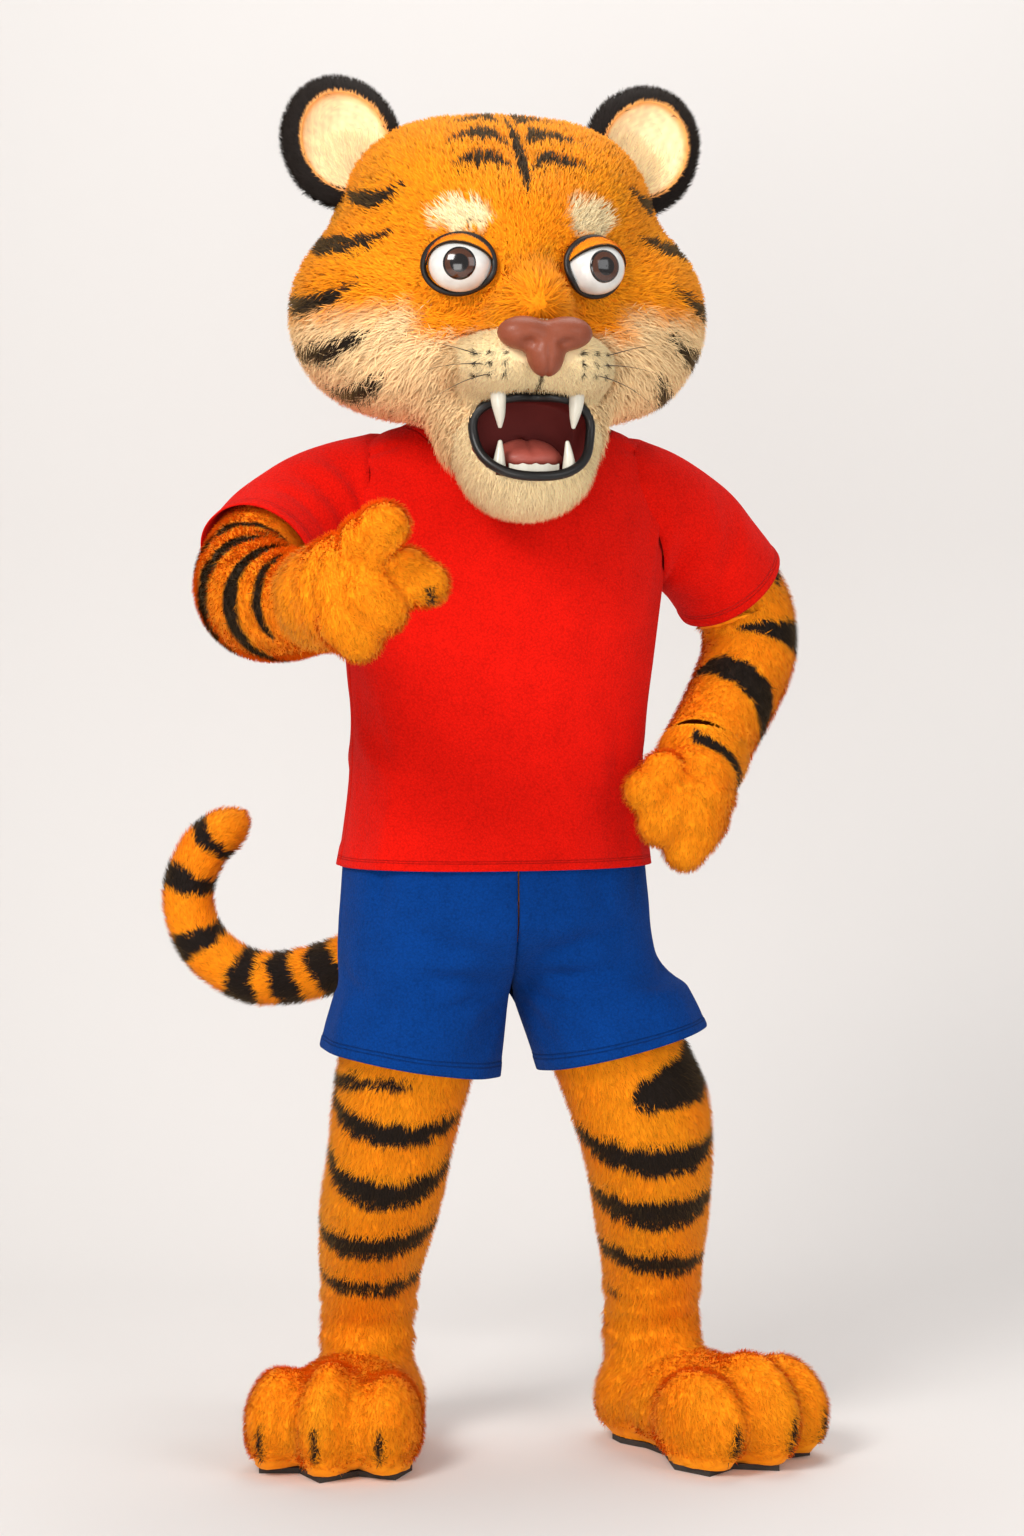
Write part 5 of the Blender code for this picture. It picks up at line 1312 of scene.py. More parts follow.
@dataclass(frozen=True)
class FleeceFinish(Finish):
    """Brushed fleece: clumps of nap, and two rows of stitches along the hem, their grooves darkened as
    painted shade.
    """

    hem: float = 0.03

    def dress(self) -> None:
        """Nap and stitches make the colour and the height, with painted shade in the hem's grooves."""
        tree, shader, where = self.start()
        nap = add(tree, "ShaderNodeGroup", {"Where": where, "Scale": self.grain}, node_tree=NAP).outputs
        cloth = add(tree, "ShaderNodeUVMap", uv_map="cloth").outputs[0]
        sewn = add(
            tree, "ShaderNodeGroup", {"Cloth": cloth, "Depth": self.hem}, node_tree=HEM_STITCHES
        ).outputs
        bright = (*(min(1.0, 1.25 * channel) for channel in self.colour), 1.0)
        deep = (*(0.55 * channel for channel in self.colour), 1.0)
        share = calc(tree, "MULTIPLY_ADD", nap["Tint"], 1.5, 0.1, clamp=True)
        colour = blend(tree, share, deep, bright)
        # Painted shade in the stitched grooves: the colour there is drawn part of the way to the deep colour.
        line = calc(tree, "MULTIPLY", sewn["Groove"], 0.45)
        colour = blend(tree, line, colour, deep)
        tree.links.new(colour, shader.inputs["Base Color"])
        raised = calc(tree, "MULTIPLY", sewn["Thread"], 0.5)
        sunk = calc(tree, "MULTIPLY", sewn["Groove"], 1.6)
        height = calc(tree, "ADD", calc(tree, "SUBTRACT", nap["Height"], sunk), raised)
        inputs = {"Height": height, "Strength": self.bump, "Distance": self.depth}
        tree.links.new(add(tree, "ShaderNodeBump", inputs).outputs[0], shader.inputs["Normal"])


@dataclass(frozen=True)
class IrisFinish(Finish):
    """A painted iris, by the share out: a black pupil, a streaked brown ring and a dark rim."""

    def dress(self) -> None:
        """The share out and the angle round are the piece's own marks."""
        tree, shader, _where = self.start()
        out = add(tree, "ShaderNodeAttribute", attribute_name="out").outputs["Fac"]
        turn = add(tree, "ShaderNodeAttribute", attribute_name="turn").outputs["Fac"]
        spoke = add(
            tree, "ShaderNodeCombineXYZ", {0: turn, 1: calc(tree, "MULTIPLY", out, 0.12)}
        ).outputs[0]
        streaks = noise(tree, spoke, 60.0, 2.0)
        brown = blend(
            tree, streaks, (*(0.4 * channel for channel in self.colour), 1.0), (*self.colour, 1.0)
        )
        pupil = calc(tree, "LESS_THAN", out, 0.56)
        rim = calc(tree, "GREATER_THAN", out, 0.88)
        black = (0.006, 0.004, 0.004, 1.0)
        colour = blend(tree, calc(tree, "MAXIMUM", pupil, rim), brown, black)
        tree.links.new(colour, shader.inputs["Base Color"])


class Look(Enum):
    """The finishes of the costume's pieces."""

    ORANGE_FUR = FurFinish("tiger_fur", (1.0, 0.355, 0.007), roughness=0.75, specular=0.12, sheen=0.18)
    EAR_FUR = FurFinish("ear_fur", (1.0, 0.355, 0.007), roughness=0.7, specular=0.2, sheen=0.02)
    RED = FleeceFinish(
        "brushed_red", (0.98, 0.0085, 0.003), 0.95, 0.06, 0.03, grain=300.0, bump=0.75, depth=0.0022
    )
    RED_SLEEVE = FleeceFinish(
        "brushed_red_sleeve", (0.98, 0.0085, 0.003), 0.95, 0.06, 0.03, grain=300.0, bump=0.75, depth=0.0022,
        hem=SLEEVE_HEM_DEPTH,
    )
    BLUE = FleeceFinish(
        "brushed_blue", (0.002, 0.048, 0.26), 0.95, 0.06, 0.02, grain=300.0, bump=0.75, depth=0.0022,
        hem=SHORTS_HEM_DEPTH,
    )
    NOSE = Finish(
        "nose_pad", (0.30, 0.070, 0.030), 0.46, 0.35, coat=0.06, grain=380.0, bump=0.35, depth=0.0012
    )
    LIP = Finish("lip_roll", (0.008, 0.007, 0.007), 0.42, 0.4, coat=0.08, grain=300.0, bump=0.12)
    RIM = Finish("eye_rim", (0.010, 0.008, 0.008), 0.45, 0.4, grain=500.0, bump=0.2)
    LINING = Finish("mouth_cloth", (0.20, 0.022, 0.018), 0.75, 0.3, grain=700.0, bump=0.3)
    TONGUE = Finish(
        "tongue_pad", (0.42, 0.085, 0.060), 0.5, 0.4, coat=0.1, grain=600.0, bump=0.4, depth=0.001
    )
    TOOTH = Finish("tooth", (0.80, 0.76, 0.64), 0.32, 0.5, coat=0.3, grain=90.0, bump=0.08)
    EYE = Finish("glossy_eye", (0.86, 0.86, 0.83), 0.16, 0.5, coat=0.5, grain=60.0, bump=0.02)
    IRIS = IrisFinish("painted_iris", (0.10, 0.032, 0.014), 0.14, 0.5, coat=0.6)
    WHISKER = Finish("whisker", (0.03, 0.022, 0.018), 0.4, 0.4, grain=200.0, bump=0.05)
    SOLE = Finish("sole_rubber", (0.05, 0.045, 0.04), 0.8, 0.3, grain=500.0, bump=0.5, depth=0.001)

    def on(self, obj: bpy.types.Object) -> bpy.types.Object:
        """Puts this finish on a piece."""
        obj.data.materials.clear()
        obj.data.materials.append(self.value.material())
        return obj


class Garment:
    """What the shirt, the shorts and the fur suit share: panels of cloth made as closed walls."""

    def sewn(
        self,
        name: str,
        patch: Patch,
        size: tuple[float, float],
        thickness: float,
        height: Array | float,
        look: Look,
        flip: bool = False,
    ) -> bpy.types.Object:
        """A panel of cloth on its patch.

        Args:
            name: The node that the panel replaces, and the panel's own name with cloth_ before it.
            patch: The panel's grid.
            size: Its width and length in metres over the whole of u and v.
            thickness: The wall's thickness.
            height: How far folds, hem and seams move it out.
            look: Its finish.
            flip: True where the hem is at v = 0, so that distances from the hem go up with v.

        Returns:
            The panel.
        """
        from_hem = patch.v if flip else 1.0 - patch.v
        uv = np.stack([patch.u * size[0], from_hem * size[1]], axis=-1)
        made = wall(f"cloth_{name}", patch, patch.moved(height), patch.moved(height - thickness), uv)
        look.on(made)
        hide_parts(name)
        LOG.info("%s: %d faces", made.name, len(made.data.polygons))
        return made

    def declared(
        self, panel: bpy.types.Object, slot: str, held: str, rests_on: Sequence[str]
    ) -> bpy.types.Object:
        """Works out the flat rectangle that the panel is cut from, and gives the panel back."""
        width, length, area = flat_size(panel)
        return panel


def flat_size(panel: bpy.types.Object) -> tuple[float, float, float]:
    """The smallest flat rectangle that a panel is cut from, and its own area, which is half of its wall's."""
    mesh = panel.data
    area = np.zeros(len(mesh.polygons))
    mesh.polygons.foreach_get("area", area)
    spots = np.zeros(len(mesh.loops) * 2)
    mesh.uv_layers["cloth"].data.foreach_get("uv", spots)
    spots = spots.reshape(-1, 2)
    width, length = (float(side) for side in np.ptp(spots, axis=0))
    half = float(area.sum()) / 2
    fit = max(1.0, half / (width * length) * 1.002)
    return width * fit, length, min(half, width * length * fit)


def seam_roll(patch: Patch, wide: float, start: float, stop: float) -> Array:
    """How far a panel's long edges roll in at their seams: 1.6 mm * exp(-(distance / 3.5 mm) squared)."""
    gap = np.minimum(np.abs(patch.u - start), np.abs(stop - patch.u)) * wide
    return -0.0016 * np.exp(-((gap / 0.0035) ** 2))


def hem_lift(distance: Array, depth: float) -> Array:
    """How far a turned-up hem stands out: 1.4 mm up to its depth, pressed in along the stitches."""
    lift = 0.0014 * (1.0 - soft_step(distance, depth - 0.001, depth + 0.002))
    return lift - 0.0012 * np.exp(-(((distance - depth + 0.002) / 0.0022) ** 2))


def ring_value(rows: Sequence[Section], points: Array) -> Array:
    """The superellipse's own value at the point's height: below nought inside a torso's rings."""
    shares = np.linspace(0.0, 1.0, 240)
    table = along(rows, shares)
    height = points[..., 2]
    half_width, half_depth, centre_y = (
        np.interp(height, table[:, 0], table[:, index]) for index in (1, 2, 3)
    )
    flat = points.copy()
    flat[..., 0] -= leaning(height)
    local = turned(flat, -BODY_TURN)
    across = np.abs(local[..., 0] / half_width) ** TORSO_SQUARENESS
    deep = np.abs((local[..., 1] - centre_y) / half_depth) ** TORSO_SQUARENESS
    return np.where(height > table[-1, 0], 1.0, across + deep - 1.0)


def crossing(form: Form, u: Array, low: float, high: float, value: Callable[[Array], Array]) -> Array:
    """The share v at which a form's points pass from one sign of value to the other, by halving the span."""
    start, stop = np.full(u.shape, low), np.full(u.shape, high)
    sign = np.sign(value(form.points(u, start)))
    for _ in range(26):
        middle = (start + stop) / 2
        same = np.sign(value(form.points(u, middle))) == sign
        start, stop = np.where(same, middle, start), np.where(same, stop, middle)
    return (start + stop) / 2


@dataclass
class Shirt(Garment):
    """The T-shirt: front, back, two sleeves and a neckband."""

    around: float = 1.26
    long: float = 0.66
    sleeve_around: float = 0.56
    sleeve_long: float = 0.26
    armhole: float = 0.074
    spacing: float = 0.0073

    def neckline(self, widen: float) -> Callable[[Array], Array]:
        """The neckline's oval as a value at points above the floor: below nought inside it."""
        half = np.array(NECKLINE_HALF) + widen

        def value(points: Array) -> Array:
            """The oval's own value, in a frame that is tilted forward and turned with the body."""
            local = turned(points, -BODY_TURN) - np.array(NECKLINE_AT)
            cosine, sine = math.cos(NECKLINE_TILT), math.sin(NECKLINE_TILT)
            across, deep = local[..., 0], local[..., 1] * cosine + local[..., 2] * sine
            up = local[..., 2] * cosine - local[..., 1] * sine
            return np.where(
                up > -NECKLINE_DEPTH, (across / half[0]) ** 2 + (deep / half[1]) ** 2 - 1.0, 1.0
            )

        return value

    def panel(self, name: str, start: float, creases: Sequence[Crease]) -> bpy.types.Object:
        """Half of the body, from one side seam to the other and from the hem up to the neckband."""
        form = TorsoForm(TORSO)
        edge = 0.0025 / self.around
        gap = 0.0006 / self.around
        columns = even(start + gap, start + 0.5 - gap, int(0.5 * self.around / self.spacing), edge)
        top = crossing(form, columns, 0.55, 1.0, self.neckline(NECKBAND_WIDTH))
        hem = SHIRT_HEM_DEPTH / self.long
        shares = np.unique(
            np.concatenate(
                [even(0.0, 1.0, int(self.long / self.spacing)), hem + np.array([-0.004, 0.0, 0.003])]
            )
        )
        u, share = np.meshgrid(columns, shares)
        patch = Patch.over(form, u, share * top[None, :])
        inside = np.zeros(u.shape, bool)
        for stations in (SLEEVE_RIGHT, SLEEVE_LEFT):
            axis = along(stations, np.linspace(0.0, 0.45, 12))[:, :3]
            near = np.linalg.norm(patch.points[..., None, :] - axis, axis=-1).min(axis=-1)
            inside |= near < self.armhole
        patch.keep = ~all_corners(inside)
        from_hem = patch.points[..., 2] - TORSO[0].height
        height = creases_height(creases, patch, self.around, self.long) + seam_roll(
            patch, self.around, start, start + 0.5
        )
        height += hem_lift(from_hem, SHIRT_HEM_DEPTH) + 0.0012 * ripple(patch.points, 0.11, 3)
        height += 0.0035 * np.exp(-from_hem / 0.10) * ripple(patch.points * [1, 1, 0.2], 0.17, 8)
        height = np.maximum(height, -0.0045 + 0.0030 * soft_step(-from_hem, -0.16, -0.08))
        top_fade = soft_step(self.long * (top[None, :] - patch.v), 0.0, 0.02)
        return self.sewn(
            name, patch, (self.around, self.long), FLEECE, height * top_fade, Look.RED, flip=True
        )

    def neckband(self) -> bpy.types.Object:
        """The band round the neck, rounded over like ribbed tape."""
        form = TorsoForm(TORSO)
        columns = even(0.0, 1.0, 130)
        low = crossing(form, columns, 0.55, 1.0, self.neckline(NECKBAND_WIDTH - 0.0008))
        high = crossing(form, columns, 0.55, 1.0, self.neckline(0.0))
        share = even(0.0, 1.0, 9)[:, None]
        patch = Patch.over(
            form, np.broadcast_to(columns, (9, 130)).copy(), low + (high - low) * share, closed=True
        )
        height = 0.0016 * np.sin(math.pi * share) + np.zeros(patch.u.shape)
        patch.v = np.broadcast_to(share, patch.u.shape)
        return self.sewn("neckband", patch, (0.80, 1.15 * NECKBAND_WIDTH), FLEECE, height, Look.RED)

    def sleeve(
        self, name: str, stations: tuple, reference: tuple, creases: Sequence[Crease]
    ) -> bpy.types.Object:
        """A sleeve from its armhole seam, where the tube leaves the body, to its hem."""
        form = LimbForm(stations, reference)
        columns = even(0.0, 1.0, int(self.sleeve_around / self.spacing) + 1)
        start = crossing(form, columns, 0.0, 0.6, lambda points: ring_value(TORSO, points)) - 0.004
        shares = np.unique(np.concatenate([even(0.0, 1.0, 40), [0.008, 0.02, 0.9, 0.91, 0.92]]))[:, None]
        patch = Patch.over(
            form, np.broadcast_to(columns, (len(shares), len(columns))).copy(),
            start + (1 - start) * shares, True,
        )
        height = creases_height(creases, patch, self.sleeve_around, self.sleeve_long)
        height += 0.0012 * ripple(patch.points, 0.10, 4)
        height *= soft_step(shares, 0.0, 0.10)
        height += hem_lift((1 - shares) * self.sleeve_long * 0.9, SLEEVE_HEM_DEPTH)
        height += 0.0022 * np.exp(-(((shares - 0.045) / 0.03) ** 2)) - 0.0012
        return self.sewn(
            name, patch, (self.sleeve_around, self.sleeve_long), FLEECE, height, Look.RED_SLEEVE
        )

    def build(self) -> None:
        pieces = [
            self.panel("shirt_front", 0.5, SHIRT_FRONT_CREASES),
            self.panel("shirt_back", 0.0, SHIRT_BACK_CREASES),
            self.sleeve("sleeve_right", SLEEVE_RIGHT, (0.0, 0.0, 1.0), SLEEVE_RIGHT_CREASES),
            self.sleeve("sleeve_left", SLEEVE_LEFT, (0.0, 1.0, 0.0), SLEEVE_LEFT_CREASES),
            self.neckband(),
        ]
        for piece in pieces:
            self.declared(piece, "red_fleece", "stretched", ["suit_front", "suit_back"])


@dataclass
class Shorts(Garment):
    """The shorts: four panels and a waistband."""

    wide: float = 0.30
    long: float = 0.315
    spacing: float = 0.0068

    def panel(self, name: str, side: int, start: float, creases: Sequence[Crease]) -> bpy.types.Object:
        """A front (start 0) or back (start 1) panel of one leg, from its middle seam to its side seam."""
        form = TrouserForm(SHORTS[side], side, SHORTS_LEG_RISE[side])
        gap = 0.0012
        columns = even(start + gap, start + 1.0 - gap, int(self.wide / self.spacing) + 4, 0.008)
        hem = 1.0 - SHORTS_HEM_DEPTH / self.long
        rows = np.unique(
            np.concatenate(
                [even(0.0, 1.0, int(self.long / self.spacing)), hem + np.array([-0.008, 0.0, 0.006])]
            )
        )
        patch = Patch.over(form, columns, rows)
        if start > 0.0:
            axis = along(TAIL, np.linspace(0.0, 0.3, 10))[:, :3]
            near = np.linalg.norm(patch.points[..., None, :] - axis, axis=-1).min(axis=-1) < 0.037
            patch.keep = ~all_corners(near)
        from_hem = (1.0 - patch.v) * self.long
        height = creases_height(creases, patch, self.wide, self.long)
        height += 0.0012 * ripple(patch.points, 0.09, 6 + side)
        height += 0.003 * np.exp(-from_hem / 0.07) * ripple(patch.points * [1, 1, 0.2], 0.12, 9)
        height *= soft_step(np.minimum(np.abs(patch.u), np.abs(2.0 - patch.u)), 0.0, 0.12)
        height += seam_roll(patch, self.wide, start, start + 1.0) + hem_lift(from_hem, SHORTS_HEM_DEPTH)
        height += 0.0008
        return self.sewn(name, patch, (self.wide, self.long), FLEECE, height, Look.BLUE)

    def build(self) -> None:
        for side, side_name in ((RIGHT, "right"), (LEFT, "left")):
            for part, start in (("front", 0.0), ("back", 1.0)):
                name = f"shorts_{part}_{side_name}"
                panel = self.panel(name, side, start, SHORTS_CREASES[part, side])
                self.declared(panel, "blue_fleece", "stretched", [f"leg_{side_name}"])
        form = TorsoForm(WAISTBAND)
        patch = Patch.over(form, even(0.0, 1.0, 121), even(0.0, 1.0, 7), closed=True)
        height = 0.0008 * np.sin(patch.u * 2 * math.pi * 70) * np.sin(math.pi * patch.v)
        band = self.sewn("waistband", patch, (1.17, 0.031), 1.4 * FLEECE, height, Look.BLUE)
        self.declared(band, "blue_fleece", "gathered", ["suit_front", "suit_back"])


@dataclass(frozen=True)
class CappedLimbForm(Form):
    """A stuffed limb: the limb's rings up to v = 0.94, and a dome over its last ring beyond that."""

    limb: LimbForm
    cap: float = 0.06

    def points(self, u: Array, v: Array) -> Array:
        """Past the last ring each point is end + spread * cos + way * radius * sin of the dome's angle."""
        share = v / (1.0 - self.cap)
        ring = self.limb.points(u, np.minimum(share, 1.0))
        last = np.array(self.limb.stations[-1][:3])
        way = unit(last - along(self.limb.stations, np.array(0.985))[:3])
        angle = (np.clip((v - 1.0 + self.cap) / self.cap, 0.0, 0.999) * math.pi / 2)[..., None]
        dome = last + (ring - last) * np.cos(angle) + way * self.limb.stations[-1][3] * np.sin(angle)
        return np.where(v[..., None] <= 1.0 - self.cap, ring, dome)


def lie(form: Form, patch: Patch) -> Array:
    """The way that fur lies on a limb: along v, by the surface's own slope."""
    ahead = form.points(patch.u, np.minimum(patch.v + 0.01, 1.0))
    return unit(ahead - form.points(patch.u, np.maximum(patch.v - 0.01, 0.0)))


def no_stripes(points: Array, _u: Array, _v: Array) -> tuple[Array, Array]:
    """A coat of the body's colour alone."""
    return np.zeros(len(points)), np.zeros(len(points))


@dataclass
class FurSuit(Garment):
    """The fur suit: body, arms, legs and tail, each a backing cloth with its pile."""

    spacing: float = 0.0085
    short: Pile = Pile(per_area=150_000.0, length=0.0125, rise=0.0084, width=0.0018)
    backing: float = 0.0015

    def furred(
        self,
        name: str,
        form: Form,
        patch: Patch,
        size: tuple[float, float],
        coat: Coat,
        where: Array,
        pile: Pile,
        seed: int,
        hang: float = 0.0,
    ) -> bpy.types.Object:
        """A backing under the pile, and the pile, whose tips reach the solid's own surface.

        Args:
            name: The node that the piece replaces.
            form: The solid's surface.
            patch: The piece's grid over it.
            size: Its width and length over the whole of u and v.
            coat: Its colours.
            where: How thickly the pile stands, 0 under the clothes.
            pile: The pile.
            seed: The seed of its dice.
            hang: How much the pile is drawn straight down, against its way along the piece.

        Returns:
            The backing, with its pile parented to the same body.
        """
        sunk = -SUIT_FUR + self.backing + 0.0006 * ripple(patch.points, 0.05, seed)
        base = patch.moved(sunk)
        flat = patch.points.reshape(-1, 3)
        dark, pale = coat(flat, patch.u.ravel(), patch.v.ravel())
        tone = 0.5 + 0.4 * ripple(patch.points, 0.012, seed)
        uv = np.stack([patch.u * size[0], patch.v * size[1]], axis=-1)
        # The backing is coloured 0.8 of the way from root to tip: painted shade under the pile.
        tip = np.full(patch.u.shape, 0.8)
        skin = wall(
            f"backing_{name}", patch, base, patch.moved(sunk - self.backing), uv, dark=dark, pale=pale,
            tone=tone, tip=tip,
        )
        Look.ORANGE_FUR.on(skin)
        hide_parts(name)
        flow = unit(lie(form, patch) - hang * np.array([0.0, 0.0, 1.0]))
        hair = pile.grow(f"pile_{name}", patch, base, flow, coat, where=where, seed=seed)
        Look.ORANGE_FUR.on(hair)
        width, length, area = flat_size(skin)
        LOG.info("%s: %d faces and %d strands", skin.name, len(skin.data.polygons), len(hair.data.polygons))
        return skin

    def arm(
        self, side_name: str, stations: tuple, reference: tuple, bands: Sequence[Band], seed: int
    ) -> None:
        """An arm panel wrapped round from the body to the wrist, furred below the sleeve."""
        form = LimbForm(stations, reference)
        columns = even(0.0, 1.0, int(0.50 / self.spacing) + 1)
        start = crossing(form, columns, 0.0, 0.6, lambda points: ring_value(SUIT_BODY, points))
        shares = even(0.0, 1.0, 66)[:, None]
        patch = Patch.over(
            form, np.broadcast_to(columns, (66, len(columns))).copy(), start + (1 - start) * shares, True
        )

        def coat(points: Array, u: Array, v: Array) -> tuple[Array, Array]:
            """Stripes at shares along the arm, uneven at their edges."""
            uneven = v + 0.006 * ripple(points, 0.03, seed)
            return bands_mask(bands, uneven, u * 360.0, 0.002), np.zeros(len(points))

        where = soft_step(patch.v, 0.36, 0.38)
        self.furred(f"arm_{side_name}", form, patch, (0.50, 0.60), coat, where, self.short, seed, hang=0.8)

    def leg(self, side_name: str, side: int, bands: Sequence[Band], seed: int) -> None:
        """A leg panel from waist to ankle, furred below the shorts, with soft wrinkles over the boot."""
        form = TrouserForm(SUIT_LEGS[side], side)
        gap = 0.0015
        columns = even(gap, 2.0 - gap, int(0.60 / self.spacing))
        stop = crossing(form, columns, 0.6, 1.0, lambda points: points[..., 2] - ANKLE_HEIGHT)
        shares = even(0.0, 1.0, 84)[:, None]
        patch = Patch.over(form, np.broadcast_to(columns, (84, len(columns))).copy(), stop * shares)
        height = patch.points[..., 2]
        ring = 0.0030 * np.sin(
            (height - ANKLE_HEIGHT) * 2 * math.pi / 0.034 + 1.8 * ripple(patch.points, 0.15, seed)
        )
        ring *= soft_step(-height, -0.262, -0.205) * soft_step(height, ANKLE_HEIGHT, ANKLE_HEIGHT + 0.012)
        patch.points = patch.moved(ring - 0.0040 * soft_step(-height, -ANKLE_HEIGHT - 0.022, -ANKLE_HEIGHT))

        def coat(points: Array, u: Array, _v: Array) -> tuple[Array, Array]:
            """Stripes at heights on the leg, uneven at their edges."""
            uneven = points[:, 2] + 0.004 * ripple(points, 0.03, seed)
            return bands_mask(bands, uneven, side * (u - 0.5) * 180.0, 0.0012), np.zeros(len(points))

        where = soft_step(-height, -0.62, -0.60)
        self.furred(f"leg_{side_name}", form, patch, (0.31, 0.70), coat, where, self.short, seed)

    def body(self, name: str, start: float, seed: int) -> None:
        """The body's front or back, hidden under the shirt but for the furred neck."""
        form = TorsoForm(SUIT_BODY)
        patch = Patch.over(form, even(start + 0.0005, start + 0.4995, 58), even(0.0, 1.0, 60))
        inside = np.zeros(patch.u.shape, bool)
        for stations in (ARM_RIGHT, ARM_LEFT):
            axis = along(stations, np.linspace(0.0, 0.4, 12))[:, :3]
            inside |= np.linalg.norm(patch.points[..., None, :] - axis, axis=-1).min(axis=-1) < 0.058
        patch.keep = ~all_corners(inside)
        where = soft_step(patch.points[..., 2], 1.435, 1.455)
        self.furred(name, form, patch, (1.20, 0.68), no_stripes, where, self.short, seed)

    def tail(self) -> None:
        """The stuffed tail, banded from the shorts to its plain tip."""
        form = CappedLimbForm(LimbForm(TAIL, (0.0, 1.0, 0.0)))
        patch = Patch.over(form, even(0.0, 1.0, 37), even(0.06, 0.996, 110), closed=True)
        bend = soft_step(patch.v, 0.90, 0.925)[1:-1, :, None] * soft_step(
            -patch.v, -0.985, -0.965
        )[1:-1, :, None]
        for _ in range(12):
            between = (patch.points[:-2] + patch.points[2:]) / 2
            patch.points[1:-1] += 0.5 * bend * (between - patch.points[1:-1])
        around = np.roll(patch.points[:, :-1], -1, axis=1) - np.roll(patch.points[:, :-1], 1, axis=1)
        around = np.concatenate([around, around[:, :1]], axis=1)
        patch.normals = unit(np.cross(around, np.gradient(patch.points, axis=0)))

        def coat(points: Array, u: Array, v: Array) -> tuple[Array, Array]:
            """Bands right round the tail, each a little wavy."""
            uneven = v + 0.006 * np.sin(4 * math.pi * u + 9.0 * v) + 0.005 * ripple(points, 0.03, 21)
            gap = np.abs(uneven[:, None] - np.array(TAIL_BANDS)[:, 0]) - np.array(TAIL_BANDS)[:, 1]
            return soft_step(-gap.min(axis=1), -0.002, 0.002), np.zeros(len(points))

        where = np.ones(patch.u.shape)
        self.furred("tail", form, patch, (0.28, 0.86), coat, where, self.short, 31)

    def build(self) -> None:
        """Makes every piece of the suit."""
        self.body("suit_front", 0.5, 41)
        self.body("suit_back", 0.0, 42)
        self.arm("right", ARM_RIGHT, (0.0, 0.0, 1.0), ARM_BANDS[RIGHT], 43)
        self.arm("left", ARM_LEFT, (0.0, 1.0, 0.0), ARM_BANDS[LEFT], 44)
        self.leg("right", RIGHT, LEG_BANDS[RIGHT], 45)
        self.leg("left", LEFT, LEG_BANDS[LEFT], 46)
        self.tail()


@dataclass
class Padding:
    """A furred foam piece worked out by rays from its middle."""

    form: PaddedForm
    across: int
    levels: int

    def patch(self) -> tuple[Patch, Array]:
        """The piece's grid, and its points in its own frame."""
        u, v = np.meshgrid(even(0.0, 1.0, self.across + 1), even(0.004, 0.996, self.levels))
        local = self.form.local(u, v)
        local[:, -1] = local[:, 0]
        normals = self.form.normals_at(local)
        patch = Patch(u, v, self.form.placed(local), turned(normals, self.form.turn), True)
        return patch, local


def dressed_padding(
    name: str,
    nodes: Sequence[str],
    patch: Patch,
    sunk: float,
    thick: float,
    flow: Array,
    coat: Coat,
    pile: Pile,
    seed: int,
    look: Look = Look.ORANGE_FUR,
    where: Array | None = None,
    stretch: Array | None = None,
    floor: float | None = None,
) -> bpy.types.Object:
    """A padded piece with its fur.

    Args:
        name: The piece's name.
        nodes: The nodes that it replaces.
        patch: Its grid.
        sunk: How far the skin lies under the solid's surface.
        thick: The padding's thickness.
        flow: The way that the fur lies.
        coat: Its colours.
        pile: Its strands.
        seed: The seed of its dice.
        look: Its finish.
        where: How thickly the strands stand.
        stretch: How long they are, as a share.
        floor: The least height of its skin.

    Returns:
        The padded piece.
    """
    base = patch.moved(-sunk + 0.0008 * ripple(patch.points, 0.06, seed))
    inner = patch.moved(-sunk - thick)
    if floor is not None:
        base[..., 2] = np.maximum(base[..., 2], floor)
        inner[..., 2] = np.maximum(inner[..., 2], floor + thick)
    dark, pale = coat(patch.points.reshape(-1, 3), patch.u.ravel(), patch.v.ravel())
    tone = 0.5 + 0.4 * ripple(patch.points, 0.012, seed)
    # The skin is coloured 0.8 of the way from root to tip: painted shade under the pile.
    tip = np.full(patch.u.shape, 0.8)
    skin = wall(f"pad_{name}", patch, base, inner, None, dark=dark, pale=pale, tone=tone, tip=tip)
    look.on(skin)
    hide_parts(*nodes)
    hair = pile.grow(f"pile_{name}", patch, base, flow, coat, where, stretch, seed)
    look.on(hair)
    LOG.info("%s: %d faces and %d strands", skin.name, len(skin.data.polygons), len(hair.data.polygons))
    return skin


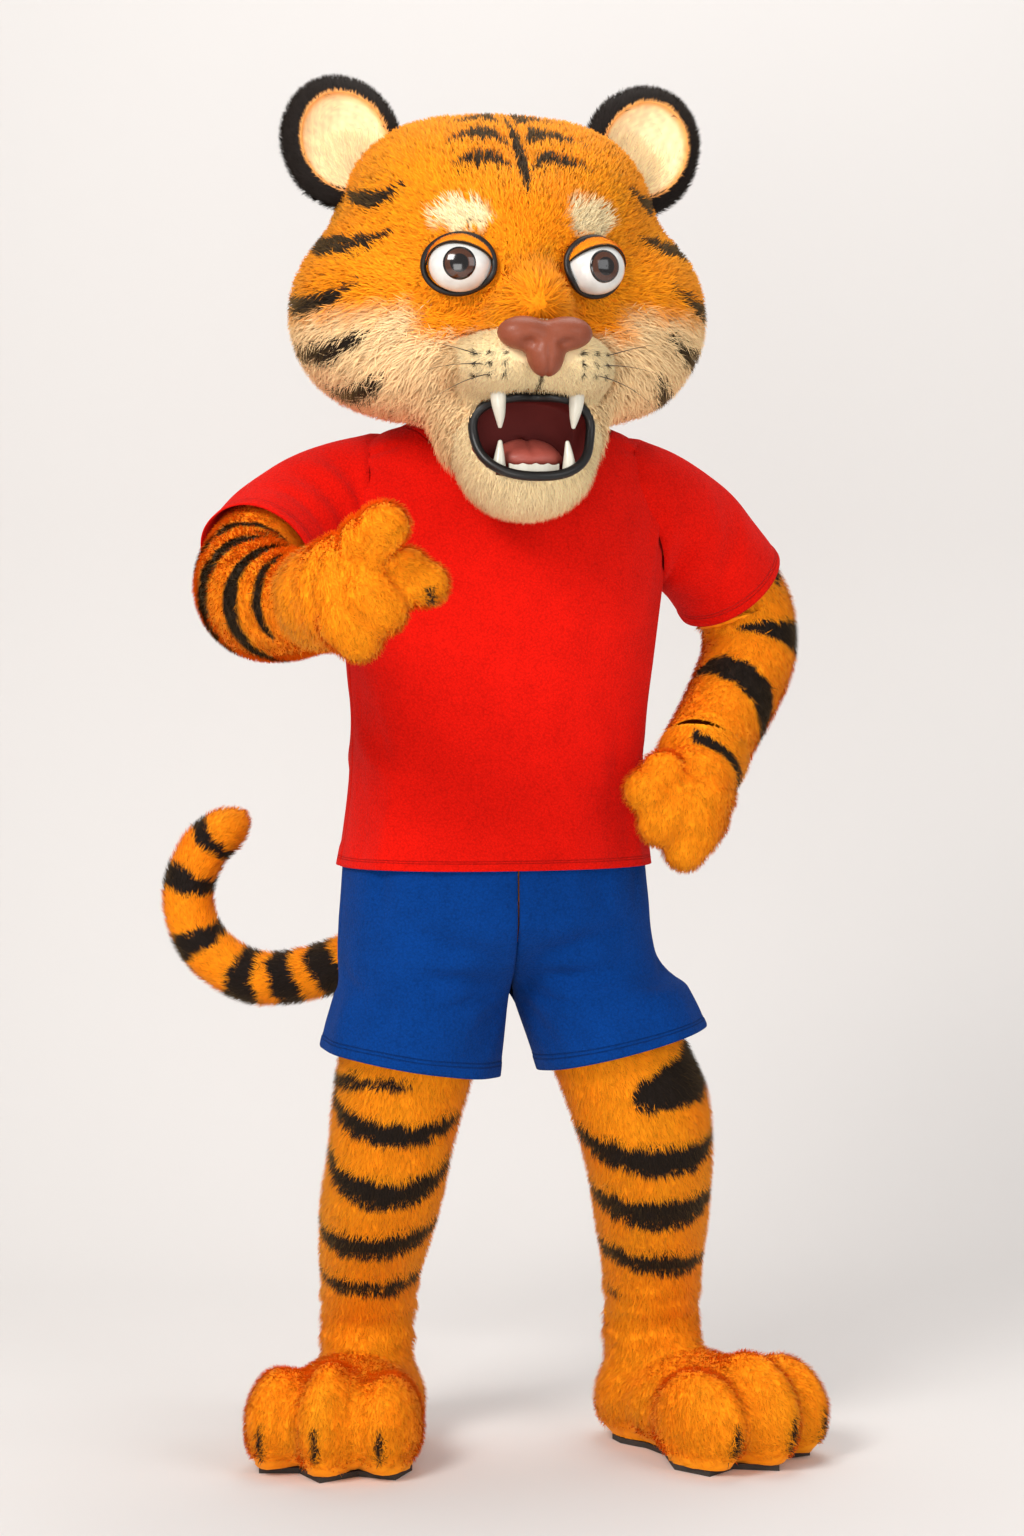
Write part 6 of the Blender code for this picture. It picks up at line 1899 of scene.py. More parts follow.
@dataclass
class Paws:
    """The paw gloves and paw boots."""

    short: Pile = Pile(per_area=150_000.0, length=0.0115, rise=0.0082, width=0.0018)
    finger_softness: float = 0.0032
    boot_softness: float = 0.008

    def glove(
        self, side_name: str, palm: tuple, fingers: dict, centre: tuple, wrist: Station, seed: int
    ) -> None:
        """A glove: the palm's lumps and the digits' knuckles melted together, open at the wrist."""
        pads = list(palm)
        for joints in fingers.values():
            pads += [Pad(joint[:3], (joint.radius,) * 3, False) for joint in joints]
        ahead = unit(np.array(centre) - np.array(wrist[:3]))
        for back in (0.0, 0.03):
            cuff = np.array(wrist[:3]) - back * ahead
            pads.append(Pad(tuple(float(value) for value in cuff), (wrist.half_wide,) * 3, False))
        form = PaddedForm(tuple(pads), centre, self.finger_softness)
        patch, _local = Padding(form, 96, 70).patch()
        beyond = (patch.points - np.array(wrist[:3])) @ ahead
        patch.keep = any_corner(beyond > 0.0)
        outward = unit(patch.points - np.array(centre))
        flow = unit(0.30 * ahead + 0.60 * outward - np.array([0.0, 0.0, 0.65]))
        claw = np.array(CLAW_AT[side_name])

        def coat(points: Array, _u: Array, _v: Array) -> tuple[Array, Array]:
            """Plain, but for a slit at a finger's tip and, on the left, a band over the back of the hand."""
            gap = np.abs(points - claw) / np.array([0.0065, 0.03, 0.011])
            local = points - np.array(wrist[:3])
            band = np.abs(local @ ahead - 0.030 - 0.35 * (local[:, 0] - 0.02)) / 0.011
            band = np.maximum(band, np.abs(local[:, 0] - 0.018) / 0.040)
            band = np.where((local[:, 1] < 0.0) & (side_name == "left"), band, 9.0)
            return soft_step(1.0 - np.minimum(gap.max(axis=1), band), 0.0, 0.15), np.zeros(len(points))

        dressed_padding(
            f"glove_{side_name}", [
                f"glove_{side_name}"
            ], patch, 0.0066, 0.003, flow, coat, self.short, seed
        )

    def boot(self, side_name: str, side: int, seed: int) -> None:
        """A boot: foot and toes melted together, flat underneath and open at the ankle."""
        form = PaddedForm(
            (*BOOT_PADS, *TOES.values()), BOOT_CENTRE, self.boot_softness, BOOT_AT[side], BOOT_TURN[side]
        )
        patch, local = Padding(form, 118, 72).patch()
        floor = SOLE_THICKNESS + SEAM_GAP
        low = patch.moved(-0.0066)[..., 2] < floor + 0.0004
        patch.normals = np.where(
            (low & (patch.normals[..., 2] < -0.6))[..., None], [0.0, 0.0, -1.0], patch.normals
        )
        patch.keep = any_corner(local[..., 2] < ANKLE_HEIGHT - 0.004)
        height = local[..., 2]
        ankle = soft_step(height, 0.120, 0.160)
        fold = 0.0022 * np.sin(height * 2 * math.pi / 0.030 + 1.5 * ripple(patch.points, 0.12, seed))
        patch.points = patch.moved((fold + 0.0015) * ankle)
        outward = unit(local - np.array([0.0, -0.06, 0.10]))
        flow = turned(unit(0.45 * outward - np.array([0.0, 0.30, 0.75])), BOOT_TURN[side])
        slits = [
            (
                toe.centre[0] * 1.06, toe.centre[1] - toe.half[1] * 0.93, toe.centre[2] - 0.016
            ) for toe in TOES.values()
        ]

        def coat(points: Array, _u: Array, _v: Array) -> tuple[Array, Array]:
            """Plain, but for a dark claw slit on the front of each toe."""
            spots = turned(points - np.array(BOOT_AT[side]), -BOOT_TURN[side])
            gap = np.abs(spots[:, None] - np.array(slits)) / np.array([0.0055, 0.05, 0.032])
            slit = soft_step(1.0 - np.sqrt((gap**2).sum(axis=2)).min(axis=1), 0.0, 0.15)
            return slit, np.zeros(len(points))

        flow[..., 2] *= soft_step(local[..., 2], 0.022, 0.060)
        where = np.where(low | (height < 0.020), 0.0, 1.0)
        dressed_padding(
            f"boot_{side_name}", [f"boot_{side_name}"], patch, 0.0066, 0.004, flow, coat, self.short,
            seed,
            where=where, floor=floor,
        )

    def build(self) -> None:
        """Makes both gloves and both boots, and dresses the soles."""
        self.glove("right", GLOVE_PALM[RIGHT], FINGERS_RIGHT, (-0.197, -0.532, 1.226), ARM_RIGHT[-1], 51)
        self.glove("left", GLOVE_PALM[LEFT], FINGERS_LEFT, (0.266, -0.074, 0.946), ARM_LEFT[-1], 52)
        for side, side_name in ((RIGHT, "right"), (LEFT, "left")):
            self.boot(side_name, side, 54 + side)
            Look.SOLE.on(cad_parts[f"sole_{side_name}"])


def mouth_outline(angle: Array, grow: float = 0.0, shrink: Array | float = 1.0) -> Array:
    """Places x, z round the mouth's edge: a rounded shape that narrows downwards, drawn in by shrink."""
    middle, half_height = (MOUTH_TOP + MOUTH_BOTTOM) / 2, (MOUTH_TOP - MOUTH_BOTTOM) / 2
    lift = rounded(np.sin(angle), 2.8)
    narrow = 1.0 - MOUTH_NARROWING * (1.0 - lift) / 2
    x = (MOUTH_HALF_WIDTH * narrow + grow) * rounded(np.cos(angle), 2.4) * shrink
    return np.stack([x, middle + (half_height + grow) * lift * shrink], axis=-1)


def head_front(places: Array, sink: float = 0.0) -> Array:
    """Local points at places x, z, dropped back from in front on to the head's surface, or sunk under it."""
    depth = np.full(places.shape[:-1], -0.45)
    for _ in range(CAST_STEPS):
        spots = np.stack([places[..., 0], depth, places[..., 1]], axis=-1)
        depth = depth + CAST_SHARE * (padded_distance(spots, HEAD_PADS, HEAD_SOFTNESS) + sink)
    return np.stack([places[..., 0], depth, places[..., 1]], axis=-1)


def in_room(spots: Array) -> Array:
    """The head's local points turned with the head and put in their place above the floor."""
    return turned(spots, BODY_TURN) + np.array(HEAD_AT)


def in_head(points: Array) -> Array:
    """Points above the floor as the head's local points."""
    return turned(points - np.array(HEAD_AT), -BODY_TURN)


@dataclass(frozen=True)
class HeadForm(Form):
    """A form given in the head's own frame."""

    inner: Form

    def points(self, u: Array, v: Array) -> Array:
        """The inner form's points, placed."""
        return in_room(self.inner.points(u, v))


@dataclass(frozen=True)
class BallForm(Form):
    """Part of an ellipsoid about its own Y axis, from the back pole to a share of its radius in front."""

    centre: tuple[float, float, float]
    half: tuple[float, float, float]
    turn: float = 0.0
    tip: float = 0.0
    start: float = 0.0
    stop: float = 180.0
    slide: float = 0.0
    facing: float = 1.0

    def points(self, u: Array, v: Array) -> Array:
        """half x * sin * cos, half y * cos + slide, half z * sin * sin, tipped, turned and moved."""
        polar = np.radians(self.start + (self.stop - self.start) * v)
        angle = 2 * math.pi * u
        x = self.half[0] * np.sin(polar) * np.cos(angle)
        z = self.half[2] * np.sin(polar) * np.sin(angle)
        y = self.half[1] * np.cos(polar) + self.slide
        return turned(tipped(np.stack([x, y, z], axis=-1), self.tip), self.turn) + np.array(self.centre)


@dataclass(frozen=True)
class MouthForm(Form):
    """The mouth's lining: from its rim under the lip back to a bowl."""

    inset: float

    def points(self, u: Array, v: Array) -> Array:
        """The outline drawn in as it goes back: shrink = 1 - 0.34 v squared, with a rounded back."""
        angle = 2 * math.pi * u
        rim = head_front(mouth_outline(angle), LIP_SINK)[..., 1] + LIP_RADIUS
        back = np.clip(v / 0.72, 0.0, 1.0)
        inward = np.clip((v - 0.72) / 0.28, 0.0, 1.0)
        shrink = (1.0 - 0.16 * back**2) * (1.0 - inward * 0.98)
        places = mouth_outline(angle, -self.inset, shrink)
        depth = rim + (MOUTH_BACK - self.inset - rim) * np.sin(back * math.pi / 2) ** 1.1
        return np.stack([places[..., 0], depth, places[..., 1]], axis=-1)


def tube_patch(path: Array, radius: Array | float, sides: int = 12, closed: bool = True) -> Patch:
    """A round tube about a line of points.

    Args:
        path: Points above the floor, in order. A closed path's last point repeats its first.
        radius: The tube's radius, along the path or for all of it.
        sides: How many columns it has.
        closed: Whether the path comes back to its start.

    Returns:
        The patch, whose v goes along the path.
    """
    if closed:
        loop = path[:-1]
        way = np.roll(loop, -1, axis=0) - np.roll(loop, 1, axis=0)
        way = np.concatenate([way, way[:1]])
    else:
        way = np.gradient(path, axis=0)
    way = unit(way)
    side = unit(np.cross(way, turned(np.array([[0.0, 1.0, 0.0]]), BODY_TURN)))
    over = np.cross(way, side)
    u, v = np.meshgrid(even(0.0, 1.0, sides + 1), even(0.0, 1.0, len(path)))
    angle = (2 * math.pi * u)[..., None]
    normal = side[:, None] * np.cos(angle) + over[:, None] * np.sin(angle)
    reach = np.broadcast_to(radius, len(path))[:, None, None]
    return Patch(u, v, path[:, None] + normal * reach, normal, True)


def solid_of(
    name: str, patch: Patch, look: Look, node: str | None, wall_depth: float = 0.002
) -> bpy.types.Object:
    """A small smooth piece: a wall over its patch, finished and put in its node's place."""
    made = wall(name, patch, patch.points, patch.moved(-wall_depth))
    look.on(made)
    if node is not None:
        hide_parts(node)
    return made


def slab(name: str, patch: Patch, look: Look, node: str | None) -> bpy.types.Object:
    """A piece whose patch is closed all round already, such as a ball or a ring, with no inner skin."""
    quads = patch.merged(patch.cells())
    rows, columns = patch.u.shape
    faces = quads
    if name.startswith("roll"):
        faces = np.where(faces >= (rows - 1) * columns, faces - (rows - 1) * columns, faces)
    made = mesh_object(name, lowered(patch.points), faces)
    look.on(made)
    if node is not None:
        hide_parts(node)
    return made


@dataclass
class Head:
    """The head: its fur covers on foam, ears, nose, mouth, teeth, eyes and whiskers."""

    across: int = 190
    levels: int = 124
    face_pile: Pile = Pile(
        per_area=104_000.0, length=0.027, rise=0.0125, width=0.0019, spread=0.32, bent=True
    )
    back_pile: Pile = Pile(per_area=120_000.0, length=0.026, rise=0.0125, width=0.0021, spread=0.30)
    muzzle_pile: Pile = Pile(per_area=420_000.0, length=0.011, rise=0.0058, width=0.0011, spread=0.35)
    jaw_pile: Pile = Pile(per_area=260_000.0, length=0.022, rise=0.0085, width=0.0013, spread=0.30)
    ear_pile: Pile = Pile(per_area=260_000.0, length=0.012, rise=0.0075, width=0.0015)
    cup_pile: Pile = Pile(per_area=300_000.0, length=0.022, rise=0.0040, width=0.0012, spread=0.30)

    def coat(self, points: Array, _u: Array, _v: Array) -> tuple[Array, Array]:
        """Dark strokes, and cream on the cheeks, the chin's sides and over the eyes."""
        local = in_head(points)
        x, y, z = local[:, 0], local[:, 1], local[:, 2]
        uneven = 0.008 * ripple(local, 0.045, 61)
        degrees = np.degrees(np.arctan2(np.abs(x), -(y - 0.02)))
        dark = strokes_mask(STROKES, degrees, z + 0.35 * uneven, 0.22)
        low = soft_step(-(z + uneven), 0.025, 0.065)
        cheek = soft_step(np.abs(x) + uneven, 0.118, 0.150) * low * soft_step(-y, -0.09, -0.06)
        brow = np.hypot((np.abs(x) - 0.088) / 0.044, (z - 0.078 + uneven) / 0.030)
        brow = soft_step(1.0 - brow, 0.0, 0.35) * soft_step(-y, 0.05, 0.08)
        beside = soft_step(-(z + uneven), 0.070, 0.095) * soft_step(-y, 0.02, 0.06)
        return dark, np.maximum(0.80 * np.maximum(cheek, beside), brow)

    def cream(self, points: Array, _u: Array, _v: Array) -> tuple[Array, Array]:
        """All cream, but for rows of small dark whisker roots on the muzzle."""
        local = in_head(points)
        roots = np.array(
            [(0.052 + 0.018 * row, -0.108 - 0.014 * line) for row in range(3) for line in range(3)]
        )
        gap = np.hypot(np.abs(local[:, None, 0]) - roots[:, 0], local[:, None, 2] - roots[:, 1]).min(axis=1)
        parting = np.abs(local[:, 0]) - 0.0025
        line = soft_step(-parting, -0.0010, 0.0010) * soft_step(-local[:, 2], 0.128, 0.132)
        line *= soft_step(local[:, 2], -0.175, -0.170)
        return np.maximum(soft_step(-gap, -0.0040, -0.0024), line), np.ones(len(points))

    def flow(self, local: Array) -> Array:
        """The way that fur lies: out from the nose, and down on the cheeks and the chin."""
        nose = np.array([0.0, -0.30, -0.07])
        out = unit(local - nose)
        down = soft_step(-local[..., 2], -0.06, 0.10)[..., None] * np.array([0.0, 0.0, -0.75])
        back = soft_step(local[..., 1], 0.0, 0.12)[..., None] * np.array([0.0, 0.2, -0.5])
        return turned(unit(out + down + back), BODY_TURN)

    def covers(self) -> None:
        """Face, back, muzzle and jaw, each its share of one grid round the head."""
        form = PaddedForm(HEAD_PADS, (0.0, -0.105, -0.060), HEAD_SOFTNESS, HEAD_AT, BODY_TURN)
        patch, local = Padding(form, self.across, self.levels).patch()
        middle, half_height = (MOUTH_TOP + MOUTH_BOTTOM) / 2, (MOUTH_TOP - MOUTH_BOTTOM) / 2
        angle = np.arctan2((local[..., 2] - middle) / half_height, local[..., 0] / MOUTH_HALF_WIDTH)
        edge_places = mouth_outline(np.linspace(-math.pi, math.pi, 1441), 0.003)
        edge_angle = np.arctan2(
            (edge_places[:, 1] - middle) / half_height, edge_places[:, 0] / MOUTH_HALF_WIDTH
        )
        edge_reach = np.hypot(edge_places[:, 0], edge_places[:, 1] - middle)
        order = np.argsort(edge_angle)
        edge = np.interp(angle, edge_angle[order], edge_reach[order])
        reach = np.hypot(local[..., 0], local[..., 2] - middle)
        ratio = np.where(local[..., 1] < -0.10, reach / edge, 9.0)
        snap = (ratio > 0.90) & (ratio < 1.0)
        places = np.stack(
            [local[..., 0], local[..., 2] - middle], axis=-1
        ) / np.maximum(ratio, 1e-6)[..., None]
        places[..., 1] += middle
        local[snap] = head_front(places[snap])
        patch.points = in_room(local)
        patch.normals = turned(form.normals_at(local), BODY_TURN)
        hole = ratio < 0.999
        inside_neck = (ring_value(SUIT_BODY, patch.points) < 0.0) & (local[..., 2] < -0.05)
        open_cells = ~any_corner(hole) & ~any_corner(inside_neck)
        centre = (local[1:, 1:] + local[:-1, 1:] + local[1:, :-1] + local[:-1, :-1]) / 4
        region = {}
        for name, (half_x, half_z, centre_z, back) in COVERS.items():
            square = np.abs(centre[..., 0] / half_x) ** 4 + np.abs(
                (centre[..., 2] - centre_z) / half_z
            ) ** 4
            region[name] = (square < 1.0) & (centre[..., 1] < back)
        front = centre[..., 1] < FACE_SEAM_DEPTH
        cover = region["muzzle"] | region["jaw"]
        region["head_face"] = front & ~cover
        region["head_back"] = ~front
        near = np.linalg.norm((local - np.array([0.0, -0.25, -0.17])) / np.array([1.0, 1.0, 0.85]), axis=-1)
        sunk = 0.0055 + 0.0075 * soft_step(near, 0.09, 0.19)
        eye = np.hypot(
            (np.abs(local[..., 0]) - EYE_AT[0]) / EYE_HALF[0], (local[..., 2] - EYE_AT[2]) / EYE_HALF[2]
        )
        eye = np.where(local[..., 1] < -0.05, eye, 9.0)
        nose = np.hypot(local[..., 0] / 0.058, (local[..., 2] + 0.094) / 0.034)
        nose = np.where(local[..., 1] < -0.20, nose, 9.0)
        ear = np.hypot((np.abs(local[..., 0]) - 0.185) / 0.075, (local[..., 2] - 0.15) / 0.075)
        where = soft_step(eye, 1.02, 1.12) * soft_step(nose, 0.90, 1.0)
        flow = self.flow(local)
        away = np.stack(
            [local[..., 0] - np.sign(local[..., 0]) * EYE_AT[0], 0 * eye, local[..., 2] - EYE_AT[2]],
            axis=-1,
        )
        ringed = (1.0 - soft_step(eye, 1.1, 1.7))[..., None]
        flow = unit(flow * (1 - ringed) + turned(unit(away), BODY_TURN) * ringed)
        long = 0.42 + 0.62 * soft_step(-local[..., 2], -0.06, 0.09) * soft_step(near, 0.10, 0.19)
        long = long * (0.45 + 0.55 * soft_step(eye, 1.0, 1.9)) * (0.75 + 0.25 * soft_step(ear, 0.8, 1.2))
        tall = np.ones(patch.u.shape)
        plans = (
            ("head_face", self.face_pile, self.coat, long, "head_fur", 71),
            ("head_back", self.back_pile, self.coat, 0.72 * tall, "head_fur", 72),
            ("muzzle", self.muzzle_pile, self.cream, 0.8 * tall, "cream_fur", 73),
            (
                "jaw", self.jaw_pile, self.cream, 0.55 + 0.5 * soft_step(-local[..., 2], 0.25, 0.31),
                "cream_fur", 74,
            ),
        )
        for name, pile, coat, stretch, slot, seed in plans:
            share = Patch(patch.u, patch.v, patch.points, patch.normals, True, region[name] & open_cells)
            dressed_padding(
                name, [name], share, sunk, 0.006, flow, coat, pile, seed, where=where, stretch=stretch
            )

    def ears(self) -> None:
        """Ear cups with black fur, lined with cream."""
        for side, side_name in ((RIGHT, "right"), (LEFT, "left")):
            at = (side * EAR_AT[0], EAR_AT[1], EAR_AT[2])
            outer = HeadForm(BallForm(at, EAR_HALF, tip=side * EAR_LEAN, start=3.0, stop=133.5))
            patch = Patch.over(outer, even(0.0, 1.0, 81), even(0.0, 1.0, 30), closed=True)
            buried = padded_distance(in_head(patch.points), HEAD_PADS, HEAD_SOFTNESS) < -0.012
            patch.keep = ~all_corners(buried)
            up = turned(tipped(np.array([0.0, -0.25, 0.7]), side * EAR_LEAN), BODY_TURN)
            flow = unit(unit(patch.points - in_room(np.array(at))) * 0.6 + up)

            def black(points: Array, _u: Array, _v: Array) -> tuple[Array, Array]:
                """Black all over."""
                return np.ones(len(points)), np.zeros(len(points))

            dressed_padding(
                f"ear_{side_name}", [f"ear_{side_name}"], patch, 0.0055, 0.004, flow, black, self.ear_pile,
                81 + side, look=Look.EAR_FUR,
            )
            cup = HeadForm(
                BallForm(
                    at, EAR_CUP_HALF, tip=side * EAR_LEAN, start=2.0, stop=76.0, slide=EAR_CUP_FRONT - 0.005,
                    facing=-1.0,
                )
            )
            lining = Patch.over(cup, even(0.0, 1.0, 61), even(0.0, 1.0, 20), closed=True)
            lining.normals = unit(
                in_room(np.array([0.0, -1.0, 0.0])) - in_room(np.zeros(3))
            ) + 0 * lining.normals
            lining.facing = -1.0
            buried = padded_distance(in_head(lining.points), HEAD_PADS, HEAD_SOFTNESS) < -0.012
            lining.keep = ~all_corners(buried)
            foot = in_room(np.array(at) + np.array([side * -0.03, 0.0, -0.07]))

            def pale(points: Array, _u: Array, v: Array) -> tuple[Array, Array]:
                """Cream, warmer towards the rim."""
                return np.zeros(len(points)), 1.0 - 0.75 * soft_step(v, 0.72, 0.98)

            dressed_padding(
                f"inner_ear_{side_name}", [f"inner_ear_{side_name}"], lining, 0.0005, 0.003,
                unit(lining.points - foot), pale, self.cup_pile, 84 + side,
                stretch=1.0 - 0.72 * soft_step(lining.v, 0.35, 0.95),
            )

    def eyes(self) -> None:
        """Glossy eyes with painted irises, in black rims."""
        for side, side_name in ((RIGHT, "right"), (LEFT, "left")):
            at = (side * EYE_AT[0], EYE_AT[1], EYE_AT[2])
            self.lid(side_name, side)
            ball = HeadForm(BallForm(at, EYE_HALF, turn=side * EYE_TURN, start=70.0, stop=179.0))
            patch = Patch.over(ball, even(0.0, 1.0, 65), even(0.0, 1.0, 28), closed=True)
            solid_of(f"eye_{side_name}", patch, Look.EYE, f"eyeball_{side_name}")
            u, v = np.meshgrid(even(0.0, 1.0, 65), even(0.0, 1.0, 18))
            x, z = IRIS_RADIUS * v * np.cos(2 * math.pi * u), IRIS_RADIUS * v * np.sin(2 * math.pi * u)
            dome = np.sqrt(np.clip(1.0 - (x / EYE_HALF[0]) ** 2 - (z / EYE_HALF[2]) ** 2, 0.0, 1.0))
            y = -EYE_HALF[1] * dome - IRIS_BULGE * np.sqrt(np.clip(1.0 - v**2, 0.0, 1.0)) - IRIS_LIFT
            spots = turned(np.stack([x, y, z], axis=-1), side * EYE_TURN) + np.array(at)
            out = turned(np.array([0.0, -1.0, 0.0]), side * EYE_TURN + BODY_TURN)
            disc = Patch(u, v, in_room(spots), np.broadcast_to(out, (*u.shape, 3)), True, None, -1.0)
            iris = wall(
                f"iris_disc_{side_name}", disc, disc.points, disc.moved(-0.001), None, out=v, turn=u
            )
            Look.IRIS.on(iris)
            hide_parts(f"iris_{side_name}")
            turn = np.linspace(0.0, 2 * math.pi, 73)
            lid = 1.0 + 0.03 * np.sin(turn)
            wide, high = EYE_RIM_HALF
            places = np.stack(
                [at[0] + wide * np.cos(turn) * lid, at[2] + high * np.sin(turn) * lid], axis=-1
            )
            ring = head_front(places, 0.001)
            thick = EYE_RIM_RADIUS + EYE_RIM_SWELL * np.clip(np.sin(turn), 0.0, 1.0)
            slab(f"roll_eye_{side_name}", tube_patch(in_room(ring), thick), Look.RIM, None)

    def lid(self, side_name: str, side: int) -> None:
        """A furred upper lid over the top of the eye, lower towards the nose.

        Its points are on the eye's ellipsoid grown by LID_GROWTH, from behind up and round to an edge that is
        LID_EDGE + LID_SLANT * the sine of the angle across it, in degrees above the eye's middle.
        """
        u, v = np.meshgrid(even(0.0, 1.0, 40), even(0.0, 1.0, 20))
        half = np.array(EYE_HALF) + np.array(LID_GROWTH)
        across = np.radians(-90.0 + 180.0 * u)
        edge = np.radians(LID_EDGE + side * LID_SLANT * np.sin(across))
        rise = LID_START + (edge - LID_START) * v
        x = half[0] * np.sin(across)
        ring = np.cos(across)
        y = -half[1] * ring * np.cos(rise)
        z = half[2] * ring * np.sin(rise)
        spots = turned(
            np.stack([x, y, z], axis=-1), side * EYE_TURN
        ) + np.array(EYE_AT) * np.array([side, 1.0, 1.0])
        out = unit(np.stack([x / half[0] ** 2, y / half[1] ** 2, z / half[2] ** 2], axis=-1))
        patch = Patch(u, v, in_room(spots), turned(out, side * EYE_TURN + BODY_TURN))
        middle = in_room(np.array(EYE_AT) * np.array([side, 1.0, 1.0]))
        first = np.cross(
            patch.points[5, 21] - patch.points[5, 20], patch.points[6, 20] - patch.points[5, 20]
        )
        patch.facing = float(np.sign(first @ (patch.points[5, 20] - middle)))
        base = patch.moved(0.0)
        flow = turned(np.broadcast_to(np.array([side * 0.25, -0.2, 1.0]), base.shape), BODY_TURN)
        tone = 0.5 + 0.4 * ripple(patch.points, 0.012, 91)
        plain = np.zeros(u.shape)
        dark = soft_step(v, 0.86, 0.93)
        # The lid's skin is coloured half way from root to tip: painted shade under its pile.
        lid = wall(
            f"lid_{side_name}", patch, base, patch.moved(-0.002), None, dark=dark, pale=plain, tone=tone,
            tip=plain + 0.5,
        )
        Look.ORANGE_FUR.on(lid)
        pile = Pile(per_area=900_000.0, length=0.0075, rise=0.0022, width=0.0010, spread=0.3)
        hair = pile.grow(
            f"pile_lid_{side_name}", patch, base, flow, no_stripes, where=soft_step(-v, -0.92, -0.86),
            seed=92,
        )
        Look.ORANGE_FUR.on(hair)

    def mouth(self) -> None:
        """Lip, lining, tongue and teeth."""
        angle = np.linspace(0.0, 2 * math.pi, 121)
        path = in_room(head_front(mouth_outline(angle), LIP_SINK))
        slab("roll_lip", tube_patch(path, LIP_RADIUS, 14), Look.LIP, "lip")
        bowl = HeadForm(MouthForm(LINING_WALL - LIP_RADIUS))
        patch = Patch.over(bowl, even(0.0, 1.0, 65), even(0.0, 0.998, 26), closed=True)
        middle = in_room(np.array([0.0, -0.26, (MOUTH_TOP + MOUTH_BOTTOM) / 2]))
        inward = np.sum(patch.normals * (middle - patch.points), axis=-1).mean()
        patch.facing = 1.0 if inward > 0 else -1.0
        patch.normals = patch.normals * patch.facing
        solid_of("lining", patch, Look.LINING, "mouth_lining")
        form = PaddedForm(TONGUE_PADS, TONGUE_CENTRE, NOSE_SOFTNESS, HEAD_AT, BODY_TURN)
        patch, local = Padding(form, 48, 28).patch()
        groove = TONGUE_GROOVE_DEPTH * np.exp(-((local[..., 0] / TONGUE_GROOVE_HALF) ** 2)) * soft_step(
            local[..., 2], -0.245, -0.235
        )
        patch.points = patch.moved(-groove)
        tongue = solid_of("tongue_pad", patch, Look.TONGUE, "tongue")
        for side, side_name in ((RIGHT, "right"), (LEFT, "left")):
            for row, stations in (("upper", UPPER_FANG), ("lower", LOWER_FANG)):
                tooth = tuple(station._replace(x=side * station.x) for station in stations)
                form = HeadForm(CappedLimbForm(LimbForm(tooth, (0.0, 1.0, 0.0)), 0.08))
                start = 0.0 if row == "upper" else 0.22
                patch = Patch.over(form, even(0.0, 1.0, 21), even(start, 1.0, 22), closed=True)
                solid_of(f"{row}_fang_{side_name}", patch, Look.TOOTH, f"fang_{row}_{side_name}")
        Look.TOOTH.on(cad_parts["lower_teeth"])

    def nose(self) -> None:
        """A moulded nose pad with two nostrils."""
        at = in_room(np.array(NOSE_CENTRE))
        form = PaddedForm(
            NOSE_PADS, (0.0, 0.0, 0.0), NOSE_SOFTNESS, tuple(float(value) for value in at), BODY_TURN
        )
        patch, local = Padding(form, 62, 38).patch()
        spots = np.abs(local[..., :1]) * np.array([1.0, 0.0, 0.0]) + local * np.array([0.0, 1.0, 1.0])
        gap = np.linalg.norm((spots - np.array(NOSTRIL_AT)) / np.array(NOSTRIL_HALF), axis=-1)
        dent = NOSTRIL_DEPTH * np.exp(-(gap**2))
        parting = PARTING_DEPTH * np.exp(-((local[..., 0] / PARTING_HALF) ** 2)) * soft_step(
            -local[..., 2], -0.004, 0.012
        )
        patch.points = patch.moved(-dent - parting)
        pad = solid_of("nose_pad", patch, Look.NOSE, "nose")

    def whiskers(self) -> None:
        """Three stiff whiskers on each side of the muzzle."""
        for side, side_name in ((RIGHT, "right"), (LEFT, "left")):
            for index, (rise, drop) in enumerate(WHISKER_BENDS):
                share = np.linspace(0.0, 1.0, 12)
                root = head_front(
                    np.array([[side * (0.086 - 0.006 * index), -0.112 - 0.013 * index]]), 0.006
                )[0]
                step = np.stack(
                    [
                        side * WHISKER_REACH * share, -0.012 * share + 0.020 * share**2,
                        rise * share - drop * share**2,
                    ],
                    axis=-1,
                )
                path = in_room(root + step)
                patch = tube_patch(path, WHISKER_RADIUS * (1.0 - 0.85 * share), 6, closed=False)
                slab(f"whisker_{side_name}_{index + 1}", patch, Look.WHISKER, None)

    def build(self) -> None:
        """Makes every piece of the head."""
        self.covers()
        self.ears()
        self.eyes()
        self.nose()
        self.mouth()
        self.whiskers()


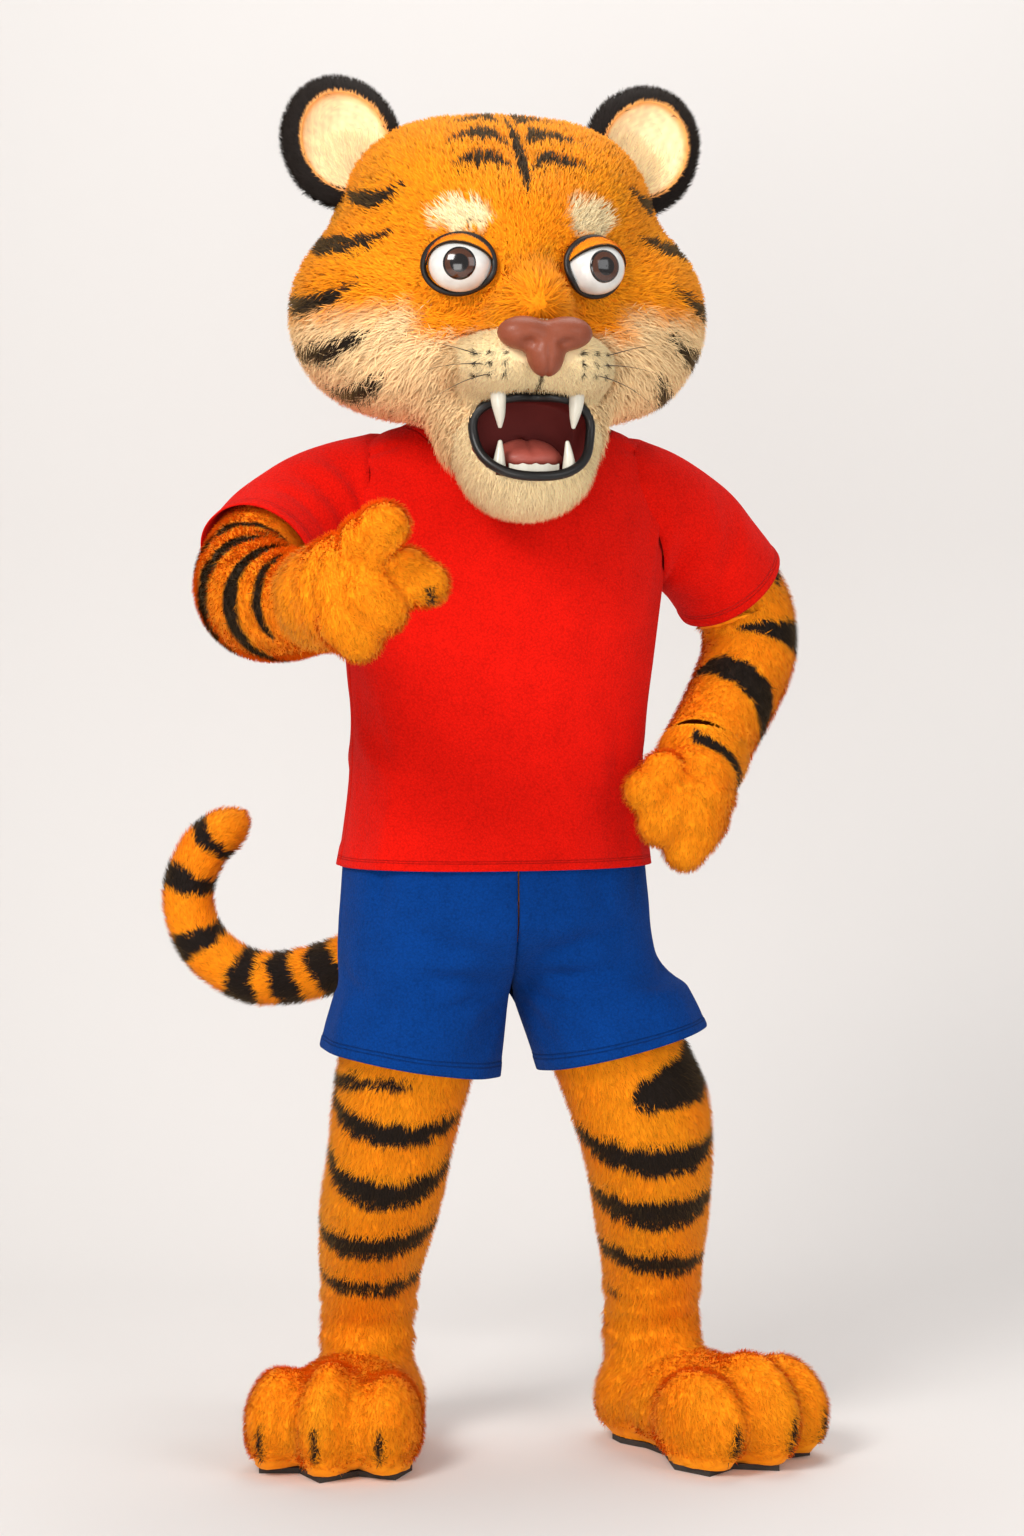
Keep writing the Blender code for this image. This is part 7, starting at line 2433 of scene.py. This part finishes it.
@dataclass(frozen=True)
class Studio:
    """The room that the picture is taken in: floor, wall, lights and camera."""

    floor_height: float = -SHOULDER_HEIGHT
    wall_at: float = 2.6
    cove: float = 1.4
    half_width: float = 7.0
    near: float = -7.0

    def backdrop(self) -> bpy.types.Object:
        """A floor that curves up into the wall: flat, then a quarter circle, then straight up."""
        turn = np.linspace(0.0, math.pi / 2, 24)
        y = np.concatenate(
            [[self.near], self.wall_at - self.cove + self.cove * np.sin(turn), [self.wall_at]]
        )
        z = np.concatenate([[0.0], self.cove - self.cove * np.cos(turn), [5.0]]) + self.floor_height
        x = np.array([-self.half_width, self.half_width])
        points = np.stack(np.broadcast_arrays(x[None, :], y[:, None], z[:, None]), axis=-1).reshape(-1, 3)
        rows = np.arange(len(y) - 1) * 2
        faces = np.stack([rows, rows + 1, rows + 3, rows + 2], axis=1)
        mesh = bpy.data.meshes.new("backdrop")
        mesh.from_pydata(points.tolist(), [], faces.tolist())
        mesh.shade_smooth()
        made = bpy.data.objects.new("backdrop", mesh)
        bpy.context.scene.collection.objects.link(made)
        material = bpy.data.materials.new("backdrop_paper")
        material.use_nodes = True
        shader = material.node_tree.nodes["Principled BSDF"]
        shader.inputs["Base Color"].default_value = (0.76, 0.742, 0.730, 1.0)
        shader.inputs["Roughness"].default_value = 0.85
        shader.inputs["Specular IOR Level"].default_value = 0.2
        made.data.materials.append(material)
        return made

    def lamp(
        self, name: str, at: tuple, aim: tuple, size: float, power: float, tint: tuple
    ) -> bpy.types.Object:
        """A square soft light that points at aim."""
        data = bpy.data.lights.new(name, "AREA")
        data.size, data.energy, data.color = size, power, tint
        made = bpy.data.objects.new(name, data)
        made.location = at
        made.rotation_euler = (Vector(aim) - Vector(at)).to_track_quat("-Z", "Y").to_euler()
        bpy.context.scene.collection.objects.link(made)
        return made

    def build(self) -> None:
        """Makes the room: world, view settings, camera, lamps and backdrop."""
        scene = bpy.context.scene
        world = bpy.data.worlds.new("room")
        world.use_nodes = True
        world.node_tree.nodes["Background"].inputs["Color"].default_value = (1.0, 0.985, 0.965, 1.0)
        world.node_tree.nodes["Background"].inputs["Strength"].default_value = 0.40
        scene.world = world
        scene.view_settings.view_transform = "Standard"
        scene.view_settings.look = "None"
        data = bpy.data.cameras.new("camera")
        data.lens, data.sensor_width, data.sensor_fit = 82.9, 36.0, "AUTO"
        camera = bpy.data.objects.new("camera", data)
        camera.location = (0.0127, -5.0, -0.24)
        camera.rotation_euler = (math.radians(90.0 - 2.52), 0.0, 0.0)
        scene.collection.objects.link(camera)
        scene.camera = camera
        lamps = [
            self.lamp("key", (-2.2, -3.6, 2.4), (0.0, 0.0, -0.3), 1.7, 164.0, (1.0, 0.975, 0.94)),
            self.lamp("fill", (3.0, -3.2, 1.0), (0.0, 0.0, -0.4), 2.6, 48.0, (0.97, 0.985, 1.0)),
            self.lamp("low", (-0.6, -4.2, -0.7), (0.0, 0.0, -1.25), 1.8, 46.0, (1.0, 0.985, 0.96)),
            self.lamp("top", (0.4, 0.8, 3.0), (0.0, 0.3, -0.6), 2.4, 64.0, (1.0, 0.98, 0.96)),
        ]
        self.backdrop()


def main() -> None:
    """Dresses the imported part."""
    logging.basicConfig(level=logging.INFO, format="%(name)s: %(message)s")
    FurSuit().build()
    Shirt().build()
    Shorts().build()
    Paws().build()
    Head().build()
    Studio().build()


if __name__ == "__main__":
    main()
